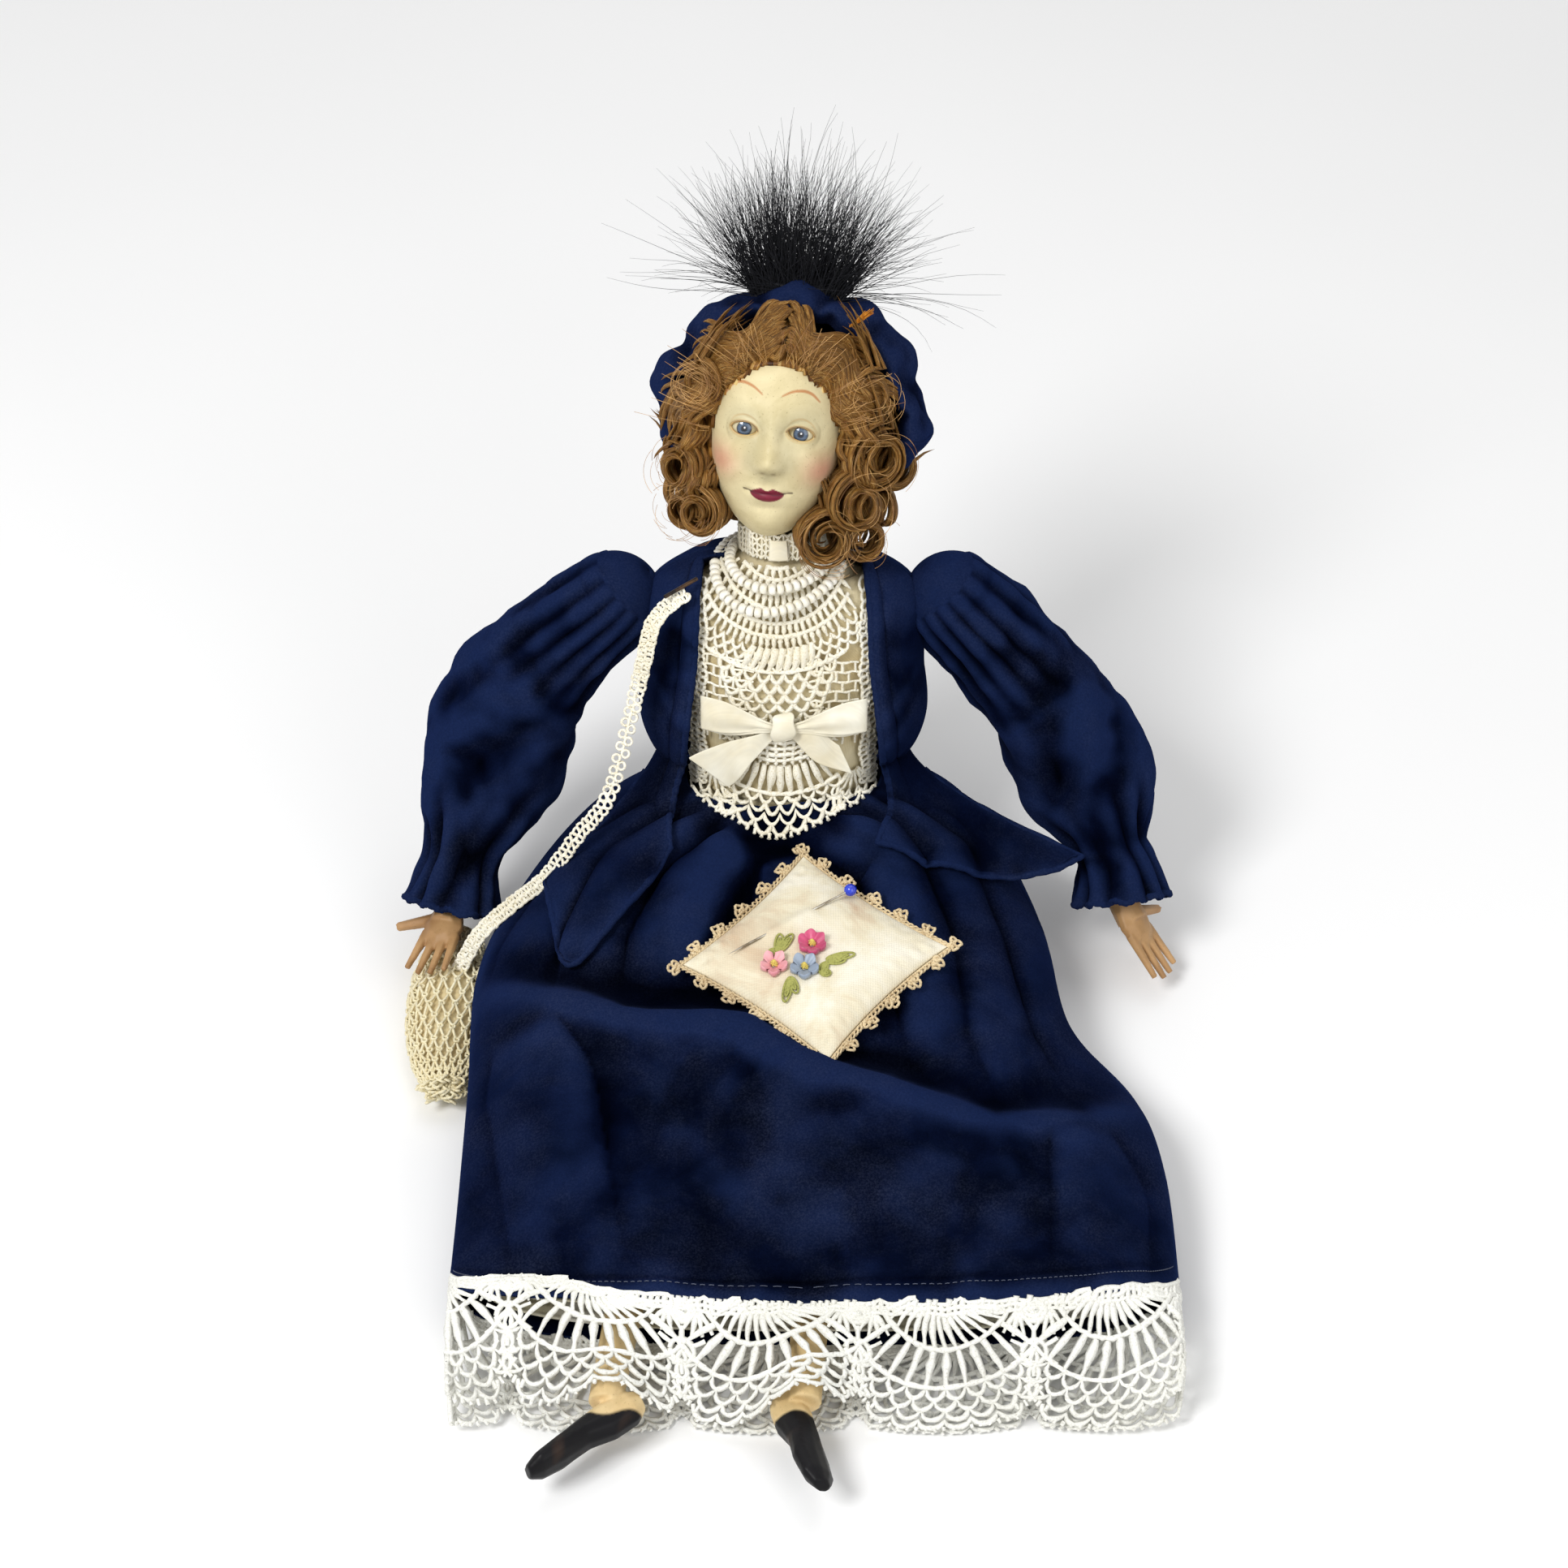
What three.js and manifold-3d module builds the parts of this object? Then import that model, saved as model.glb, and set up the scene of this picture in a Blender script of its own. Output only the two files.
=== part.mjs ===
// A seated china doll: porcelain head, hands and lower legs on a stuffed cloth body, in velvet and crochet.
// Millimetres, +Z up, +X to the doll's left, and she faces -Y. The origin is under her seat.
import * as THREE from "three";
import { mergeVertices } from "three/addons/utils/BufferGeometryUtils.js";
import Module from "manifold-3d";

const wasm = await Module();
wasm.setup();

// Fits and cloth weights
const GAP = 0.4;
const MUSLIN = 0.8;
const VELVET = 1.5;
const LACE = 1.1;

// Body
const LEAN = 15;
const HIP = [0, 12, 28];
const WAIST_S = 27;
const SHOULDER_S = 88;
const HIP_HALF_WIDTH = 37;
const WAIST_HALF_WIDTH = 27.5;
const BUST_HALF_WIDTH = 35;
const SHOULDER_HALF_WIDTH = 37.5;
const HIP_HALF_DEPTH = 27.5;
const WAIST_HALF_DEPTH = 19.5;
const BUST_HALF_DEPTH = 22.5;
const TORSO_BOTTOM_S = -25;
const TORSO_TOP_S = 105;
const NECK_RADIUS = 8;
const NECK_FLANGE = 2;
const NECK_STUB_HEIGHT = 5;
const NECK_STUB_WALL = 1.4;
const NECK_TOP_BELOW_EYES = 27;

// Head, chin to crown 62.5
const CROWN_HEIGHT = 28;
const CHIN_DROP = 36.5;
const HEAD_HALF_WIDTH = 21.5;
const FACE_DEPTH = 24;
const NAPE_DEPTH = 27;
const HEAD_FORWARD = 4.5;
const HEAD_SIDE = -1.5;
const EYES_S = 152;
const EYE_SPREAD = 8.7;
const EYE_RADIUS = 5.2;
const HEAD_NOD = 7;
const HEAD_TILT = 4.5;
const HEAD_TURN = 5;

// Hair, hat and plume
const WIG_DEPTH = 5.6;
const WIG_OVER_CROWN = 1.6;
const WIG_FLOOR_S = 108.2;
const HAT_RADIUS = 42;
const HAT_OPENING = 34;
const HAT_GATHERS = 11;
const HAT_GATHER_DEPTH = 0.9;
const HAT_LOW_DRAW = 0.24;
const HAT_LOW_SET = 26;
const TUFT_LENGTH = 10;
const PLUME_STRANDS = 30;
const PLUME_LENGTH = 52;
const PLUME_ROOT = 6;

// Blouse, jewellery and bow
const BLOUSE_EASE = 1.4;
const LACE_EASE = 3.1;
const COLLAR_RADIUS = 13.3;
const COLLAR_FOOT_S = 107.2;
const COLLAR_HEIGHT = 9;
const BEAD_RADIUS = 1.3;
const STRAND_STEPS = 24;
const STRAND_DROP = 5;
const UPPER_STRAND_S = 98;
const LOWER_STRAND_S = 92;
const NAPE_STRAND_S = 102;
const BOW_S = 56;
const BOW_SPAN = 25;
const RIBBON_WIDTH = 11;

// Jacket
const JACKET_EASE = 6;
const JACKET_TOP_S = 98.5;
const JACKET_BACK_FOOT_S = 27;
const FRONT_EDGE_X = 29;
const ARMHOLE_RADIUS = 16.1;

// Arms
const SHOULDER_X = 54;
const SHOULDER_BACK = 1;
const SLEEVE_CAP = 14.9;
const SLEEVE_ROOT = 9;
const UPPER_ARM_RADIUS = 8.5;
const FOREARM_RADIUS = 5.4;
const WRIST_RADIUS = 4.6;
const SOCKET_DEPTH = 8;
const TIE_RADIUS = 0.7;
const TIE_EASE = 0.8;
const PALM_WIDTH = 14;
const FINGER_RADIUS = 1.9;
const HAND_LENGTH = 30;

// Skirt and legs
const SKIRT_HINGE_RADIUS = 42;
const PELVIS_CLEARANCE = 34;
const SEAT_FRONT = -6;
const PETTICOAT_DROP = 4.4;
const PETTICOAT_INSET = 8;
const PETTICOAT_START = 0.6;
const PETTICOAT_END = 0.985;
const LACE_GAPS_AROUND = 28;
const LACE_ROWS = 3;
const LACE_BAR = 0.24;
const HEM_SCALLOPS = 9;
const SCALLOP_DEPTH = 4;
const LACE_FOOT_Y = -207;
const THIGH_RADIUS = 12.5;
const KNEE_RADIUS = 10.5;
const SHIN_TOP_RADIUS = 7;
const CALF_RADIUS = 7.7;
const ANKLE_RADIUS = 5;
const FOOT_LENGTH = 40;
const FOOT_POINTS = { right: 47, left: 30 };

// Pincushion and bag
const CUSHION_HALF = 29;
const CUSHION_CROWN = 6.2;
const CUSHION_CENTRE = [10, -64, 50];
const CUSHION_SLOPE = 7;
const CUSHION_TURN = -40;
const PETAL_THICKNESS = 1.1;
const LEAF_RADIUS = 0.9;
const PIN_RADIUS = 0.35;
const PIN_HEAD_RADIUS = 2;
const PIN_LENGTH = 46;
const PIN_FIT = 0.3;
const BAG_CENTRE = [-107, -44, 7.4];
const BAG_HALF = [13, 37, 7.6];
const SKIRT_RIGHT_REACH = 98.8;

const RAD = Math.PI / 180;
const TURN = 2 * Math.PI;
const UP = new THREE.Vector3(0, 0, 1);

// Small maths
const vec = (p) => new THREE.Vector3(...p);
const mix = (a, b, f) => a.map((x, k) => x + (b[k] - x) * f);
const clamp = (x, low, high) => Math.min(Math.max(x, low), high);
const smooth = (x) => x * x * (3 - 2 * x);
const bump = (x, width) => Math.exp(-(x * x) / (width * width));

// A smooth line through points, at t from 0 to 1.
function spline(points, t) {
  const last = points.length - 1;
  const x = clamp(t, 0, 1) * last;
  const i = Math.min(Math.floor(x), last - 1);
  const f = x - i;
  const a = points[Math.max(i - 1, 0)];
  const b = points[i];
  const c = points[i + 1];
  const d = points[Math.min(i + 2, last)];
  return b.map((p, k) => {
    const slope = c[k] - a[k];
    const bend = 2 * a[k] - 5 * p + 4 * c[k] - d[k];
    const twist = 3 * p - a[k] - 3 * c[k] + d[k];
    return p + 0.5 * (slope * f + bend * f * f + twist * f * f * f);
  });
}

// Solids in and out of the boolean library
function solid(geometry) {
  const bare = geometry.index ? geometry.toNonIndexed() : geometry.clone();
  const clean = new THREE.BufferGeometry().setAttribute("position", bare.getAttribute("position"));
  const merged = mergeVertices(clean, 1e-4);
  return new wasm.Manifold(
    new wasm.Mesh({
      numProp: 3,
      vertProperties: merged.attributes.position.array,
      triVerts: new Uint32Array(merged.index.array),
    }),
  );
}

function geometryOf(body) {
  const mesh = body.getMesh();
  return new THREE.BufferGeometry()
    .setAttribute("position", new THREE.BufferAttribute(new Float32Array(mesh.vertProperties), 3))
    .setIndex(new THREE.BufferAttribute(new Uint32Array(mesh.triVerts), 1));
}

const moved = (geometry, matrix) => solid(geometry.clone().applyMatrix4(matrix));
const join = (bodies) => bodies.reduce((all, one) => all.add(one));

function ellipsoid(centre, halves, around = 14, up = 10) {
  const ball = new THREE.SphereGeometry(1, around, up);
  return ball.scale(...halves).translate(...centre);
}

function rod(from, to, radius, sides = 8, endRadius = radius) {
  const along = vec(to).sub(vec(from));
  const bar = new THREE.CylinderGeometry(endRadius, radius, along.length(), sides);
  bar.rotateX(90 * RAD);
  bar.applyQuaternion(new THREE.Quaternion().setFromUnitVectors(UP, along.clone().normalize()));
  return bar.translate(...mix(from, to, 0.5));
}

function ring(centre, axis, radius, thickness, around = 14, sides = 4) {
  const torus = new THREE.TorusGeometry(radius, thickness, sides, around);
  torus.applyQuaternion(new THREE.Quaternion().setFromUnitVectors(UP, vec(axis).normalize()));
  return torus.translate(...centre);
}

// A closed body from rings of points, each ring the same length, with its two ends capped.
function loft(rings, closed = false) {
  const sides = rings[0].length;
  const points = rings.flat();
  const faces = [];
  const spans = closed ? rings.length : rings.length - 1;
  for (let j = 0; j < spans; j++) {
    for (let i = 0; i < sides; i++) {
      const a = j * sides + i;
      const b = j * sides + ((i + 1) % sides);
      const c = ((j + 1) % rings.length) * sides + ((i + 1) % sides);
      const d = ((j + 1) % rings.length) * sides + i;
      faces.push(a, b, c, a, c, d);
    }
  }
  if (!closed) {
    for (const [row, flip] of [[0, true], [rings.length - 1, false]]) {
      const hub = points.length;
      points.push(rings[row].reduce((sum, p) => sum.map((x, k) => x + p[k] / sides), [0, 0, 0]));
      for (let i = 0; i < sides; i++) {
        const a = row * sides + i;
        const b = row * sides + ((i + 1) % sides);
        faces.push(...(flip ? [b, a, hub] : [a, b, hub]));
      }
    }
  }
  return surfaceOf(points, faces);
}

function surfaceOf(points, faces) {
  return new THREE.BufferGeometry()
    .setAttribute("position", new THREE.Float32BufferAttribute(points.flat(), 3))
    .setIndex(faces);
}

// Rings round a path: radius(t) gives [across, deep], and `side` is the way to a ring's first point.
function tube(path, radius, sides, steps, side = [0, 1, 0]) {
  const rings = [];
  for (let j = 0; j <= steps; j++) {
    const t = j / steps;
    const along = tangentOf(path, t);
    const deep = along.clone().cross(vec(side)).normalize();
    const across = deep.clone().cross(along).normalize();
    const [a, b] = radius(t);
    const centre = vec(path(t));
    rings.push(
      Array.from({ length: sides }, (_, i) => {
        const angle = (TURN * i) / sides;
        return centre
          .clone()
          .addScaledVector(across, a * Math.cos(angle))
          .addScaledVector(deep, b * Math.sin(angle))
          .toArray();
      }),
    );
  }
  return rings;
}

function tangentOf(path, t, step = 0.01) {
  return vec(path(clamp(t + step, 0, 1))).sub(vec(path(clamp(t - step, 0, 1)))).normalize();
}

// Cloth: a surface of (u, v), each from 0 to 1, made `thick` behind its face as one closed body.
// `loop` joins its sides, `point` closes its last row, and `gaps(i, j)` says which cells are open.
function cloth(surface, columns, rows, thick, { loop = false, point = false, gaps = null } = {}) {
  const wide = loop ? columns : columns + 1;
  const layers = point ? rows : rows + 1;
  const faceAt = (u, v) => vec(surface(loop ? (u + 1) % 1 : u, v));
  const normalAt = (u, v) => {
    const e = 1e-3;
    const [u0, u1] = loop ? [u - e, u + e] : [Math.max(u - e, 0), Math.min(u + e, 1)];
    const [v0, v1] = [Math.max(v - e, 0), Math.min(v + e, 1)];
    const across = faceAt(u1, v).sub(faceAt(u0, v));
    const along = faceAt(u, v1).sub(faceAt(u, v0));
    return across.cross(along).normalize();
  };
  const outer = [];
  const inner = [];
  for (let j = 0; j < layers; j++) {
    for (let i = 0; i < wide; i++) {
      const p = faceAt(i / columns, j / rows);
      outer.push(p.toArray());
      inner.push(p.clone().addScaledVector(normalAt(i / columns, j / rows), -thick).toArray());
    }
  }
  const points = [...outer, ...inner];
  const below = outer.length;
  const faces = [];
  const at = (i, j) => j * wide + (i % wide);
  const wall = (a, b) => faces.push(a, a + below, b + below, a, b + below, b);
  for (let j = 0; j < layers - 1; j++) {
    for (let i = 0; i < columns; i++) {
      const cell = [at(i, j), at(i + 1, j), at(i + 1, j + 1), at(i, j + 1)];
      if (gaps && gaps(i, j)) openCell(points, faces, cell, below);
      else {
        const [a, b, c, d] = cell;
        faces.push(a, b, c, a, c, d);
        faces.push(a + below, c + below, b + below, a + below, d + below, c + below);
      }
    }
  }
  for (let i = 0; i < columns; i++) {
    wall(at(i, 0), at(i + 1, 0));
    if (!point) wall(at(i + 1, layers - 1), at(i, layers - 1));
  }
  if (!loop) {
    for (let j = 0; j < layers - 1; j++) {
      wall(at(0, j + 1), at(0, j));
      wall(at(columns, j), at(columns, j + 1));
    }
  }
  if (point) {
    const tip = faceAt(0.5, 1);
    const rim = outer.slice(-wide).reduce((sum, p) => sum.add(vec(p)), new THREE.Vector3());
    const inward = faceAt(0.5, 1 - 1 / rows).sub(tip).length();
    const middle = rim.divideScalar(wide);
    const axis = middle.clone().sub(tip).normalize();
    points.push(tip.toArray());
    points.push(tip.addScaledVector(axis, Math.min(thick, inward)).toArray());
    const hub = points.length - 2;
    for (let i = 0; i < columns; i++) {
      const a = at(i, layers - 1);
      const b = at(i + 1, layers - 1);
      faces.push(a, b, hub, b + below, a + below, hub + 1);
    }
  }
  return surfaceOf(points, faces);
}

// One cell of lace: a square gap through both faces, framed by bars.
function openCell(points, faces, cell, below) {
  const start = points.length;
  const middle = (layer) =>
    [0, 1, 2].map((k) => cell.reduce((sum, n) => sum + points[n + layer][k] / 4, 0));
  for (const layer of [0, below]) {
    const centre = middle(layer);
    for (const n of cell) points.push(mix(points[n + layer], centre, 2 * LACE_BAR));
  }
  for (let k = 0; k < 4; k++) {
    const next = (k + 1) % 4;
    const [a, b] = [cell[k], cell[next]];
    const [c, d] = [start + next, start + k];
    faces.push(a, b, c, a, c, d);
    faces.push(a + below, c + 4, b + below, a + below, d + 4, c + 4);
    faces.push(d, c, c + 4, d, c + 4, d + 4);
  }
}

// The scene
const doll = new THREE.Group();
const upperBody = new THREE.Group();
upperBody.position.set(...HIP);
upperBody.rotation.x = -LEAN * RAD;
const headGroup = new THREE.Group();
headGroup.position.set(HEAD_SIDE, -HEAD_FORWARD, EYES_S);
headGroup.rotation.set(-HEAD_NOD * RAD, HEAD_TILT * RAD, -HEAD_TURN * RAD, "ZXY");
upperBody.add(headGroup);
doll.add(upperBody);
doll.updateMatrixWorld(true);
const headToTorso = headGroup.matrix.clone();
const torsoToHead = headToTorso.clone().invert();
const torsoToWorld = upperBody.matrixWorld.clone();
const worldToTorso = torsoToWorld.clone().invert();
const inWorld = (p) => vec(p).applyMatrix4(torsoToWorld).toArray();

const FINISH = {
  porcelain: { color: 0xddd2a8, roughness: 0.45 },
  handPorcelain: { color: 0xa98552, roughness: 0.5 },
  legPorcelain: { color: 0xcdb57c, roughness: 0.5 },
  eye: { color: 0x5f7890, roughness: 0.1 },
  muslin: { color: 0xd9cfae, roughness: 0.95 },
  cord: { color: 0xb9ad8a, roughness: 0.9 },
  hair: { color: 0x8f5a24, roughness: 0.55 },
  velvet: { color: 0x15264f, roughness: 0.95 },
  feather: { color: 0x101116, roughness: 0.8 },
  tuft: { color: 0xb9761c, roughness: 0.7 },
  lace: { color: 0xe9e2c8, roughness: 0.9 },
  hemLace: { color: 0xf1eee2, roughness: 0.9 },
  satin: { color: 0xf0e8cf, roughness: 0.4 },
  bead: { color: 0xf0e6c8, roughness: 0.25 },
  cushion: { color: 0xe2d8c0, roughness: 0.95 },
  edging: { color: 0xcbbd93, roughness: 0.9 },
  rose: { color: 0xb8486a, roughness: 0.5 },
  pink: { color: 0xd9929a, roughness: 0.5 },
  blue: { color: 0x8497a4, roughness: 0.5 },
  green: { color: 0x8c8a4c, roughness: 0.6 },
  steel: { color: 0x9a978c, roughness: 0.3, metalness: 1 },
  pinBlue: { color: 0x1030c0, roughness: 0.2 },
};

function piece(name, geometry, finish, group = doll) {
  const flat = geometry.index ? geometry.toNonIndexed() : geometry;
  flat.computeVertexNormals();
  const mesh = new THREE.Mesh(flat, new THREE.MeshStandardMaterial(FINISH[finish]));
  mesh.name = name;
  group.add(mesh);
  return mesh;
}

// Torso: half width and half depth of the stuffed body at even heights from seat to neck.
const TORSO_ROWS = [
  [0.6 * HIP_HALF_WIDTH, 0.6 * HIP_HALF_DEPTH],
  [0.93 * HIP_HALF_WIDTH, 0.9 * HIP_HALF_DEPTH],
  [HIP_HALF_WIDTH, HIP_HALF_DEPTH],
  [0.89 * HIP_HALF_WIDTH, 0.88 * HIP_HALF_DEPTH],
  [WAIST_HALF_WIDTH, WAIST_HALF_DEPTH],
  [1.02 * WAIST_HALF_WIDTH, 1.02 * WAIST_HALF_DEPTH],
  [0.92 * BUST_HALF_WIDTH, 0.96 * BUST_HALF_DEPTH],
  [BUST_HALF_WIDTH, BUST_HALF_DEPTH],
  [SHOULDER_HALF_WIDTH, 0.92 * BUST_HALF_DEPTH],
  [0.96 * SHOULDER_HALF_WIDTH, 0.8 * BUST_HALF_DEPTH],
  [15, 12],
];

const torsoHalves = (s) =>
  spline(TORSO_ROWS, (s - TORSO_BOTTOM_S) / (TORSO_TOP_S - TORSO_BOTTOM_S));

function torsoSkin(angle, s) {
  const [a, b] = torsoHalves(s);
  return new THREE.Vector3(a * Math.cos(angle), b * Math.sin(angle), s);
}

// A point of the torso's surface, moved out square to it by `ease`.
function torsoPoint(angle, s, ease) {
  const e = 0.01;
  const around = torsoSkin(angle + e, s).sub(torsoSkin(angle - e, s));
  const up = torsoSkin(angle, s + e).sub(torsoSkin(angle, s - e));
  return torsoSkin(angle, s).addScaledVector(around.cross(up).normalize(), ease).toArray();
}

// Every layer of clothes has its rows at these heights and its columns at the same angles.
const TORSO_SIDES = 20;
const TORSO_LEVELS = [-25, -12, 1, 14, 27, 40, 53, 66, 79, 92, 98.5, 105];
const levelsBetween = (foot, top) => TORSO_LEVELS.filter((s) => s >= foot && s <= top);
const circle = (radius, s, sides = TORSO_SIDES) =>
  Array.from({ length: sides }, (_, i) => {
    const angle = (TURN * i) / sides;
    return [radius * Math.cos(angle), radius * Math.sin(angle), s];
  });
const torsoRings = TORSO_LEVELS.map((s) =>
  Array.from({ length: TORSO_SIDES }, (_, i) => torsoSkin((TURN * i) / TORSO_SIDES, s).toArray()),
);
const stubRadius = NECK_RADIUS + GAP + NECK_STUB_WALL;
torsoRings.push(circle(stubRadius, TORSO_TOP_S + 1.5), circle(stubRadius, TORSO_TOP_S + NECK_STUB_HEIGHT));

// Flange neck: a rim under the neck, held inside the gathered cloth, lets the head turn.
const flangeTop = TORSO_TOP_S - 4;
const flangeFoot = flangeTop - 5;
function neckSolid(ease, topS) {
  const narrow = NECK_RADIUS + ease;
  const wide = NECK_RADIUS + NECK_FLANGE + ease;
  const profile = [
    [0, flangeFoot - ease],
    [wide, flangeFoot - ease],
    [wide, flangeTop + ease],
    [narrow, flangeTop + ease],
    [narrow, topS],
    [0, topS],
  ];
  const turned = new THREE.LatheGeometry(profile.map(([r, s]) => new THREE.Vector2(r, s)), 14);
  return turned.rotateX(90 * RAD);
}
const seatPlane = new THREE.BoxGeometry(300, 300, 60).translate(0, 0, -30 + VELVET + 3 * GAP);
const seatCut = moved(seatPlane, worldToTorso);
const torso = solid(loft(torsoRings))
  .subtract(solid(neckSolid(GAP, TORSO_TOP_S + 30)))
  .subtract(seatCut);
piece("body", geometryOf(torso), "muslin", upperBody);
const tieS = TORSO_TOP_S + 3;
const tieRing = ring([0, 0, tieS], [0, 0, 1], stubRadius + GAP + TIE_RADIUS, TIE_RADIUS, 16);
piece("neck_tie", tieRing, "cord", upperBody);

// Head: an egg with a modelled face. `ease` swells it, for what has to clear it.
const FACE_FEATURES = [
  { size: 1.6, at: [0, -1], spread: [2.8, 7] },
  { size: 4.2, at: [0, -9.5], spread: [3.3, 3.6] },
  { size: 1.2, at: [3, -11], spread: [2, 2] },
  { size: -2, at: [EYE_SPREAD, 0], spread: [5.5, 4.2] },
  { size: 0.8, at: [8, 9], spread: [7, 3.5] },
  { size: 1.4, at: [13, -12], spread: [6, 6] },
  { size: 1.3, at: [0, -19], spread: [7, 4.5] },
  { size: 0.9, at: [0, -21.3], spread: [3.6, 1.5] },
  { size: 2.2, at: [0, -29.5], spread: [6, 4.5] },
];

function headPoint(around, down, ease) {
  const dx = Math.sin(down) * Math.cos(around);
  const dy = Math.sin(down) * Math.sin(around);
  const dz = Math.cos(down);
  const low = Math.max(0, -dz);
  const x = (HEAD_HALF_WIDTH + ease) * dx * (1 - 0.06 * low ** 2);
  const z = ((dz > 0 ? CROWN_HEIGHT : CHIN_DROP) + ease) * dz;
  let y = ((dy < 0 ? FACE_DEPTH : NAPE_DEPTH) + ease) * dy;
  if (dy > 0) y *= 1 - 0.35 * low ** 1.5;
  const front = Math.max(0, -dy) ** 0.5;
  for (const { size, at, spread } of FACE_FEATURES) {
    const sides = at[0] ? [at[0], -at[0]] : [0];
    for (const side of sides) {
      y -= front * size * bump(x - side, spread[0]) * bump(z - at[1], spread[1]);
    }
  }
  return [x, y, z];
}

const HEAD_AROUND = 20;
const HEAD_DOWN = 16;
function headSolid(ease, columns = HEAD_AROUND, rows = HEAD_DOWN, faceFocus = 0.38) {
  const rings = [];
  for (let j = 1; j < rows; j++) {
    const down = Math.PI * (1 - j / rows);
    rings.push(
      Array.from({ length: columns }, (_, i) => {
        const w = (2 * i) / columns - 1;
        const fine = w * (1 - faceFocus + faceFocus * w * w);
        return headPoint(-Math.PI / 2 + Math.PI * fine, down, ease);
      }),
    );
  }
  return solid(loft(rings));
}

const eyeCentre = (side) => [side * EYE_SPREAD, -FACE_DEPTH + EYE_RADIUS + 3.2, -0.3];
const eyeSocket = (side) => solid(ellipsoid(eyeCentre(side), Array(3).fill(EYE_RADIUS + GAP)));
const neckInHead = moved(neckSolid(0, EYES_S - NECK_TOP_BELOW_EYES), torsoToHead);
const head = headSolid(0).add(neckInHead).subtract(eyeSocket(1)).subtract(eyeSocket(-1));
piece("head", geometryOf(head), "porcelain", headGroup);
for (const [name, side] of [["eye_right", -1], ["eye_left", 1]]) {
  piece(name, ellipsoid(eyeCentre(side), Array(3).fill(EYE_RADIUS), 8, 5), "eye", headGroup);
}

// Wig: a cap with rolled curls round the face and nape, each with a centre, a roll radius and a thickness.
const CURLS = [
  [-22.5, -10, 11, 4.2, 3.2],
  [-29, -6, -4, 4.8, 4],
  [-27.5, -6, -17, 5, 4],
  [-21.5, -7, -28, 4.6, 4],
  [-15.5, -5, -37, 4.6, 4],
  [-23.5, 4, -37, 5, 4],
  [-14.5, -13.5, 22.5, 4.6, 3.6],
  [-4, -14.5, 27.5, 4.8, 3.6],
  [7, -14.5, 29, 4.8, 3.6],
  [17.5, -12, 25, 5.2, 3.8],
  [28, -5, 11, 6, 4.2],
  [33.5, -5, -6.5, 6.2, 4.4],
  [28.5, -7, -21.5, 5.4, 4.2],
  [22, -8, -33, 5.8, 4.2],
  [31.5, 1, -36.5, 5.6, 4.4],
  [-12, 24, -30, 7, 5],
  [12, 24, -30, 7, 5],
];

function curl([x, y, z, roll, thick], ease) {
  const outward = [x * 0.35, y < 8 ? -20 : y, 0];
  return solid(ring([x, y, z], outward, roll, thick + ease, 6, 4));
}

function wigShape(ease) {
  const cap = ellipsoid([0, 1.5, -3], [
    HEAD_HALF_WIDTH + 3.6 + ease,
    NAPE_DEPTH + WIG_DEPTH - 1.5 + ease,
    CROWN_HEIGHT + 3 + WIG_OVER_CROWN + ease,
  ], 14, 8);
  return join([solid(cap), ...CURLS.map((c) => curl(c, ease))]);
}

const faceWindow = solid(
  rod([0, -60, 0], [0, -3.5, 0], 1, 16).scale(HEAD_HALF_WIDTH - 1.2, 1, 28.5).translate(0.5, 0, -9),
);
const coarseHead = (ease) => headSolid(ease, 16, 10, 0);
const shoulderRoom = new THREE.CylinderGeometry(60, 60, 80, 24).rotateX(90 * RAD);
shoulderRoom.translate(0, 0, WIG_FLOOR_S - 40);
const collarRoom = rod([0, 0, 60], [0, 0, 127], COLLAR_RADIUS + 1.6, 20);
const wig = wigShape(0)
  .subtract(coarseHead(4 * GAP))
  .subtract(faceWindow)
  .subtract(moved(shoulderRoom, torsoToHead))
  .subtract(moved(collarRoom, torsoToHead));
piece("wig", geometryOf(largest(wig)), "hair", headGroup);

// Hat: a soft gathered beret worn like a halo on the back of the head.
const hatCentre = [3.5, -3.5];
const hatBack = NAPE_DEPTH + WIG_DEPTH + GAP + VELVET;
const HAT_PROFILE = [
  [HAT_OPENING, 3],
  [HAT_OPENING + 4, 0.4],
  [HAT_RADIUS - 1, 5],
  [HAT_RADIUS, 13],
  [HAT_RADIUS - 3, 22],
  [0.76 * HAT_RADIUS, 29.5],
  [0.4 * HAT_RADIUS, hatBack - 0.7],
  [0, hatBack],
];

function hatPoint(u, v) {
  const [r, y] = spline(HAT_PROFILE, v);
  const puff = HAT_GATHER_DEPTH * Math.cos(HAT_GATHERS * TURN * u) * Math.sin(Math.PI * v);
  const angle = -TURN * u;
  const low = Math.max(0, -Math.sin(angle));
  const radius = r > 1 ? (r + puff) * (1 - HAT_LOW_DRAW * low) : r;
  const set = y + HAT_LOW_SET * low * (1 - y / hatBack);
  return [hatCentre[0] + radius * Math.cos(angle), set, hatCentre[1] + radius * Math.sin(angle)];
}

const hatShell = cloth(hatPoint, 2 * HAT_GATHERS, 8, VELVET, { loop: true, point: true });
const hat = largest(solid(hatShell).subtract(wigShape(GAP)).subtract(coarseHead(4 * GAP)));
piece("hat", geometryOf(hat), "velvet", headGroup);

// The biggest of the bodies that a cut leaves.
function largest(body) {
  return body.decompose().reduce((best, one) => (one.volume() > best.volume() ? one : best));
}

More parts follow.
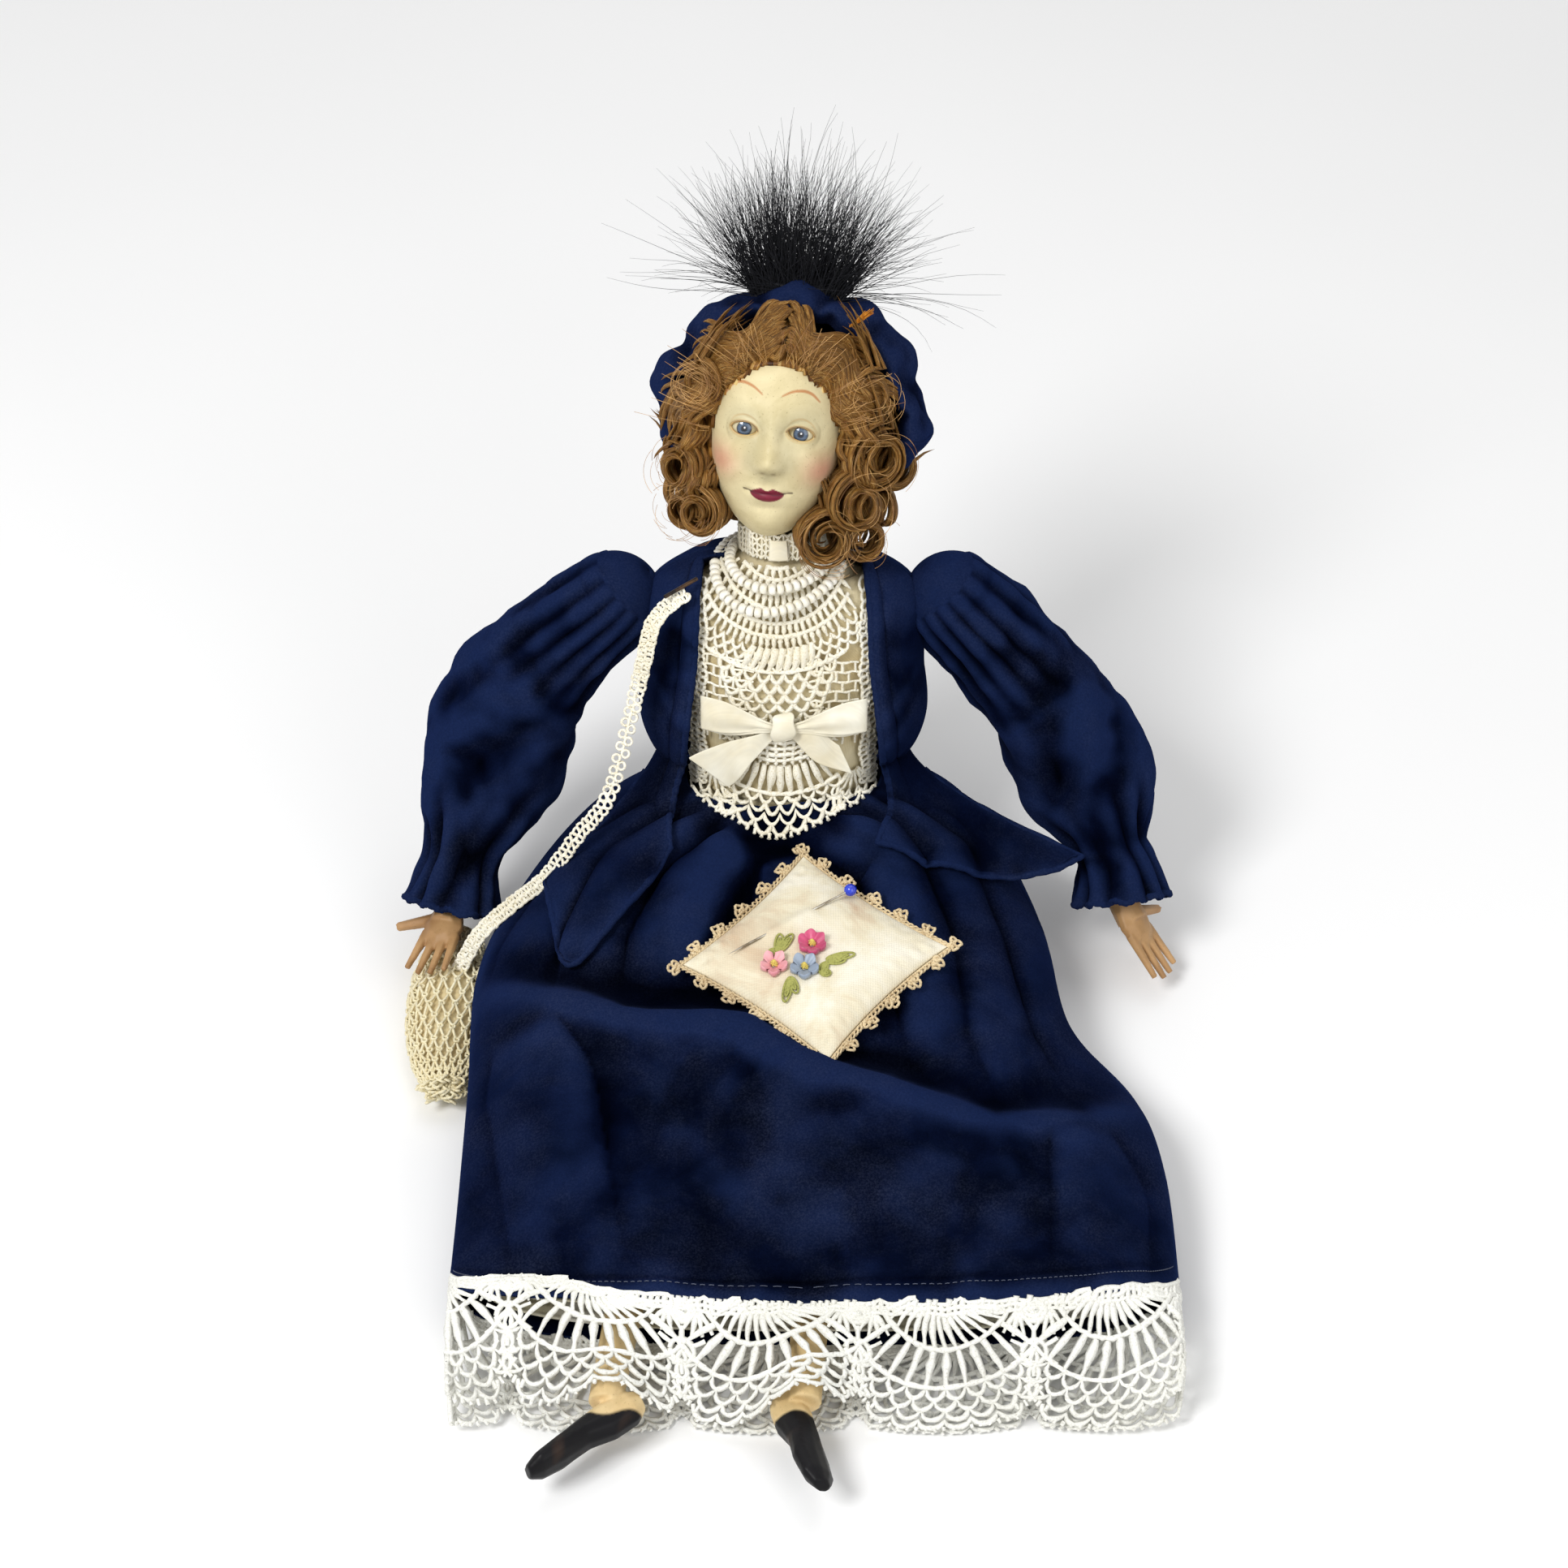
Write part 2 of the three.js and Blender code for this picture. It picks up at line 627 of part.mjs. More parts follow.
// Plume: strands that fan out of one root on top of the hat.
const plumeRoot = [1.5, 13, hatCentre[1] + HAT_RADIUS + 0.72 * PLUME_ROOT];
function strand(k) {
  const spread = ((k * 0.618034) % 1) * 2 - 1;
  const lift = ((k + 0.5) / PLUME_STRANDS) * 2 - 1;
  const fan = spread * 78 * RAD;
  const back = lift * 34 * RAD;
  const reach = PLUME_LENGTH * (0.62 + 0.38 * Math.abs(Math.sin(7.3 * k)));
  const heading = [
    Math.sin(fan) * Math.cos(back),
    Math.sin(back),
    Math.cos(fan) * Math.cos(back),
  ];
  const start = heading.map((x, i) => plumeRoot[i] + x * 0.55 * PLUME_ROOT);
  const tip = heading.map((x, i) => plumeRoot[i] + x * (PLUME_ROOT + reach) * (i === 2 ? 0.92 : 1));
  return solid(rod(start, tip, 1.1, 3, 0.15));
}
const plumeBase = ellipsoid(plumeRoot, [1.4 * PLUME_ROOT, PLUME_ROOT, 0.72 * PLUME_ROOT], 10, 6);
const plume = join([solid(plumeBase), ...Array.from({ length: PLUME_STRANDS }, (_, k) => strand(k))]);
piece("plume", geometryOf(plume), "feather", headGroup);

// Amber tuft: a small dyed quill tip tucked in the hat's rolled edge.
const TUFT_HEADING = vec([0.64, -0.44, 0.63]).normalize();
const tuftRoot = [0.464 * HAT_RADIUS, -1.1, 0.729 * HAT_RADIUS];
const tuftTip = vec(tuftRoot).addScaledVector(TUFT_HEADING, TUFT_LENGTH).toArray();
const tuft = rod(tuftRoot, tuftTip, 1.5, 5, 0.3);
piece("hat_tuft", tuft, "tuft", headGroup);

// Blouse and lace
const angleOf = (u, from, to) => (from + (to - from) * u) * RAD;
function heightAt(levels, v) {
  const x = clamp(v, 0, 1) * (levels.length - 1);
  const i = Math.min(Math.floor(x), levels.length - 2);
  return levels[i] + (levels[i + 1] - levels[i]) * (x - i);
}
const layer = (from, to, ease, thick, foot, top, options) => {
  const levels = levelsBetween(foot, top);
  const columns = Math.round(((to - from) / 360) * TORSO_SIDES);
  const surface = (u, v) => torsoPoint(angleOf(u, from, to), heightAt(levels, v), ease);
  return cloth(surface, columns, levels.length - 1, thick, options);
};
const bodice = layer(0, 360, BLOUSE_EASE, MUSLIN, WAIST_S, JACKET_TOP_S, { loop: true });
piece("blouse", bodice, "muslin", upperBody);
piece("blouse_lace", layer(198, 342, LACE_EASE, LACE, WAIST_S, JACKET_TOP_S), "lace", upperBody);

const collar = cloth(
  (u, v) => {
    const frill = 0.3 * Math.cos(6 * TURN * u);
    const r = COLLAR_RADIUS + frill + 0.4 * v;
    return [r * Math.cos(TURN * u), r * Math.sin(TURN * u), COLLAR_FOOT_S + COLLAR_HEIGHT * v];
  },
  18, 2, LACE, { loop: true },
);
piece("collar_lace", collar, "lace", upperBody);

// Necklaces: two strands of small beads that lie on the lace, from the nape down to the breast.
function beadStrand(frontS, backS) {
  const path = (t) => {
    const angle = TURN * t;
    const front = ((1 - Math.sin(angle)) / 2) ** STRAND_DROP;
    return torsoPoint(angle, backS + (frontS - backS) * front, LACE_EASE + BEAD_RADIUS + GAP);
  };
  const rings = Array.from({ length: STRAND_STEPS }, (_, k) => {
    const t = k / STRAND_STEPS;
    const along = vec(path((t + 0.01) % 1)).sub(vec(path((t + 0.99) % 1))).normalize();
    const across = along.clone().cross(UP).normalize();
    const deep = along.clone().cross(across);
    return Array.from({ length: 4 }, (_, i) => {
      const angle = (TURN * i) / 4;
      return vec(path(t))
        .addScaledVector(across, BEAD_RADIUS * Math.cos(angle))
        .addScaledVector(deep, BEAD_RADIUS * Math.sin(angle))
        .toArray();
    });
  });
  return loft(rings, true);
}
piece("necklace_upper", beadStrand(UPPER_STRAND_S, NAPE_STRAND_S + 1.5), "bead", upperBody);
piece("necklace_lower", beadStrand(LOWER_STRAND_S, NAPE_STRAND_S - 1.5), "bead", upperBody);

// Ribbon bow
const bowDepth = torsoHalves(BOW_S)[1] + LACE_EASE + GAP + 2.1;
function ribbonPart(reach, drop, endWidth, thick, curve) {
  const path = (t) => [reach * t, curve * t * t - bowDepth, BOW_S + drop * t];
  const width = (t) => [2 + (endWidth / 2 - 2) * smooth(t), thick * (0.75 + 0.5 * Math.sin(Math.PI * t))];
  return solid(loft(tube(path, width, 6, 4, [0, 0, 1])));
}
const bow = join([
  ribbonPart(BOW_SPAN, 3.5, RIBBON_WIDTH, 1.5, 4),
  ribbonPart(-BOW_SPAN, 4.5, RIBBON_WIDTH + 1, 1.5, 4),
  ribbonPart(0.8 * BOW_SPAN, -14, RIBBON_WIDTH, 0.6, 2.4),
  ribbonPart(-0.96 * BOW_SPAN, -18, RIBBON_WIDTH, 0.6, 2.4),
  solid(ellipsoid([0, -bowDepth - 0.2, BOW_S], [4.6, 2.1, 4.4], 8, 5)),
]);
piece("ribbon_bow", geometryOf(bow), "satin", upperBody);

// Skirt: four paths from waist to hem, down its sides, over the lap and under the seat.
const waistFront = inWorld([0, -WAIST_HALF_DEPTH - 3.9, WAIST_S]);
const waistBack = inWorld([0, WAIST_HALF_DEPTH + 3.9, WAIST_S]);
const waistLeft = inWorld([WAIST_HALF_WIDTH + 3.9, 0, WAIST_S]);
const waistRight = inWorld([-WAIST_HALF_WIDTH - 3.9, 0, WAIST_S]);
const LAP_PATH = [
  waistFront, [0, -23, 51], [2, -48, 43], [4, -90, 41.5], [8, -125, 39], [8, -158, 34], [5, -187, 29],
];
const SEAT_PATH = [
  waistBack, [0, 50.5, 30], [0, 30, 0], [2, -50, 0], [6, -110, 0], [8, -150, 0], [8, -180, 0],
];
const LEFT_PATH = [
  waistLeft, [62, 16, 36], [82, -12, 19], [88, -58, 17], [108, -96, 19], [115, -128, 19], [116, -170, 17],
];
const RIGHT_PATH = [
  waistRight, [-64, 14, 36], [-86, -8, 25], [-97, -45, 24], [-97, -92, 20], [-97, -135, 18], [-97, -169, 17],
];
const SKIRT_SQUARENESS = 0.74;

function skirtPoint(u, t) {
  const angle = TURN * u;
  const [c, s] = [Math.cos(angle), Math.sin(angle)];
  const side = spline(c > 0 ? LEFT_PATH : RIGHT_PATH, t);
  const other = spline(c > 0 ? RIGHT_PATH : LEFT_PATH, t);
  const face = spline(s > 0 ? LAP_PATH : SEAT_PATH, t);
  const middle = mix(side, other, 0.5);
  const [cw, sw] = [Math.abs(c) ** SKIRT_SQUARENESS, Math.abs(s) ** SKIRT_SQUARENESS];
  const [x, y, z] = middle.map((m, k) => m + (side[k] - m) * cw + (face[k] - m) * sw);
  return [x, y, Math.max(z, 0)];
}

// Folds of the skirt: gathers that leave the waistband, and long ridges over the lap.
function skirtFold(u, t) {
  const top = Math.max(0, Math.sin(TURN * u));
  const gathers = 1.1 * Math.sin(6 * TURN * u) * bump(t - 0.16, 0.2);
  const ridge = 2.2 * bump(t - 0.5 - 0.1 * Math.cos(TURN * u), 0.07) - 1.6 * bump(t - 0.38, 0.08);
  const fall = 1.3 * Math.sin(4.5 * TURN * u + 5 * t) * smooth(clamp((t - 0.5) / 0.4, 0, 1));
  return (gathers + ridge + fall) * top;
}

const skirtSurface = (u, v) => {
  const [x, y, z] = skirtPoint(u, v);
  return [x, y, z + skirtFold(u, v)];
};
const SKIRT_COLUMNS = 24;
const SKIRT_ROWS = 12;
const skirtCloth = solid(cloth(skirtSurface, SKIRT_COLUMNS, SKIRT_ROWS, VELVET, { loop: true }));

// The height of the lap's upper face at (x, y), from the nearest of a grid of its points.
const lapPoints = [];
for (let i = 0; i <= 40; i++) {
  for (let j = 0; j <= 60; j++) lapPoints.push(skirtSurface(i / 80, j / 60));
}
function lapHeight(x, y) {
  const near = lapPoints.filter((p) => Math.hypot(p[0] - x, p[1] - y) < 5);
  return near.reduce((top, p) => Math.max(top, p[2]), 0);
}
const overLap = ([x, y, z], clear) => [x, y, Math.max(z, lapHeight(x, y) + clear)];
const hingeLine = (radius, sides = 40) =>
  solid(rod([-200, HIP[1], HIP[2]], [200, HIP[1], HIP[2]], radius, sides));
const underThighs = solid(new THREE.BoxGeometry(400, 60, 20).translate(0, SEAT_FRONT - 30, 4));
const skirtSeat = skirtCloth.intersect(hingeLine(SKIRT_HINGE_RADIUS)).subtract(underThighs);
const skirtLap = skirtCloth.subtract(hingeLine(SKIRT_HINGE_RADIUS + GAP));
piece("skirt_seat", geometryOf(largest(skirtSeat)), "velvet");
piece("skirt_lap", geometryOf(largest(skirtLap)), "velvet");

// Hem lace: a scalloped net that hangs from the hem and lifts where it crosses the ankles.
const ANKLES = { right: [-51, -213, 14.5], left: [6, -213, 14.5] };
const KNEES = { right: [-35, -98, 27], left: [13, -98, 27] };
const HIPS = { right: [-17, -19, 21], left: [17, -19, 21] };
const laceHang = (x) =>
  5 + 20 * Math.max(bump(x - ANKLES.right[0], 15), bump(x - ANKLES.left[0], 15));

function hemLacePoint(u, v) {
  const [x, y, z] = skirtSurface(u, 1);
  const s = Math.sin(TURN * u);
  const scallop = SCALLOP_DEPTH * Math.max(0, s) * Math.abs(Math.sin(HEM_SCALLOPS * Math.PI * u)) ** 0.6;
  const reach = y - LACE_FOOT_Y + scallop;
  const low = s > 0 ? mix([z], [laceHang(x)], Math.min(1, 1.6 * s))[0] : Math.min(z, 6 + 5 * s);
  const foot = [x * 0.985, y - reach, Math.max(low, s > 0 ? 4 : 0)];
  const start = [x, y - 3 * GAP, z];
  const middle = [x, y - 0.62 * reach, z + 0.42 * (foot[2] - z)];
  return spline([start, middle, foot], v);
}
const hemLace = cloth(hemLacePoint, LACE_GAPS_AROUND, LACE_ROWS, LACE, {
  loop: true,
  gaps: (i) => i < LACE_GAPS_AROUND / 2,
});
piece("hem_lace", hemLace, "hemLace");

// Petticoat: a plain cotton tube inside the skirt's lower half.
const petticoat = cloth(
  (u, v) => {
    const t = PETTICOAT_START + (PETTICOAT_END - PETTICOAT_START) * v;
    const middle = mix(skirtPoint(0, t), skirtPoint(0.5, t), 0.5);
    const halfWidth = skirtPoint(0, t)[0] - middle[0];
    const halfHeight = skirtPoint(0.25, t)[2] - middle[2];
    const [x, y, z] = skirtPoint(u, t);
    const across = 1 - PETTICOAT_INSET / halfWidth;
    const down = 1 - PETTICOAT_DROP / halfHeight;
    return [middle[0] + (x - middle[0]) * across, y, middle[2] + (z - middle[2]) * down];
  },
  20, 4, MUSLIN, { loop: true },
);
piece("petticoat", petticoat, "hemLace");

// Legs: cloth thighs, porcelain shins that roll in them, and a cord that binds each.
function leg(side) {
  const [hip, knee, ankle] = [HIPS[side], KNEES[side], ANKLES[side]];
  const shinAxis = vec(ankle).sub(vec(knee)).normalize();
  const socketEnd = vec(knee).addScaledVector(shinAxis, SOCKET_DEPTH).toArray();
  const thighPath = (t) => spline([hip, mix(hip, knee, 0.5), knee, socketEnd], t);
  const thickness = (t) => {
    const r = THIGH_RADIUS + (KNEE_RADIUS - THIGH_RADIUS) * smooth(t);
    return [r, r];
  };
  const socketRadius = SHIN_TOP_RADIUS + GAP;
  const socket = solid(rod(knee, vec(socketEnd).addScaledVector(shinAxis, 6).toArray(), socketRadius, 14));
  const thigh = solid(loft(tube(thighPath, thickness, 12, 5, [1, 0, 0])))
    .subtract(socket)
    .subtract(hingeLine(PELVIS_CLEARANCE));
  piece(`thigh_${side}`, geometryOf(thigh), "muslin");
  const tieAt = mix(knee, socketEnd, 0.5);
  const tieRadius = KNEE_RADIUS + TIE_EASE + TIE_RADIUS;
  piece(`leg_tie_${side}`, ring(tieAt, shinAxis.toArray(), tieRadius, TIE_RADIUS), "cord");

  const start = vec(knee).addScaledVector(shinAxis, GAP).toArray();
  const shinPath = (t) => mix(start, ankle, t);
  const shinRows = [
    [SHIN_TOP_RADIUS], [SHIN_TOP_RADIUS], [CALF_RADIUS], [0.94 * CALF_RADIUS],
    [0.76 * CALF_RADIUS], [1.08 * ANKLE_RADIUS], [ANKLE_RADIUS],
  ];
  const shinRadius = (t) => {
    const [r] = spline(shinRows, t);
    return [r, r];
  };
  const shin = solid(loft(tube(shinPath, shinRadius, 12, 7, [1, 0, 0])));
  piece(`shin_${side}`, geometryOf(shin.add(foot(side, shinAxis, ankle))), "legPorcelain");
}

// A slippered foot: rings from heel to toe, pointed and rolled outwards.
function foot(side, shinAxis, ankle) {
  const roll = side === "right" ? -84 : 50;
  const sideways = shinAxis.clone().cross(UP).normalize();
  const upward = sideways.clone().cross(shinAxis).normalize();
  const outward = sideways
    .clone()
    .multiplyScalar(-Math.sin(roll * RAD))
    .addScaledVector(upward, Math.cos(roll * RAD))
    .normalize();
  const toeward = shinAxis
    .clone()
    .multiplyScalar(Math.cos(FOOT_POINTS[side] * RAD))
    .addScaledVector(outward, Math.sin(FOOT_POINTS[side] * RAD))
    .normalize();
  const width = shinAxis.clone().cross(outward).normalize();
  const sole = toeward.clone().cross(width).normalize();
  if (sole.dot(shinAxis) < 0) sole.negate();
  const heel = vec(ankle).addScaledVector(toeward, -9).addScaledVector(sole, 5);
  const rows = [
    [0, 3, 3.4, -0.6], [0.1, 5.2, 5.4, 0], [0.3, 5.4, 5.8, 0.4], [0.5, 5.6, 4.4, 0.4],
    [0.72, 7, 3.8, 1.8], [0.9, 6, 3.2, 2.4], [1, 2.8, 1.8, 2.6],
  ];
  const rings = rows.map(([along, wide, high, drop]) => {
    const centre = heel.clone().addScaledVector(toeward, along * FOOT_LENGTH).addScaledVector(sole, drop);
    return Array.from({ length: 10 }, (_, i) => {
      const angle = (TURN * i) / 10;
      return centre
        .clone()
        .addScaledVector(width, wide * Math.cos(angle))
        .addScaledVector(sole, high * Math.sin(angle))
        .toArray();
    });
  });
  const turnsRight = width.clone().cross(sole).dot(toeward) > 0;
  return solid(loft(turnsRight ? rings : rings.reverse()));
}
leg("right");
leg("left");

// Arms
const shoulders = {
  right: inWorld([-SHOULDER_X, SHOULDER_BACK, SHOULDER_S]),
  left: inWorld([SHOULDER_X, SHOULDER_BACK, SHOULDER_S]),
};
const ARM_PATHS = {
  right: [shoulders.right, [-82, 32, 86], [-96, 18, 57], [-105, -2, 33], [-108, -10, 22]],
  left: [shoulders.left, [82, 31, 80], [99, 18, 54], [108, -1, 36], [110, -10, 25]],
};
const HAND_HEADINGS = { right: [-9, -34, -7], left: [14, -17, -19] };
const HAND_SPIN = { right: -6, left: 20 };
const ELBOW_AT = 0.5;
const SLEEVE_ROWS = 10;
const SLEEVE_COLUMNS = 12;
const ROOT_SHARE = 2 / (SLEEVE_ROWS - 2);
const SLEEVE_RADII = [[SLEEVE_CAP], [17.3], [20.5], [21], [18], [10.6], [12.5], [14.5]];

function sleevePoint(side, u, v) {
  const path = (t) => spline(ARM_PATHS[side], t);
  const t = clamp(v * (1 + ROOT_SHARE) - ROOT_SHARE, 0, 1);
  const along = tangentOf(path, t);
  const deep = along.clone().cross(vec([0, 1, 0])).normalize();
  const across = deep.clone().cross(along).normalize();
  const root = t > 0 ? 0 : 1 - (v * (1 + ROOT_SHARE)) / ROOT_SHARE;
  const shift = SLEEVE_ROOT * root;
  const [spread] = spline(SLEEVE_RADII, t);
  const cap = root ? Math.sqrt(SLEEVE_CAP ** 2 - shift ** 2) : spread;
  const angle = TURN * u;
  const gathers = 1.1 * smooth(clamp((t - 0.5) / 0.25, 0, 1)) * Math.sin(4 * angle);
  const fold = 1.4 * bump(t - 0.45, 0.2) * Math.sin(2 * angle + 8 * t);
  const r = cap + (root ? 0 : gathers + fold);
  return vec(path(t))
    .addScaledVector(along, -shift)
    .addScaledVector(across, r * Math.cos(angle))
    .addScaledVector(deep, r * Math.sin(angle))
    .toArray();
}

// A hand from its wrist out: palm, four fingers side by side and a thumb that stands out.
function hand(side, wrist) {
  const outward = side === "right" ? -1 : 1;
  const shape = [
    solid(ellipsoid([0, 0, 9], [0.5 * PALM_WIDTH, 3.6, 9.5], 8, 5)),
    solid(rod([0, 0, -3], [0, 0, 8], WRIST_RADIUS, 10, 5.2)),
  ];
  for (let k = 0; k < 4; k++) {
    const x = (k - 1.5) * 0.24 * PALM_WIDTH;
    const reach = HAND_LENGTH - Math.abs(k - 1.4) * 1.8;
    shape.push(solid(rod([x, 0, 12], [x * 1.25, 1.6, reach], FINGER_RADIUS, 5, 0.6 * FINGER_RADIUS)));
  }
  shape.push(solid(rod([outward * 3, 0, 6], [outward * 1.2 * PALM_WIDTH, -1.5, 9.5], 2.4, 6, 1.6)));
  const axis = vec(HAND_HEADINGS[side]).normalize();
  const turn = new THREE.Quaternion().setFromUnitVectors(UP, axis);
  const spin = new THREE.Quaternion().setFromAxisAngle(axis, HAND_SPIN[side] * RAD);
  const place = new THREE.Matrix4().compose(vec(wrist), spin.multiply(turn), new THREE.Vector3(1, 1, 1));
  return moved(geometryOf(join(shape)), place);
}

function arm(side) {
  const path = (t) => spline(ARM_PATHS[side], t);
  const [elbow, wrist] = [path(ELBOW_AT), path(1)];
  const axis = vec(wrist).sub(vec(elbow)).normalize();
  const socketEnd = vec(elbow).addScaledVector(axis, SOCKET_DEPTH).toArray();
  const upperPath = (t) => spline([path(0), path(0.17), path(0.34), elbow, socketEnd], t);
  const upper = solid(loft(tube(upperPath, (t) => {
    const r = UPPER_ARM_RADIUS + (FOREARM_RADIUS + GAP + 2 - UPPER_ARM_RADIUS) * smooth(t);
    return [r, r];
  }, 10, 5)));
  const ballRadius = SLEEVE_CAP - VELVET - 3 * GAP;
  const ball = solid(ellipsoid(path(0), Array(3).fill(ballRadius), 10, 6));
  const socketFoot = vec(socketEnd).addScaledVector(axis, 8).toArray();
  const socket = solid(rod(elbow, socketFoot, FOREARM_RADIUS + GAP, 12));
  piece(`upper_arm_${side}`, geometryOf(upper.add(ball).subtract(socket)), "muslin");
  const cordRadius = FOREARM_RADIUS + GAP + 2 + TIE_EASE + TIE_RADIUS;
  const tie = ring(mix(elbow, socketEnd, 0.6), axis.toArray(), cordRadius, TIE_RADIUS);
  piece(`arm_tie_${side}`, tie, "cord");

  const start = vec(elbow).addScaledVector(axis, GAP).toArray();
  const forearm = solid(rod(start, wrist, FOREARM_RADIUS, 12, WRIST_RADIUS));
  piece(`hand_${side}`, geometryOf(forearm.add(hand(side, wrist))), "handPorcelain");
  const surface = (u, v) => sleevePoint(side, u, v);
  const sleeve = cloth(surface, SLEEVE_COLUMNS, SLEEVE_ROWS, VELVET, { loop: true });
  piece(`sleeve_${side}`, sleeve, "velvet");
}
arm("right");
arm("left");

// Jacket: a back and two fronts on the torso. The fronts run on over the lap to their own hems.
const armholes = ["right", "left"].map((side) => {
  const centre = vec(shoulders[side]).applyMatrix4(worldToTorso).toArray();
  return solid(ellipsoid(centre, Array(3).fill(ARMHOLE_RADIUS), 14, 10));
});
function cutHoles(geometry, holes) {
  return largest(holes.reduce((body, hole) => body.subtract(hole), solid(geometry)));
}
const backCloth = layer(0, 180, JACKET_EASE, VELVET, JACKET_BACK_FOOT_S, JACKET_TOP_S);
piece("jacket_back", geometryOf(cutHoles(backCloth, armholes)), "velvet", upperBody);

const WAIST_TURN_S = 40;
const FRONT_HEMS = {
  right: [[-76, -22, 40], [-72, -44, 38], [-66, -61, 36], [-50, -44, 40], [-36, -22, 48]],
  left: [[96, -12, 44], [80, -20, 46], [58, -24, 48], [44, -24, 50], [30, -22, 54]],
};
const FRONT_WORN_SHARE = 0.6;
const frontLevels = levelsBetween(WAIST_TURN_S, JACKET_TOP_S).reverse();
function frontPoint(side, u, v) {
  const sign = side === "right" ? -1 : 1;
  const s = heightAt(frontLevels, Math.min(v / FRONT_WORN_SHARE, 1));
  const half = torsoHalves(s)[0] + JACKET_EASE;
  const edge = Math.acos(Math.min(0.95, FRONT_EDGE_X / half));
  const seam = 3 * RAD;
  const [x, y, h] = torsoPoint(-(seam + u * (edge - seam)), s, JACKET_EASE);
  const worn = inWorld([sign * x, y, h]);
  if (v <= FRONT_WORN_SHARE) return worn;
  const w = (v - FRONT_WORN_SHARE) / (1 - FRONT_WORN_SHARE);
  const hem = spline(FRONT_HEMS[side], u);
  const bend = inWorld([sign * (x + 6), y * 1.1 - 4, s - 16]);
  return overLap(mix(mix(worn, bend, w), mix(bend, hem, w), w), 2 * VELVET + 2 * GAP);
}
for (const side of ["right", "left"]) {
  const flip = side === "right";
  const front = cloth((u, v) => frontPoint(side, u, flip ? 1 - v : v), 6, 10, VELVET);
  const worn = cutHoles(front, armholes.map((hole) => hole.transform(torsoToWorld.elements)));
  piece(`jacket_front_${side}`, geometryOf(worn), "velvet");
}

// Pincushion on the lap, with its crochet edging, ribbon flowers and pins
const cushionTurn = new THREE.Matrix4()
  .makeTranslation(...CUSHION_CENTRE)
  .multiply(new THREE.Matrix4().makeRotationX(CUSHION_SLOPE * RAD))
  .multiply(new THREE.Matrix4().makeRotationZ(CUSHION_TURN * RAD));
const onCushion = (geometry) => geometry.applyMatrix4(cushionTurn);

function cushionHeight(x, y) {
  const shape = (p) => Math.max(0, 1 - Math.abs(p / CUSHION_HALF) ** 3.2) ** 0.62;
  return 0.45 + CUSHION_CROWN * shape(x) * shape(y);
}
function cushionEdge(p, q) {
  return p * (1 - 0.075 * (1 - (q / CUSHION_HALF) ** 2));
}
function pillow(half, columns) {
  const points = [];
  const faces = [];
  const wide = columns + 1;
  for (const sign of [1, -0.7]) {
    for (let j = 0; j < wide; j++) {
      for (let i = 0; i < wide; i++) {
        const [p, q] = [i, j].map((k) => half * Math.sin(((2 * k) / columns - 1) * (Math.PI / 2)));
        points.push([cushionEdge(p, q), cushionEdge(q, p), sign * cushionHeight(p, q)]);
      }
    }
  }
  const below = wide * wide;
  const at = (i, j) => j * wide + i;
  for (let j = 0; j < columns; j++) {
    for (let i = 0; i < columns; i++) {
      const [a, b, c, d] = [at(i, j), at(i + 1, j), at(i + 1, j + 1), at(i, j + 1)];
      faces.push(a, b, c, a, c, d);
      faces.push(a + below, c + below, b + below, a + below, d + below, c + below);
    }
  }
  const wall = (a, b) => faces.push(a, a + below, b + below, a, b + below, b);
  for (let k = 0; k < columns; k++) {
    wall(at(k, 0), at(k + 1, 0));
    wall(at(k + 1, columns), at(k, columns));
    wall(at(0, k + 1), at(0, k));
    wall(at(columns, k), at(columns, k + 1));
  }
  return surfaceOf(points, faces);
}

// The ball pin goes in at one side, runs just under the cloth, which it takes up, and comes out again.
const BALL_PIN = { head: [-5.2, 23.3, 7], heading: [-12.8, -44.4, -0.8] };
const PUCKER = { centre: [-11.1, 2.2, 6.4], half: [10.5, 2.8, 1.8] };
const pinHeading = vec(BALL_PIN.heading).normalize();
const alongPin = (reach) => vec(BALL_PIN.head).addScaledVector(pinHeading, reach).toArray();
const pinBore = solid(rod(BALL_PIN.head, alongPin(PIN_LENGTH + GAP), PIN_RADIUS + GAP, 6));
const puckerShape = ellipsoid([0, 0, 0], PUCKER.half, 12, 8)
  .rotateZ(Math.atan2(pinHeading.y, pinHeading.x))
  .translate(...PUCKER.centre);
const pad = solid(pillow(CUSHION_HALF, 9)).add(solid(puckerShape)).subtract(pinBore);
piece("pincushion", onCushion(geometryOf(largest(pad))), "cushion");

const edgingPath = (t) => {
  const side = Math.floor(4 * t) % 4;
  const along = (4 * t - Math.floor(4 * t)) * 2 - 1;
  const out = CUSHION_HALF + 1.9;
  const drawn = out * (1 - 0.075 * (1 - along * along));
  const far = along * out;
  return [[far, -drawn, 0], [drawn, far, 0], [-far, drawn, 0], [-drawn, -far, 0]][side];
};
const EDGING_STEPS = 40;
const edgingRings = Array.from({ length: EDGING_STEPS }, (_, k) => {
  const t = k / EDGING_STEPS;
  const centre = vec(edgingPath(t));
  const out = centre.clone().normalize();
  const picot = k % 2 ? 1.3 : 0;
  return [[1 + picot, 0], [0, -0.9], [-1, 0], [0, 0.9]].map(([o, h]) =>
    centre.clone().addScaledVector(out, o).addScaledVector(UP, h).toArray(),
  );
});
const edging = solid(loft(edgingRings, true));
piece("pincushion_edging", onCushion(geometryOf(edging)), "edging");

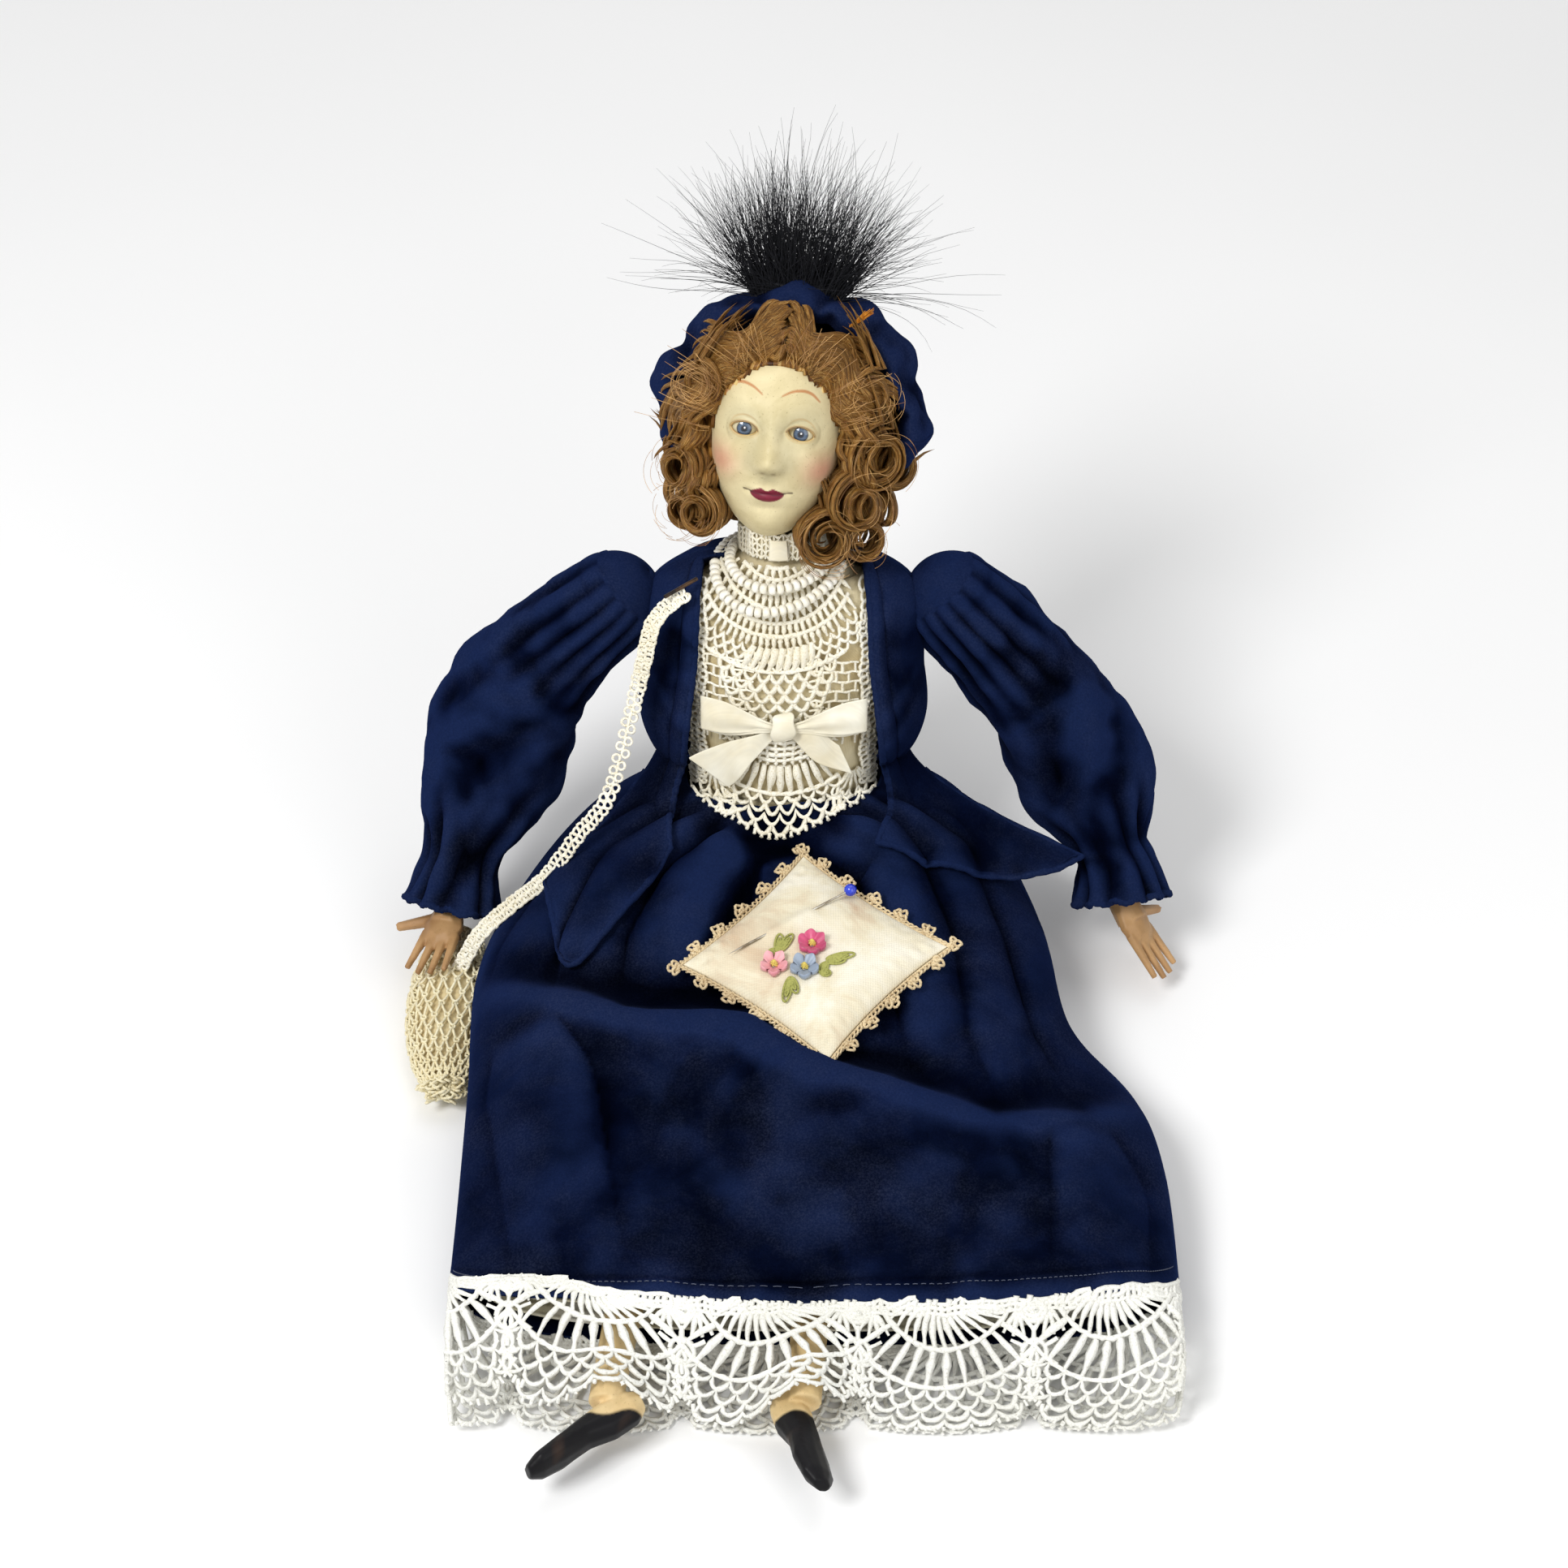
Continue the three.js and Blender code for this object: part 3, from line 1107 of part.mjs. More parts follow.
const padTop = (x, y) => cushionHeight(x, y) + GAP;
function flower(x, y, petals, petalSize) {
  const z = padTop(x, y) + PETAL_THICKNESS;
  const shape = [solid(ellipsoid([x, y, z + 0.4], [1.6, 1.6, PETAL_THICKNESS], 5, 3))];
  for (let k = 0; k < petals; k++) {
    const angle = (TURN * k) / petals;
    const [px, py] = [x + 2.4 * Math.cos(angle), y + 2.4 * Math.sin(angle)];
    shape.push(solid(ellipsoid([px, py, z], [petalSize, petalSize, PETAL_THICKNESS], 5, 3)));
  }
  return join(shape);
}
function leaves(stitches) {
  const shape = stitches.map(([x, y, angle, length]) => {
    const [dx, dy] = [Math.cos(angle * RAD) * length, Math.sin(angle * RAD) * length];
    const far = [x + dx, y + dy, padTop(x + dx, y + dy) + LEAF_RADIUS];
    return solid(rod([x, y, padTop(x, y) + LEAF_RADIUS], far, LEAF_RADIUS, 4, 0.6 * LEAF_RADIUS));
  });
  return join(shape);
}
const flowers = [
  ["flower_rose", [-0.1, -1.6], 5, 2, "rose"],
  ["flower_pink", [-4.1, -15.1], 5, 1.8, "pink"],
  ["flower_blue", [4, -10.2], 5, 1.9, "blue"],
];
for (const [name, [x, y], petals, size, finish] of flowers) {
  piece(name, onCushion(geometryOf(flower(x, y, petals, size))), finish);
}
const sprigs = {
  leaves_upper: [[-6.6, -10.4, 123, 6.8], [-6.1, -9.9, 101, 7.8], [-8.8, -12, 32, 3.4]],
  leaves_side: [[7, -3.2, 55, 9], [7.6, -4, 49, 6], [7.8, -4.2, -75, 4.4], [8.8, -8.4, 40, 3.2]],
  leaves_lower: [[2.9, -15.6, -62, 8.6], [2.9, -15.6, -32, 6]],
};
for (const [name, stitches] of Object.entries(sprigs)) {
  piece(name, onCushion(geometryOf(leaves(stitches))), "green");
}

const ballPin = solid(rod(BALL_PIN.head, alongPin(PIN_LENGTH), PIN_RADIUS, 6, 0.1));
const pinHead = solid(ellipsoid(BALL_PIN.head, Array(3).fill(PIN_HEAD_RADIUS), 7, 5));
const pinSeat = solid(rod(alongPin(-2 * PIN_HEAD_RADIUS), alongPin(PIN_LENGTH), PIN_RADIUS + PIN_FIT, 6));
piece("pin_shaft", onCushion(geometryOf(ballPin)), "steel");
piece("pin_head", onCushion(geometryOf(pinHead.subtract(pinSeat))), "pinBlue");

// Bag: a small crocheted pouch by the doll's right hip, with its strap over her shoulder.
const bagShape = solid(ellipsoid(BAG_CENTRE, BAG_HALF, 12, 8));
const aboveSeat = solid(new THREE.BoxGeometry(400, 400, 100).translate(0, 0, 50));
const besideSkirt = solid(new THREE.BoxGeometry(200, 400, 100).translate(-100 - SKIRT_RIGHT_REACH, 0, 0));
piece("lace_bag", geometryOf(bagShape.intersect(aboveSeat).intersect(besideSkirt)), "lace");

const STRAP_OVER_LAP = [[-76, -17, 40], [-84, -20, 34], [-92, -23, 29], [-98.5, -27, 24]];
const STRAP_ROUTE = [
  inWorld([-31, -21, 99]), inWorld([-40, -25, 92]), inWorld([-43.5, -26, 79]), inWorld([-47, -24.5, 64]),
  [-55, -12, 72], [-66, -15, 56],
  ...STRAP_OVER_LAP.map((p) => overLap(p, 4 * GAP + VELVET)),
  [-104.5, -32, 14.9],
];
const strapPath = (t) => spline(STRAP_ROUTE, t);
const strap = loft(tube(strapPath, () => [0.8, 2.2], 4, 20, [0, -0.45, 0.9]));
piece("bag_strap", strap, "lace");
const strapPin = rod(inWorld([-27, -18, 103]), inWorld([-37, -24.6, 99.5]), 0.6, 6);
piece("strap_pin", geometryOf(solid(strapPin).subtract(solid(strap))), "steel");

export default doll;
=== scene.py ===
"""A seated china doll in velvet and crochet, dressed over its fixed frame."""
import random
from math import (
    acos, asin, atan2, copysign, cos, exp, floor, hypot, pi, radians, sin, sqrt,
)

import bmesh
import bpy
import numpy as np
from mathutils import Matrix, Vector, noise
from mathutils.bvhtree import BVHTree


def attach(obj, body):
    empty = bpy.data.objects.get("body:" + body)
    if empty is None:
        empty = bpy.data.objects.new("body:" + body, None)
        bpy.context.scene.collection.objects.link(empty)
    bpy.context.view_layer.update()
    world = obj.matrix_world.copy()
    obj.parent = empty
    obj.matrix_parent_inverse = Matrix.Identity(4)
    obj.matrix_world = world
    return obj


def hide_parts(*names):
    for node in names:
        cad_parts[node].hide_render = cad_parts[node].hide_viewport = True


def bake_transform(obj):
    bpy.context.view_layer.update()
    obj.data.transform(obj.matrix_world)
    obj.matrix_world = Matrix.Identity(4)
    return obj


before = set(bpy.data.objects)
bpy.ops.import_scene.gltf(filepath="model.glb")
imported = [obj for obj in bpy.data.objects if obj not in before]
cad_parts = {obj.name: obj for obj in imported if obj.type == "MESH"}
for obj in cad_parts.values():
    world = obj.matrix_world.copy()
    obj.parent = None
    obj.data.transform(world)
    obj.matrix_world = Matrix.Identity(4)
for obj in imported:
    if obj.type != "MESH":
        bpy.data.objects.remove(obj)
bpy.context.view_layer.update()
bpy.ops.object.select_all(action="DESELECT")

# Sizes in millimetres
MM = 0.001
TURN = 2 * pi
LEAN = 15
HIP = (0, 12, 28)
HEAD_PLACE = (-1.5, -4.5, 152)
HEAD_TURNS = (-7, 4.5, -5)
WAIST_S = 27
LACE_EASE = 3.1
JACKET_EASE = 6
JACKET_TOP_S = 98.5
VELVET, MUSLIN, RIBBON = 1.5, 0.8, 0.3
BOW_S, RIBBON_WIDTH = 56, 11

to_world = Matrix.Translation(HIP) @ Matrix.Rotation(radians(-LEAN), 4, "X")
head_to_world = (
    to_world
    @ Matrix.Translation(HEAD_PLACE)
    @ Matrix.Rotation(radians(HEAD_TURNS[2]), 4, "Z")
    @ Matrix.Rotation(radians(HEAD_TURNS[0]), 4, "X")
    @ Matrix.Rotation(radians(HEAD_TURNS[1]), 4, "Y")
)


# Small maths
def clamp(x, low=0.0, high=1.0):
    return min(max(x, low), high)


def smooth(x):
    x = clamp(x)
    return x * x * (3 - 2 * x)


def bump(x, width):
    return exp(-(x * x) / (width * width))


def mix(a, b, f):
    return [p + (q - p) * f for p, q in zip(a, b)]


def spline(points, t):
    last = len(points) - 1
    x = clamp(t) * last
    i = min(int(x), last - 1)
    f = x - i
    a, b, c, d = points[max(i - 1, 0)], points[i], points[i + 1], points[min(i + 2, last)]
    return [
        q + 0.5 * ((r - p) * f + (2 * p - 5 * q + 4 * r - s) * f * f + (3 * q - p - 3 * r + s) * f ** 3)
        for p, q, r, s in zip(a, b, c, d)
    ]


def shares(count):
    """Even steps from 0 to 1."""
    return [k / count for k in range(count + 1)]


def turns(count):
    """Even angles once round, with the last one on the first."""
    return [TURN * k / count for k in range(count + 1)]


def ruffled(point, size, seed=0.0):
    """Smooth noise from -1 to 1 whose waves are about `size` millimetres long."""
    return noise.noise(Vector(point) / size + Vector((seed, 1.7 * seed, -seed)))


def in_world(point):
    return to_world @ Vector(point)


def in_head(point):
    return head_to_world @ Vector(point)


# Making meshes
def select_only(obj):
    bpy.ops.object.select_all(action="DESELECT")
    obj.select_set(True)
    bpy.context.view_layer.objects.active = obj


def named(name):
    """The mesh that was just added, under its own name."""
    obj = bpy.context.active_object
    obj.name = name
    return obj


def new_piece(name, points, faces):
    """A mesh made from points in millimetres and its faces."""
    mesh = bpy.data.meshes.new(name)
    mesh.from_pydata((np.concatenate(points) * MM).tolist(), [], faces)
    obj = bpy.data.objects.new(name, mesh)
    bpy.context.collection.objects.link(obj)
    return obj


def apply_modifier(obj, kind, **settings):
    select_only(obj)
    modifier = obj.modifiers.new(kind.title(), kind)
    for key, value in settings.items():
        setattr(modifier, key, value)
    bpy.ops.object.modifier_apply(modifier=modifier.name)


def edit_all(obj, step, **settings):
    """One edit-mode step on the whole of a mesh."""
    select_only(obj)
    bpy.ops.object.mode_set(mode="EDIT")
    bpy.ops.mesh.select_all(action="SELECT")
    step(**settings)
    bpy.ops.object.mode_set(mode="OBJECT")


def merge_points(obj, distance=1e-6):
    edit_all(obj, bpy.ops.mesh.remove_doubles, threshold=distance)


def face_outwards(obj):
    edit_all(obj, bpy.ops.mesh.normals_make_consistent, inside=False)


def points_of(obj):
    flat = np.empty(len(obj.data.vertices) * 3)
    obj.data.vertices.foreach_get("co", flat)
    return flat.reshape(-1, 3)


def set_points(obj, points):
    obj.data.vertices.foreach_set("co", np.asarray(points, dtype=float).ravel())
    obj.data.update()


def paint_crease_shade_and_crest_rub(obj, rounds=50, depth=1.3):
    """Stores a value for each point from its height above the smoothed cloth, 0 in creases and 1 on crests,
    for painted crease shade and lighter worn crests.
    """
    mesh = obj.data
    ends = np.empty(len(mesh.edges) * 2, dtype=int)
    mesh.edges.foreach_get("vertices", ends)
    a, b = np.concatenate([ends[::2], ends[1::2]]), np.concatenate([ends[1::2], ends[::2]])
    count = len(mesh.vertices)
    share = np.maximum(np.bincount(a, minlength=count), 1)
    points = points_of(obj) / MM
    level = points.copy()
    for _ in range(rounds):
        level = np.stack([np.bincount(a, level[b, axis], count) / share for axis in range(3)], axis=1)
    out = np.empty(count * 3)
    mesh.vertices.foreach_get("normal", out)
    rise = ((points - level) * out.reshape(-1, 3)).sum(axis=1)
    # This value becomes painted shade in the creases and lighter crests on velvet.
    layer = mesh.attributes.new("wear", "FLOAT", "POINT")
    layer.data.foreach_set("value", np.clip(0.5 + 0.5 * rise / depth, 0, 1))


def finish_piece(obj, material, body, slot, stands_for=()):
    """Smooth shading, one material, and the body that the piece rides on."""
    obj.data.materials.clear()
    obj.data.materials.append(material)
    # Velvet gets the values for its painted crease shade and lighter crests.
    if slot == "velvet":
        paint_crease_shade_and_crest_rub(obj)
    obj.data.polygons.foreach_set("use_smooth", [True] * len(obj.data.polygons))
    if body:
        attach(obj, body)
    if stands_for:
        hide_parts(*stands_for)
    return obj


def cut_cloth(name, surface, columns, rows, thick, loop=False, flat=(1, 1)):
    """Cloth on a surface of (u, v): a grid moved into place, joined where it loops, given its thickness."""
    bpy.ops.mesh.primitive_grid_add(x_subdivisions=columns, y_subdivisions=rows, size=1)
    cloth = named(name)
    corners = points_of(cloth) + 0.5
    set_points(cloth, [Vector(surface(u, v)) * MM for u, v, _ in corners])
    weave = cloth.data.uv_layers.active.data
    weave_points = np.empty(len(weave) * 2)
    weave.foreach_get("uv", weave_points)
    weave.foreach_set("uv", (weave_points.reshape(-1, 2) * np.array(flat) * MM * 10).ravel())
    if loop:
        merge_points(cloth)
    if thick:
        apply_modifier(cloth, "SOLIDIFY", thickness=thick * MM, offset=0)
    return cloth


def wind_yarn(name, strands, radius, closed=False, resolution=0):
    """Yarn laid along lines of points, each a thin round tube."""
    curve = bpy.data.curves.new(name, "CURVE")
    curve.dimensions = "3D"
    curve.bevel_depth = radius * MM
    curve.bevel_resolution = resolution
    curve.use_fill_caps = True
    for points in strands:
        line = curve.splines.new("POLY")
        line.points.add(len(points) - 1)
        line.points.foreach_set("co", [x for p in points for x in (*(Vector(p[:3]) * MM), 1)])
        line.points.foreach_set("radius", [p[3] if len(p) > 3 else 1.0 for p in points])
        line.use_cyclic_u = closed
    yarn = bpy.data.objects.new(name, curve)
    bpy.context.collection.objects.link(yarn)
    select_only(yarn)
    bpy.ops.object.convert(target="MESH")
    return bpy.context.active_object


def copy_of(node, name):
    """A joined copy of a CAD node's mesh, to be refined."""
    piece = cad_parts[node].copy()
    piece.data = piece.data.copy()
    piece.name = name
    piece.parent = None
    piece.matrix_world = Matrix.Identity(4)
    bpy.context.collection.objects.link(piece)
    merge_points(piece, 2e-6)
    return piece


def cut_away(obj, marked):
    """Takes the marked points away, with every face that touches them."""
    edit = bmesh.new()
    edit.from_mesh(obj.data)
    edit.verts.ensure_lookup_table()
    bmesh.ops.delete(edit, geom=[edit.verts[i] for i in np.flatnonzero(marked)], context="VERTS")
    edit.to_mesh(obj.data)
    edit.free()


def remade(node, name, voxel, rounds):
    """A CAD form made again with fine even faces and its facets smoothed away."""
    piece = copy_of(node, name)
    apply_modifier(piece, "REMESH", mode="VOXEL", voxel_size=voxel * MM)
    apply_modifier(piece, "SMOOTH", factor=0.6, iterations=rounds)
    return piece


# Materials
def colour(r, g, b):
    linear = [x / 255 / 12.92 if x <= 10 else ((x / 255 + 0.055) / 1.055) ** 2.4 for x in (r, g, b)]
    return (*linear, 1.0)


class Paint:
    """Coats of colour laid one over the other on an object's points."""

    def __init__(self, obj, ground):
        self.mesh = obj.data
        self.tone = np.tile(np.array(colour(*ground)[:3]), (len(self.mesh.vertices), 1))

    def lay(self, mask, shade):
        self.mix_in(mask, np.array(colour(*shade)[:3]))

    def cover(self, mask, other):
        self.mix_in(mask, other.tone)

    def mix_in(self, mask, tone):
        mask = np.clip(mask, 0, 1)[:, None]
        self.tone = self.tone * (1 - mask) + tone * mask

    def store(self):
        layer = self.mesh.attributes.new("paint", "FLOAT_COLOR", "POINT")
        layer.data.foreach_set("color", np.hstack([self.tone, np.ones((len(self.tone), 1))]).ravel())


class Finish:
    """A material built node by node, with short names for the steps that every finish here shares."""

    def __init__(self, name, space="Object"):
        self.material = bpy.data.materials.new(name)
        self.material.use_nodes = True
        self.nodes = self.material.node_tree.nodes
        self.links = self.material.node_tree.links
        self.surface = self.nodes["Principled BSDF"]
        self.coords = self.nodes.new("ShaderNodeTexCoord").outputs[space]

    def set(self, **values):
        for key, value in values.items():
            self.surface.inputs[key.replace("_", " ")].default_value = value
        return self

    def placed(self, scale, turn=(0, 0, 0)):
        mapping = self.nodes.new("ShaderNodeMapping")
        mapping.inputs["Scale"].default_value = scale if hasattr(scale, "__len__") else (scale,) * 3
        mapping.inputs["Rotation"].default_value = turn
        self.links.new(self.coords, mapping.inputs["Vector"])
        return mapping.outputs["Vector"]

    def noise(self, scale, detail=3, roughness=0.5, distortion=0, stretch=(1, 1, 1)):
        node = self.nodes.new("ShaderNodeTexNoise")
        self.links.new(self.placed(stretch), node.inputs["Vector"])
        node.inputs["Scale"].default_value = scale
        node.inputs["Detail"].default_value = detail
        node.inputs["Roughness"].default_value = roughness
        node.inputs["Distortion"].default_value = distortion
        return node.outputs["Fac"]

    def wave(self, scale, direction="X", distortion=0, turn=(0, 0, 0)):
        node = self.nodes.new("ShaderNodeTexWave")
        node.bands_direction = direction
        self.links.new(self.placed(1, turn), node.inputs["Vector"])
        node.inputs["Scale"].default_value = scale
        node.inputs["Distortion"].default_value = distortion
        return node.outputs["Fac"]

    def ramp(self, value, *stops):
        node = self.nodes.new("ShaderNodeValToRGB")
        while len(node.color_ramp.elements) < len(stops):
            node.color_ramp.elements.new(0.5)
        for element, (place, tone) in zip(node.color_ramp.elements, stops):
            element.position = place
            element.color = tone if hasattr(tone, "__len__") else (tone, tone, tone, 1)
        self.links.new(value, node.inputs["Fac"])
        return node.outputs["Color"]

    def blend(self, factor, a, b, kind="MIX"):
        node = self.nodes.new("ShaderNodeMix")
        node.data_type = "RGBA"
        node.blend_type = kind
        for value, socket in ((factor, node.inputs[0]), (a, node.inputs[6]), (b, node.inputs[7])):
            if isinstance(value, (int, float)) or isinstance(value, tuple):
                socket.default_value = value
            else:
                self.links.new(value, socket)
        return node.outputs[2]

    def maths(self, operation, a, b=0.0):
        node = self.nodes.new("ShaderNodeMath")
        node.operation = operation
        for value, socket in ((a, node.inputs[0]), (b, node.inputs[1])):
            if isinstance(value, (int, float)):
                socket.default_value = value
            else:
                self.links.new(value, socket)
        return node.outputs[0]

    def woven(self, threads, distortion):
        """Threads that cross: the mean of one set each way."""
        warp, weft = (self.maths("MULTIPLY", self.wave(threads, way, distortion), 0.5) for way in "XY")
        return self.maths("ADD", warp, weft)

    def edge_glow(self, amount):
        node = self.nodes.new("ShaderNodeLayerWeight")
        node.inputs["Blend"].default_value = amount
        return node.outputs["Facing"]

    def paint(self, name, output="Color"):
        node = self.nodes.new("ShaderNodeAttribute")
        node.attribute_name = name
        return node.outputs[output]

    def mottle(self, value, low, dark, high, light):
        """Two tones, dark where the value is low and light where it is high."""
        return self.tint(self.ramp(value, (low, dark), (high, light)))

    def tint(self, value):
        self.links.new(value, self.surface.inputs["Base Color"])
        return self

    def rough(self, value, low, high):
        self.links.new(self.ramp(value, (0, low), (1, high)), self.surface.inputs["Roughness"])
        return self

    def relief(self, value, strength, distance=0.0002):
        node = self.nodes.new("ShaderNodeBump")
        node.inputs["Strength"].default_value = strength
        node.inputs["Distance"].default_value = distance
        self.links.new(value, node.inputs["Height"])
        previous = self.surface.inputs["Normal"].links
        if previous:
            self.links.new(previous[0].from_socket, node.inputs["Normal"])
        self.links.new(node.outputs["Normal"], self.surface.inputs["Normal"])
        return self


# Head finishes
def porcelain_finish(name, roughness, shine=0.4):
    """Matte painted porcelain: its paint with faint grey stains, fine specks and a soft unglazed grain."""
    finish = Finish(name)
    stains = finish.ramp(finish.noise(70, 5, 0.62, 0.6), (0.34, colour(196, 188, 158)), (0.62, (1, 1, 1, 1)))
    specks = finish.ramp(finish.noise(1500, 2), (0.28, colour(150, 132, 100)), (0.34, (1, 1, 1, 1)))
    painted = finish.blend(0.42, finish.paint("paint"), stains, "MULTIPLY")
    finish.tint(finish.blend(0.35, painted, specks, "MULTIPLY"))
    finish.rough(finish.noise(160, 4), roughness - 0.07, roughness + 0.1)
    finish.relief(finish.noise(900, 4), 0.16, 0.00012)
    finish.relief(finish.noise(140, 3), 0.1, 0.0004)
    return finish.set(Specular_IOR_Level=shine).material


def hair_finish():
    """Golden auburn hair: strands along each lock, with painted shade darkening the locks in patches and
    painted highlights on the brightest strands.
    """
    finish = Finish("hair", "UV")
    strands = finish.noise(1, 3, 0.6, 0.1, (95, 2.2, 1))
    locks = finish.noise(1, 2, 0.5, 0, (9, 0.8, 1))
    # Strand tones, whose brightest stops are painted highlights.
    strand_tone_and_highlight = finish.ramp(
        strands,
        (0.3, colour(44, 22, 5)),
        (0.44, colour(94, 56, 16)),
        (0.56, colour(170, 120, 50)),
        (0.7, colour(255, 222, 148)),
    )
    # Painted shade: the locks darkened in patches.
    shade = finish.ramp(locks, (0.3, colour(116, 92, 70)), (0.6, (1, 1, 1, 1)))
    finish.tint(finish.blend(0.75, strand_tone_and_highlight, shade, "MULTIPLY"))
    finish.rough(strands, 0.32, 0.52).relief(strands, 0.75, 0.00025)
    return finish.set(Anisotropic=0.6, Specular_IOR_Level=0.22).material


def velvet_finish(name="velvet"):
    """Old navy velvet: short dark pile, a painted royal-blue sheen where it turns away from view, painted
    shade in its creases, crests rubbed lighter that also serve as painted highlight, with dusty grey rubs.
    """
    finish = Finish(name)
    crush = finish.noise(46, 6, 0.66, 0.5)
    pile = finish.noise(1500, 3, 0.75)
    dust = finish.noise(24, 6, 0.7, 0.5)
    # The wear value is 0 in creases and 1 on crests; it drives the painted crease shade and the lighter
    # crests.
    wear = finish.paint("wear", "Fac")
    navy = finish.ramp(crush, (0.3, colour(3, 6, 17)), (0.55, colour(7, 13, 34)), (0.75, colour(12, 21, 48)))
    crest = finish.ramp(wear, (0.5, 0.0), (0.95, 1.0))
    # Crests rubbed lighter: wear, and also a painted highlight on the folds.
    crest_rub_and_highlight = finish.blend(finish.maths("MULTIPLY", crest, 0.6), navy, colour(32, 47, 88))
    dusty = finish.ramp(dust, (0.42, 0.0), (0.72, 1.0))
    flecks = finish.maths("MULTIPLY", dusty, finish.ramp(pile, (0.42, 0.12), (0.66, 0.85)))
    dusted = finish.blend(finish.maths("MULTIPLY", flecks, 0.55), crest_rub_and_highlight, colour(52, 58, 78))
    # Painted sheen: royal blue mixed in where the surface turns away from view.
    painted_edge_sheen = finish.blend(finish.maths("MULTIPLY", finish.edge_glow(0.25), 0.3), dusted, colour(30, 48, 106))
    # Painted shade: the velvet darkened in its creases, from the wear value.
    crease_shade = finish.blend(1.0, painted_edge_sheen, finish.ramp(wear, (0.05, 0.2), (0.3, 0.6), (0.5, 1.0)), "MULTIPLY")
    finish.tint(finish.blend(0.4, crease_shade, finish.ramp(pile, (0.32, 0.3), (0.68, 1.0)), "MULTIPLY"))
    finish.relief(crush, 0.6, 0.0012).relief(pile, 0.55, 0.00025)
    return finish.set(
        Roughness=0.95, Sheen_Weight=0.04, Sheen_Roughness=0.4, Specular_IOR_Level=0.0,
        Sheen_Tint=colour(110, 130, 190),
    ).material


def thread_finish(name, light, dark, scale=520, roughness=0.85):
    """Twisted cotton thread: its ply, a little soil in the hollows and a dull face."""
    finish = Finish(name)
    ply = finish.noise(scale * 3, 3, 0.6)
    soil = finish.noise(45, 4, 0.6)
    twisted = finish.ramp(ply, (0.28, dark), (0.5, light))
    finish.tint(finish.blend(0.3, twisted, finish.ramp(soil, (0.36, dark), (0.6, (1, 1, 1, 1))), "MULTIPLY"))
    finish.rough(ply, roughness - 0.08, roughness + 0.08).relief(ply, 0.5, 0.0002)
    return finish.set(Sheen_Weight=0.1, Specular_IOR_Level=0.25).material


def feather_finish(name, dark, light):
    finish = Finish(name)
    barbs = finish.noise(700, 3)
    finish.mottle(barbs, 0.35, dark, 0.7, light).relief(barbs, 0.4).rough(barbs, 0.5, 0.75)
    return finish.set(Specular_IOR_Level=0.15, Sheen_Weight=0.04).material


# Head: an egg with a modelled face, painted point by point
HEAD_HALF_WIDTH = 21.5
FACE_DEPTH = 24
NAPE_DEPTH = 27
CROWN_HEIGHT = 28
CHIN_DROP = 38
EYE_RADIUS = 5.2
EYES = {"right": (-8.7, -15.6, -0.3), "left": (8.7, -15.6, -0.3)}
EYE_SLOPE = {"right": -3, "left": -9}
LID_THICKNESS = 0.6
LID_RIM_RADIUS = 0.3
EYE_STEPS = 48
EYE_CUT_Y = -17.2
NECK_RADIUS, NECK_LENGTH, NECK_MIDDLE_S = 8, 26, 112
# Each form of the face: how far it stands out, the x and z of its middle, its widths along x and z
FACE_FORMS = [
    (1.6, 0, -1, 2.8, 7),
    (4.3, 0, -9.5, 3.2, 3.6),
    (1.2, 3, -11, 2, 2),
    (-0.9, 0, -13.6, 3.2, 1.3),
    (-0.7, 1.7, -12.9, 0.9, 0.7),
    (-2, 8.7, 0, 5.5, 4.2),
    (-0.8, 3.9, -0.8, 1.4, 2.2),
    (0.8, 8, 9, 7, 3.5),
    (1.4, 13, -12, 6, 6),
    (1.3, 0, -19, 7, 4.5),
    (-0.4, 0, -15.8, 0.9, 1.7),
    (0.6, 1.9, -18.5, 2.2, 0.9),
    (0.95, 0, -21.3, 3.4, 1.25),
    (-0.6, 5.9, -19.6, 1.5, 1.1),
    (-1, 0, -25, 5, 1.6),
    (2.6, 0, -32, 6.5, 5),
]
PARTING_Z = -19.75


def bell(values, width):
    return np.exp(-(values * values) / (width * width))


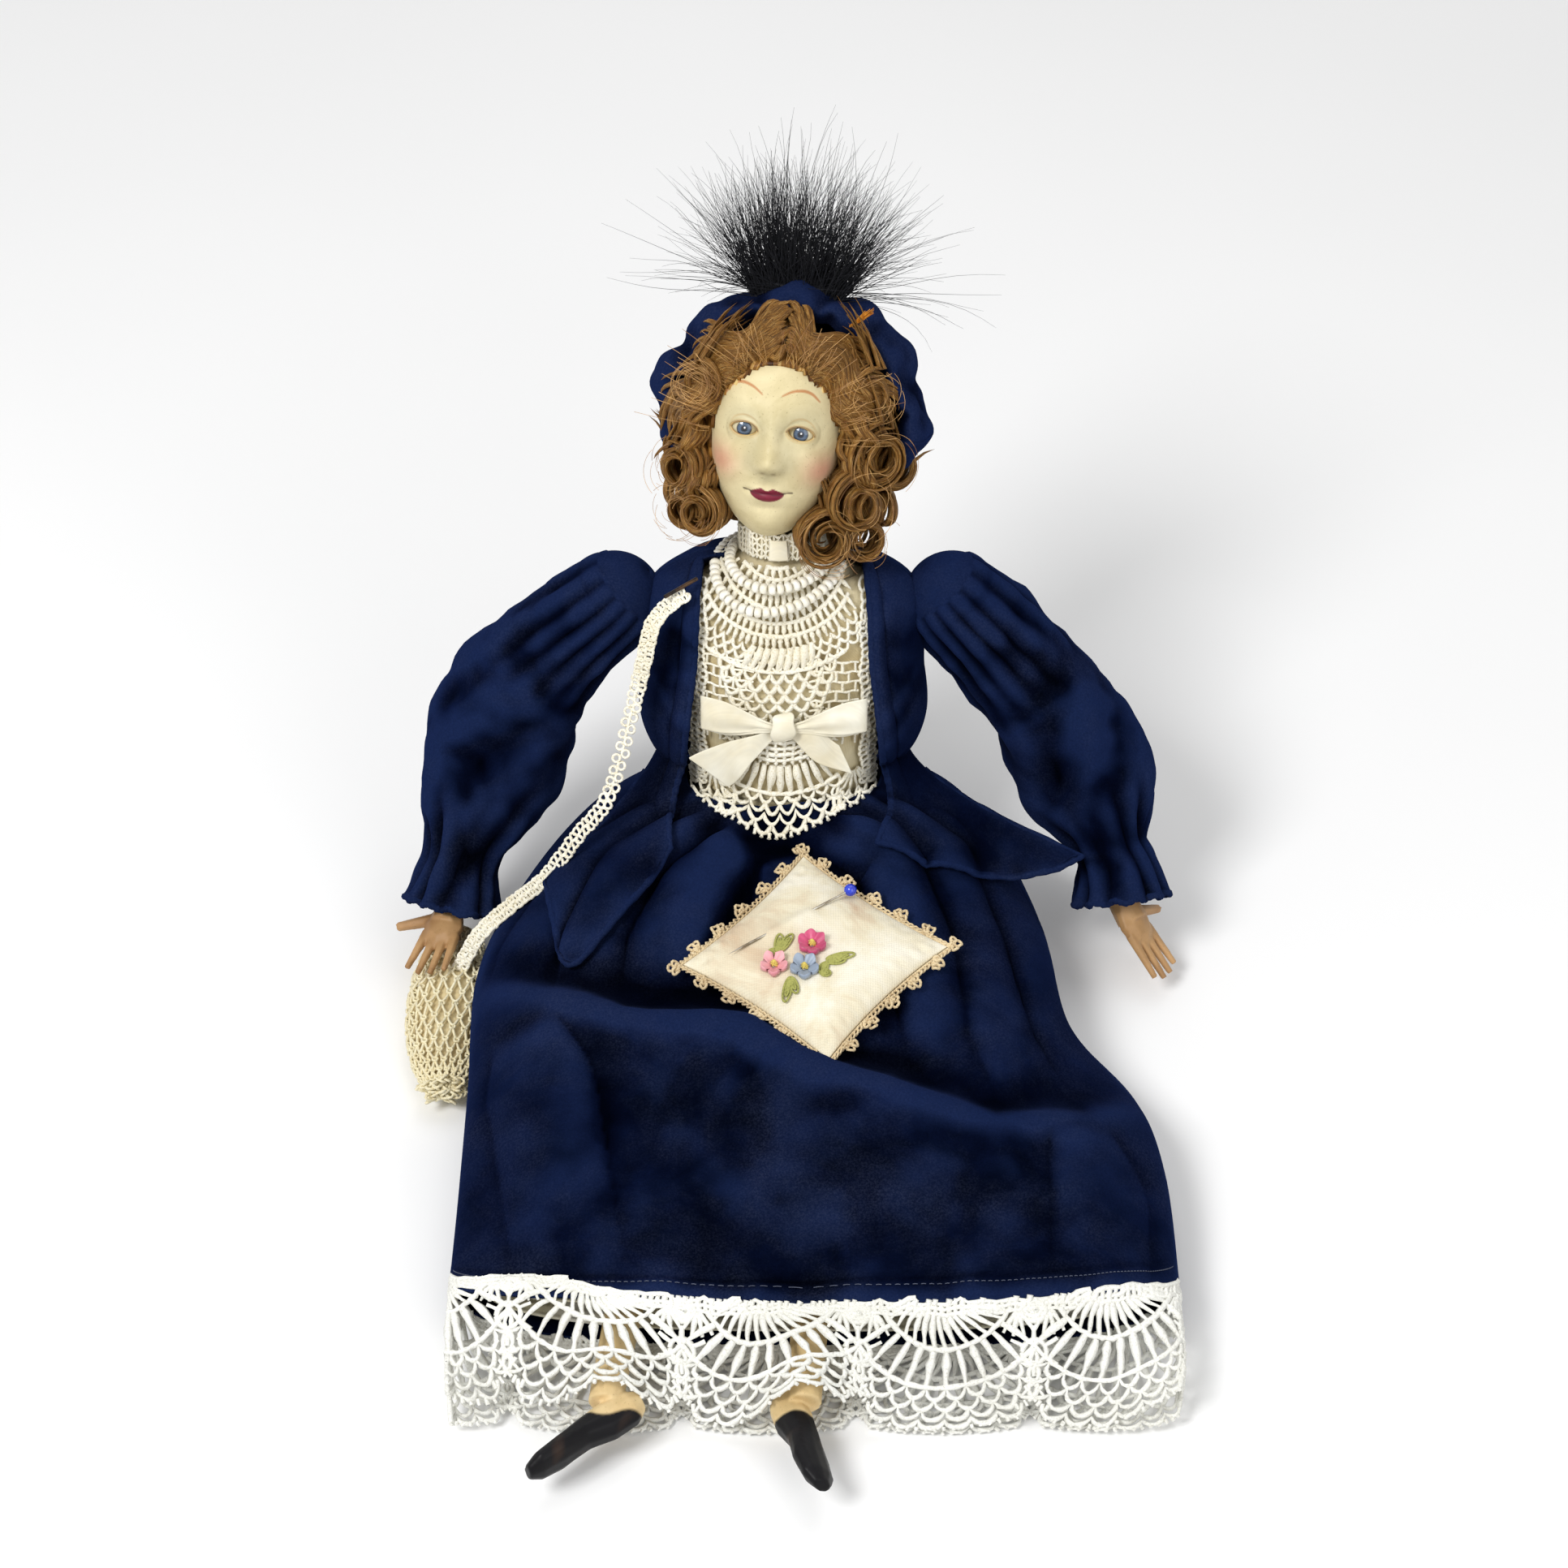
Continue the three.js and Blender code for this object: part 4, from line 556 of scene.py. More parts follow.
def head_form(points):
    """Moves the points of a unit sphere to the head's skin, in the head's own millimetres."""
    around = np.arctan2(points[:, 1], points[:, 0]) + pi / 2
    around = (around + pi) % TURN - pi
    share = around / pi
    around = pi * share * (0.62 + 0.38 * share ** 2) - pi / 2
    flat = np.sqrt(np.clip(1 - points[:, 2] ** 2, 0, 1))
    dx, dy, dz = flat * np.cos(around), flat * np.sin(around), points[:, 2]
    low = np.clip(-dz, 0, 1)
    x = HEAD_HALF_WIDTH * dx * (1 - 0.06 * low ** 2)
    z = np.where(dz > 0, CROWN_HEIGHT, CHIN_DROP) * dz
    y = np.where(dy < 0, FACE_DEPTH, NAPE_DEPTH) * dy
    y = np.where(dy > 0, y * (1 - 0.35 * low ** 1.5), y)
    front = np.sqrt(np.clip(-dy, 0, 1))
    for size, at_x, at_z, wide, high in FACE_FORMS:
        for side in ((at_x, -at_x) if at_x else (0,)):
            y -= front * size * bell(x - side, wide) * bell(z - at_z, high)
    y += front * 0.5 * bell(x, 5.2) * bell(z - PARTING_Z - 0.04 * x * x * 0.3, 0.38)
    for ex, ey, ez in EYES.values():
        reach = (EYE_RADIUS + LID_THICKNESS) ** 2 - (x - ex) ** 2 - (z - ez) ** 2
        lid = np.where(reach > 0, ey - np.sqrt(np.clip(reach, 0, None)), 0)
        swell = np.clip((y - lid) / 0.9, -6, 6)
        y = np.where((reach > 0) & (dy < 0), y - 0.9 * np.log1p(np.exp(swell)), y)
        crease = np.hypot((x - ex) / 5.6, (z - ez + 1.5) / 5.4)
        y += front * 0.35 * bell(crease - 1, 0.1) * (z > ez)
    return np.stack([x, y, z], axis=1)


def eye_outline(side, grow=0.0):
    """The almond between the lids, as points (x, z) round the eye's centre."""
    ex, _, ez = EYES[side]
    slope = radians(EYE_SLOPE[side])
    outline = []
    for k in range(EYE_STEPS):
        angle = TURN * k / EYE_STEPS
        along = (4.15 + grow) * cos(angle)
        arch = 2.35 if sin(angle) > 0 else 2.0
        rise = (arch + grow) * copysign(abs(sin(angle)) ** 1.15, sin(angle))
        outline.append((
            ex + along * cos(slope) - rise * sin(slope),
            ez + along * sin(slope) + rise * cos(slope),
        ))
    return outline


def near_line(x, z, line):
    """How far each point is from a drawn line, and how far along the line it is."""
    best = np.full(len(x), 1e9)
    along = np.zeros(len(x))
    for k, (a, b) in enumerate(zip(line, line[1:])):
        ax, az, dx, dz = a[0], a[1], b[0] - a[0], b[1] - a[1]
        t = np.clip(((x - ax) * dx + (z - az) * dz) / (dx * dx + dz * dz), 0, 1)
        gap = np.hypot(x - ax - t * dx, z - az - t * dz)
        closer = gap < best
        best = np.where(closer, gap, best)
        along = np.where(closer, (k + t) / (len(line) - 1), along)
    return best, along


def arc(*points, steps=24):
    return [spline(points, k / steps) for k in range(steps + 1)]


BROWS = [
    arc((-15.8, 8.9), (-13.6, 12.3), (-10.6, 13.6), (-7, 13), (-3.9, 11.2)),
    arc((2.1, 11.3), (5, 12.7), (8.2, 13), (11, 12), (13.5, 9.6)),
]
LID_CREASES = [
    arc((-13.4, 0.4), (-12, 3), (-9, 4.3), (-6, 3.6), (-4.4, 1.8)),
    arc((4.3, 1.8), (6.2, 4.1), (9.2, 4.6), (12.2, 2.6), (13.8, -0.6)),
]
MOUTH_CORNERS = [
    arc((-7.4, -19.1), (-6, -19.3), (-4.6, -19.7)),
    arc((4.6, -19.7), (6.2, -19.3), (7.7, -19.2)),
]


def paint_face(obj, local):
    """The face's painting: blush, brows, lids, lips and painted grey shade round the eyes, nose and mouth,
    held as a colour at each point.
    """
    x, y, z = local[:, 0], local[:, 1], local[:, 2]
    front = np.clip((-y - 4) / 8, 0, 1)
    paint = Paint(obj, (230, 216, 172))
    lay = paint.lay
    # Painted grey shade in the eye sockets and down the sides of the nose.
    for ex, _, ez in EYES.values():
        lay(0.42 * front * bell(np.hypot((x - ex) / 1.35, z - ez - 2.5), 5.5), (170, 166, 136))
        lay(0.3 * front * bell(np.hypot(x - 0.55 * ex, (z + 5) / 1.6), 3), (178, 172, 142))
    # Painted shade under the nose, beside its wings and under the lower lip.
    lay(0.6 * front * bell(np.hypot(x / 1.6, z + 14.4), 2.4), (132, 126, 96))
    lay(0.35 * front * bell(np.hypot((np.abs(x) - 6.5) / 1.1, (z + 10) / 1.5), 2.6), (172, 166, 138))
    lay(0.22 * front * bell(np.hypot(x, (z + 24.6) / 0.5), 5), (190, 180, 145))
    for bx, bz in ((-15.6, -11.6), (15.8, -12.2)):
        lay(0.62 * front * bell(np.hypot(x - bx, z - bz), 5), (230, 146, 130))
    for brow in BROWS:
        gap, along = near_line(x, z, brow)
        width = 0.1 + 0.26 * np.sin(pi * along) ** 0.7
        lay(front * 0.85 * np.clip((width + 0.16 - gap) / 0.22, 0, 1), (196, 128, 74))
    for crease in LID_CREASES:
        gap, along = near_line(x, z, crease)
        lay(front * 0.5 * np.clip((0.42 - gap) / 0.3, 0, 1) * np.sin(pi * along), (190, 150, 92))
    for side in EYES:
        outline = eye_outline(side, 0.15)
        gap, along = near_line(x, z, outline + outline[:1])
        lay(front * 0.5 * np.clip((0.8 - gap) / 0.4, 0, 1), (206, 176, 116))
        upper = front * np.clip((0.42 - gap) / 0.25, 0, 1) * (along < 0.52)
        lay(0.75 * upper, (112, 72, 36))
    lip = np.abs(x)
    taper = np.clip(1 - (lip / 5.3) ** 2, 0, 1)
    top = PARTING_Z + 1.95 * taper ** 0.7 - 0.75 * bell(x, 1.15) + 0.2 * bell(lip - 2, 1)
    foot = PARTING_Z - 2.75 * taper ** 0.6
    inside = np.clip((top - z) / 0.22 + 0.5, 0, 1) * np.clip((z - foot) / 0.22 + 0.5, 0, 1) * (lip < 5.3)
    lay(front * inside, (122, 22, 48))
    gap, _ = near_line(x, z, arc((-5, -19.7), (-2.4, -19.95), (0, -19.6), (2.4, -19.95), (5, -19.7)))
    lay(front * 0.75 * np.clip((0.3 - gap) / 0.2, 0, 1), (62, 10, 22))
    for corner in MOUTH_CORNERS:
        gap, _ = near_line(x, z, corner)
        lay(front * 0.9 * np.clip((0.34 - gap) / 0.2, 0, 1), (52, 26, 18))
    # Painted shade in the nostrils.
    for nx in (-1.7, 1.7):
        lay(0.55 * front * bell(np.hypot(x - nx, (z + 13.1) * 1.3), 0.7), (120, 92, 66))
    paint.store()


def put_in_head(obj, local):
    turn = np.array(head_to_world)
    set_points(obj, (local @ turn[:3, :3].T + turn[:3, 3]) * MM)


def local_points(obj):
    turn = np.array(head_to_world.inverted())
    return points_of(obj) / MM @ turn[:3, :3].T + turn[:3, 3]


def make_head():
    bpy.ops.mesh.primitive_uv_sphere_add(segments=288, ring_count=300, radius=1)
    head = named("porcelain_head")
    put_in_head(head, head_form(points_of(head)))
    forward = (head_to_world.to_3x3() @ Vector((0, -14, 0))) * MM
    for side in EYES:
        bpy.ops.mesh.primitive_circle_add(vertices=EYE_STEPS, radius=1, fill_type="NGON")
        cutter = named("eye_cutter")
        put_in_head(cutter, np.array([(x, EYE_CUT_Y, z) for x, z in eye_outline(side)]))
        edit_all(cutter, bpy.ops.mesh.extrude_region_move, TRANSFORM_OT_translate={"value": forward})
        face_outwards(cutter)
        apply_modifier(head, "BOOLEAN", object=cutter, operation="DIFFERENCE", solver="EXACT")
        bpy.data.objects.remove(cutter)
    paint_face(head, local_points(head))
    bpy.ops.mesh.primitive_cylinder_add(vertices=64, radius=NECK_RADIUS * MM, depth=NECK_LENGTH * MM)
    neck = named("porcelain_neck")
    edit_all(neck, bpy.ops.mesh.bevel, offset=0.8 * MM, segments=3)
    set_points(neck, [in_world(Vector(p) / MM + Vector((0, 0, NECK_MIDDLE_S))) * MM for p in points_of(neck)])
    Paint(neck, (222, 210, 170)).store()
    skin = porcelain_finish("porcelain", 0.46)
    finish_piece(head, skin, "head", "porcelain", ["head"])
    finish_piece(neck, skin, "head", "porcelain")


def make_eye(side):
    """A glass eye, its rings centred on its gaze: pupil, streaked iris, dark rim, a yellowed white and a
    painted white highlight.
    """
    bpy.ops.mesh.primitive_uv_sphere_add(segments=72, ring_count=80, radius=EYE_RADIUS * 0.995)
    eye = named(f"glass_eye_{side}")
    points = points_of(eye)
    off_axis = np.arccos(np.clip(points[:, 2] / EYE_RADIUS / 0.995, -1, 1)) * EYE_RADIUS
    round_axis = np.arctan2(points[:, 1], points[:, 0])
    paint = Paint(eye, (206, 196, 160))
    lay = paint.lay
    lay((2.55 - off_axis) / 0.18, (22, 28, 42))
    lay((2.25 - off_axis) / 0.3, (58, 78, 104))
    lay(0.4 * (2.1 - off_axis) / 0.4 * (0.5 + 0.5 * np.sin(22 * round_axis)), (100, 122, 146))
    lay((1.25 - off_axis) / 0.3, (28, 38, 58))
    lay((0.85 - off_axis) / 0.15, (10, 12, 20))
    # A painted white highlight on the glass, standing in for a reflection.
    painted_catchlight = np.hypot(off_axis * np.cos(round_axis) - 0.15, off_axis * np.sin(round_axis) - 0.35)
    lay((0.34 - painted_catchlight) / 0.12, (250, 250, 250))
    paint.store()
    centre = np.array(EYES[side])
    put_in_head(eye, np.stack([points[:, 0], -points[:, 2], points[:, 1]], axis=1) + centre)
    glass = bpy.data.materials.get("glass_eye")
    if not glass:
        finish = Finish("glass_eye")
        cloud = finish.ramp(finish.noise(900, 3), (0.3, 0.5), (0.7, 1.0))
        finish.tint(finish.blend(0.12, finish.paint("paint"), cloud, "MULTIPLY"))
        finish.rough(finish.noise(300, 2), 0.08, 0.16)
        glass = finish.set(Coat_Weight=0.6, Coat_Roughness=0.05, IOR=1.5).material
    finish_piece(eye, glass, "head", "eyes", [f"eye_{side}"])
    rim = []
    for x, z in eye_outline(side, 0.05):
        forward = (EYE_RADIUS + 0.45) ** 2 - (x - centre[0]) ** 2 - (z - centre[2]) ** 2
        rim.append(in_head((x, centre[1] - sqrt(max(0, forward)), z)))
    lids = wind_yarn(f"lid_rim_{side}", [rim], LID_RIM_RADIUS, closed=True, resolution=2)
    finish = Finish(f"lid_paint_{side}")
    finish.mottle(finish.noise(260, 3), 0.35, colour(176, 132, 72), 0.65, colour(214, 186, 122))
    finish.relief(finish.noise(900, 3), 0.15)
    finish_piece(lids, finish.set(Roughness=0.5).material, "head", "porcelain")


# Hair: locks swept along lines, each a flat bundle with its strands ridged along it
def sweep_locks(name, locks, sides=6):
    """Each lock is (points, width, thickness, side), where side is the direction of its width."""
    verts, faces, weave = [], [], []
    start = 0
    for n, (points, width, thick, side) in enumerate(locks):
        path = np.array([list(p) for p in points])
        steps = len(path)
        along = np.gradient(path, axis=0)
        along /= np.linalg.norm(along, axis=1)[:, None] + 1e-9
        across = np.broadcast_to(np.array(side, dtype=float), path.shape)
        across = across - along * (across * along).sum(1)[:, None]
        across = across / (np.linalg.norm(across, axis=1)[:, None] + 1e-9)
        deep = np.cross(along, across)
        share = np.linspace(0, 1, steps)
        taper = np.clip(np.minimum(share / 0.08, (1 - share) / 0.22), 0, 1) ** 0.6
        length = np.concatenate([[0], np.cumsum(np.linalg.norm(np.diff(path, axis=0), axis=1))])
        for k in range(sides):
            angle = TURN * k / sides
            ridge = 1 + 0.2 * cos(3 * angle + n)
            verts.append(
                path
                + across * (0.5 * width * ridge * cos(angle) * taper)[:, None]
                + deep * (0.5 * thick * ridge * sin(angle) * taper)[:, None]
            )
        for j in range(steps - 1):
            for k in range(sides):
                here, beside = start + k * steps + j, start + (k + 1) % sides * steps + j
                faces.append((here, beside, beside + 1, here + 1))
                u0, u1 = k / sides + 0.37 * n, (k + 1) / sides + 0.37 * n
                v0, v1 = length[j] / 10 + n, length[j + 1] / 10 + n
                weave.extend(((u0, v0), (u1, v0), (u1, v1), (u0, v1)))
        start += sides * steps
    hair = new_piece(name, verts, faces)
    hair.data.uv_layers.new(name="along").data.foreach_set("uv", np.array(weave).ravel())
    hair.data.validate()
    return hair


CAP_HALVES, CAP_CENTRE = (22.8, 27.4, 32.4), (0, 1.5, -3)
CAP_WINDOW_Y, CAP_FOOT_Z = -2.5, -31
CROWN_LOCKS, SIDE_LOCKS, CURL_LOCKS, STRAY_HAIRS = 250, 90, 17, 190
STRAY_RADIUS = 0.07
# Each curl: its middle, the radius of its roll and the thickness of its coil
CURLS = [
    (-22.5, -10, 11, 4.6, 3.4), (-27.5, -7, -17, 5.4, 4.2), (-20.5, -7, -31, 5.4, 4.2), (-26, 3, -33, 5, 4),
    (27, -5, 12, 5.4, 4), (31.5, -6, -8, 7, 4.8), (26.5, -8, -22.5, 6.4, 4.8), (18.5, -9, -35, 6, 4.6),
    (29.5, 0, -35.5, 6, 4.4), (-12, 24, -30, 7, 5), (12, 24, -30, 7, 5), (0, 27, -33, 6, 4.5),
    (-27, 9, -28, 5, 4), (33, 8, -27, 5.5, 4.4), (-29, 7, -14, 5, 4), (37, 6, -13, 5, 4),
]


def curl_locks(centre, roll, thick, rng):
    """A barrel curl: flat locks that come down off the cap and wind inwards round the curl's axis."""
    c = Vector(centre)
    axis = Vector((c.x * 0.35, -20 if c.y < 8 else c.y, 0)).normalized()
    up = Vector((0, 0, 1))
    right = axis.cross(up).normalized()
    up = right.cross(axis).normalized()
    sign = -1 if c.x < 0 else 1
    if axis.y > 0:
        sign = -sign
    locks = []
    for k in range(CURL_LOCKS):
        depth = (k / (CURL_LOCKS - 1) - 0.5) * 11 - 1 + rng.uniform(-0.6, 0.6)
        start = pi / 2 + sign * rng.uniform(-0.2, 0.5)
        turns = rng.uniform(1.25, 1.75)
        outer = (roll + thick) * rng.uniform(0.78, 1.06)
        inner = roll * rng.uniform(0.3, 0.75)
        lead = Vector((-sign * rng.uniform(8, 12), rng.uniform(2, 5), outer + rng.uniform(4, 9)))
        coil = []
        for t in shares(45):
            angle = start - sign * TURN * turns * t
            radius = outer + (inner - outer) * t ** 0.8 + 0.4 * sin(9 * t + 2 * k)
            middle = c + axis * (depth + 1.6 * sin(4 * t + k))
            coil.append(middle + right * radius * cos(angle) + up * radius * sin(angle))
        fall = [coil[0] + lead * f + Vector((0, 0, 2.5 * sin(pi * f))) for f in (1, 0.72, 0.46, 0.22)]
        locks.append((fall + coil, rng.uniform(1.5, 2.8), rng.uniform(0.8, 1.3), axis))
    return locks


def crown_locks(rng):
    """Locks swept from the parting along the hairline in even waves, the outer ones tucked under the hat."""
    locks = []
    for k in range(CROWN_LOCKS):
        side = 1 if k % 2 else -1
        outward = 13 * rng.random()
        start = rng.uniform(-5, 52) * rng.random()
        span = min(rng.uniform(36, 66), 104 - start)
        points = []
        for t in shares(29):
            sweep = start + span * t
            turn = radians(90 - side * sweep)
            out = Vector((cos(turn), 0, sin(turn)))
            edge = Vector((0.5 + 20.6 * out.x, 0, -9 + 28.3 * out.z))
            rooted = smooth(t / 0.22)
            grown = outward * rooted if start > 9 else outward + 5 * (1 - rooted)
            phase = TURN * sweep / 33 + 0.09 * outward + 0.8 * side
            away = max(-0.4, grown + 1.9 * sin(phase) * rooted + 5 * smooth((t - 0.72) / 0.28))
            depth = -sqrt(max(9, 19.5 ** 2 - 0.55 * edge.x ** 2 - 0.35 * max(0, edge.z) ** 2))
            lift = 1.2 + 4.8 * sin(pi * clamp(away / 15)) + 1.2 * cos(phase)
            points.append(edge + out * away + Vector((0, depth + 2.3 + 0.55 * away - lift, 0)))
        middle = radians(90 - side * (start + span / 2))
        width_way = Vector((cos(middle), 0, sin(middle)))
        locks.append((points, rng.uniform(1.6, 2.8), rng.uniform(1, 1.5), width_way))
    return locks


def side_locks(rng):
    """Finger waves that fall beside the cheeks from under the hat and run into the curls."""
    locks = []
    for side in (-1, 1):
        for _ in range(SIDE_LOCKS):
            share = rng.random()
            top = Vector((0.5 + side * rng.uniform(17, 25), rng.uniform(-12, 6), rng.uniform(4, 20)))
            foot = Vector((side * rng.uniform(17, 28) + 2.5, rng.uniform(-11, 9), -18 - 22 * share))
            stray = rng.uniform(-0.35, 0.35)
            points = []
            for t in shares(33):
                p = top.lerp(foot, t)
                wave = sin(TURN * p.z / 13.5 + 1.2 * side + stray)
                bow = side * (4.6 * sin(pi * t) + 1.5 * cos(TURN * p.z / 13.5 + 1.2 * side))
                points.append(p + Vector((bow, -2.4 * sin(pi * t) - 2.3 * wave, 0)))
            locks.append((points, rng.uniform(1.8, 3), rng.uniform(1.1, 1.7), Vector((1, 0.3, 0.2))))
    return locks


def stray_hairs(rng, count):
    hairs = []
    for _ in range(count):
        curl = rng.choice(CURLS[:9])
        c = Vector(curl[:3])
        axis = Vector((c.x * 0.35, -20, 0)).normalized()
        right = axis.cross(Vector((0, 0, 1))).normalized()
        up = right.cross(axis)
        radius = (curl[3] + curl[4]) * rng.uniform(0.3, 0.95)
        start = rng.uniform(0, TURN)
        turn = rng.uniform(0.6, 1.9) * rng.choice((-1, 1))
        depth = rng.uniform(4.5, 8.5)
        hair = []
        for t in shares(13):
            reach, angle = radius * (1 + 0.2 * t), start + turn * t
            p = c + axis * (depth + 1.4 * sin(2.2 * t))
            hair.append(in_head(p + right * reach * cos(angle) + up * reach * sin(angle)))
        hairs.append(hair)
    for _ in range(count // 2):
        angle = radians(rng.uniform(10, 170))
        root = Vector((0.5 + 21 * cos(angle), -17 + 4 * abs(cos(angle)), -9 + 28.6 * sin(angle)))
        out = Vector((cos(angle) + rng.uniform(-0.6, 0.6), -0.35, sin(angle)))
        bow = rng.uniform(-5, 5)
        reach = rng.uniform(8, 17)
        hairs.append([
            in_head(root + out * reach * t + Vector((bow * t * t, -2.5 * sin(pi * t), 0)))
            for t in shares(9)
        ])
    return hairs


def make_hair():
    auburn = hair_finish()
    rng = random.Random(7)
    bpy.ops.mesh.primitive_uv_sphere_add(segments=96, ring_count=64, radius=1)
    cap = named("wig_cap")
    unit = points_of(cap)
    local = unit * CAP_HALVES + CAP_CENTRE
    window = ((local[:, 0] - 0.5) / 20.3) ** 2 + ((local[:, 2] + 9) / 28) ** 2
    inside = (local[:, 1] < CAP_WINDOW_Y) & (window < 1.02)
    low = local[:, 2] < CAP_FOOT_Z
    put_in_head(cap, local + 0.5 * np.sin(unit * 40))
    cut_away(cap, inside | low)
    apply_modifier(cap, "SOLIDIFY", thickness=1.2 * MM, offset=-1)
    finish_piece(cap, auburn, "head", "hair", ["wig"])
    rolls = [lock for x, y, z, roll, thick in CURLS for lock in curl_locks((x, y, z), roll, thick, rng)]
    for name, locks in (
        ("hair_rolls_right", [lock for lock in rolls if lock[0][20].x < 0]),
        ("hair_rolls_left", [lock for lock in rolls if lock[0][20].x >= 0]),
        ("hair_crown", crown_locks(rng)),
        ("hair_sides", side_locks(rng)),
    ):
        turned = [
            ([in_head(p) for p in points], width, thick, head_to_world.to_3x3() @ Vector(side))
            for points, width, thick, side in locks
        ]
        finish_piece(sweep_locks(name, turned), auburn, "head", "hair")
    strays = wind_yarn("stray_hairs", stray_hairs(rng, STRAY_HAIRS), STRAY_RADIUS)
    fine = Finish("stray_hair")
    fine.mottle(fine.noise(120, 3), 0.35, colour(128, 82, 40), 0.65, colour(216, 170, 106))
    finish_piece(strays, fine.set(Roughness=0.42).material, "head", "hair")


# Hat and plume
HAT_CENTRE = (3.5, -3.5)
HAT_BACK = 34.5
HAT_GATHERS = 11
PLUME_ROOT = Vector((1.5, 12, 37.5))
PLUME_BARBS, CORE_BARBS, BARB_RADIUS = 1150, 800, 0.15
TUFT_FOOT, TUFT_TIP = Vector((19.5, -1.6, 30.6)), Vector((26.5, -6, 37.4))
TUFT_HAIRS, TUFT_RADIUS = 26, 0.42
HAT_PROFILE = [(34, 3), (38, 0.4), (41, 5), (42, 13), (39, 22), (31.9, 29.5), (16.8, 33.8), (0, HAT_BACK)]


def hat_point(u, v):
    r, y = spline(HAT_PROFILE, v)
    angle = -TURN * u
    low = max(0, -sin(angle))
    bulge = sin(pi * v)
    puff = 1.5 * cos(HAT_GATHERS * TURN * u + 0.8 * sin(3 * angle)) * bulge
    puff += 0.55 * cos(29 * TURN * u + 2 * v) * bump(v - 0.08, 0.14)
    crush = 3.2 * ruffled((r * cos(angle), y, r * sin(angle)), 14) * min(1, r / 20)
    crush += 1.5 * ruffled((r * cos(angle), y, r * sin(angle)), 6, 3) * min(1, r / 20)
    radius = (r + puff + crush) * (1 - 0.24 * low) if r > 1 else r
    set_back = y + 26 * low * (1 - y / HAT_BACK)
    set_back -= 1.4 * bump(v - 0.16, 0.12) * (1 + ruffled((u * 40, 0, 0), 6, 5))
    return in_head((HAT_CENTRE[0] + radius * cos(angle), set_back, HAT_CENTRE[1] + radius * sin(angle)))


def make_hat(velvet):
    hat = cut_cloth("velvet_hat", hat_point, 240, 88, VELVET, loop=True, flat=(260, 60))
    finish_piece(hat, velvet, "head", "velvet", ["hat"])
    rng = random.Random(3)
    barbs = []
    for k in range(PLUME_BARBS):
        core = k < CORE_BARBS
        stem = rng.uniform(-1, 1)
        fan = radians(rng.gauss(32 * stem, 12) if core else rng.uniform(-88, 88))
        back = radians(rng.gauss(3, 13))
        reach = rng.uniform(22, 42) if core else rng.uniform(30, 58) * (1 - 0.12 * abs(sin(fan)))
        heading = Vector((sin(fan) * cos(back), sin(back), cos(fan) * cos(back)))
        start = PLUME_ROOT + Vector((14 * stem, rng.uniform(-5, 5), rng.uniform(-1, 1) - 2.5 * stem * stem))
        droop = rng.uniform(0, 9) * abs(sin(fan)) + rng.uniform(-1, 1)
        curl = Vector((rng.uniform(-8, 8), rng.uniform(-5, 5), rng.uniform(-5, 4))) * (0.5 if core else 1)
        phase, hook = rng.uniform(0, 6), rng.uniform(0, 2.4)
        barb = []
        for t in shares(10):
            p = start + heading * reach * t + Vector((0, 0, -droop)) * t * t + curl * t ** 3
            p += Vector((sin(5 * t + phase), 0.8 * cos(5 * t + phase), 0.5 * sin(7 * t + phase))) * hook * t
            barb.append((*in_head(p), 1 - 0.8 * t))
        barbs.append(barb)
    plume = wind_yarn("plume_barbs", barbs, BARB_RADIUS)
    black = feather_finish("feather", colour(5, 6, 9), colour(24, 25, 31))
    finish_piece(plume, black, "head", "feather", ["plume"])
    bpy.ops.mesh.primitive_ico_sphere_add(subdivisions=4, radius=1)
    base = named("plume_root")
    shape = points_of(base)
    shape = shape * (1 + 0.14 * np.sin(9 * shape[:, [1, 2, 0]]))
    put_in_head(base, shape * (14, 5, 4) + PLUME_ROOT + (0, 0, 1))
    finish_piece(base, black, "head", "feather")
    quill = []
    for _ in range(TUFT_HAIRS):
        share = rng.uniform(0, 1)
        foot = TUFT_FOOT.lerp(TUFT_TIP, 0.25 * share)
        stray = Vector((rng.uniform(-1.2, 1.2), rng.uniform(-0.6, 0.6), rng.uniform(-1, 1.2)))
        tip = TUFT_FOOT.lerp(TUFT_TIP, 0.55 + 0.45 * share) + stray
        quill.append([
            (*in_head(foot.lerp(tip, t) + Vector((0, -0.6 * sin(3 * t), 0))), 1 - 0.75 * t) for t in shares(4)
        ])
    tuft = wind_yarn("amber_tuft", quill, TUFT_RADIUS)
    amber = feather_finish("tuft", colour(150, 84, 18), colour(222, 150, 50))
    finish_piece(tuft, amber, "head", "tuft", ["hat_tuft"])


# Torso and what is worn on it. Its own axes: x to her left, y to her back and s up her spine.
HIPS, WAIST, BUST, SHOULDERS = (37, 27.5), (27.5, 19.5), (35, 22.5), (37.5, 20.7)
TORSO_ROWS = [
    (0.6 * HIPS[0], 0.6 * HIPS[1]), (0.93 * HIPS[0], 0.9 * HIPS[1]), HIPS, (0.89 * HIPS[0], 0.88 * HIPS[1]),
    WAIST, (1.02 * WAIST[0], 1.02 * WAIST[1]), (0.92 * BUST[0], 0.96 * BUST[1]), BUST, SHOULDERS,
    (0.96 * SHOULDERS[0], 0.8 * BUST[1]), (15, 12),
]
TORSO_BOTTOM_S, TORSO_TOP_S = -25, 105


def torso_halves(s):
    return spline(TORSO_ROWS, (s - TORSO_BOTTOM_S) / (TORSO_TOP_S - TORSO_BOTTOM_S))


def torso_skin(angle, s):
    a, b = torso_halves(s)
    return Vector((a * cos(angle), b * sin(angle), s))


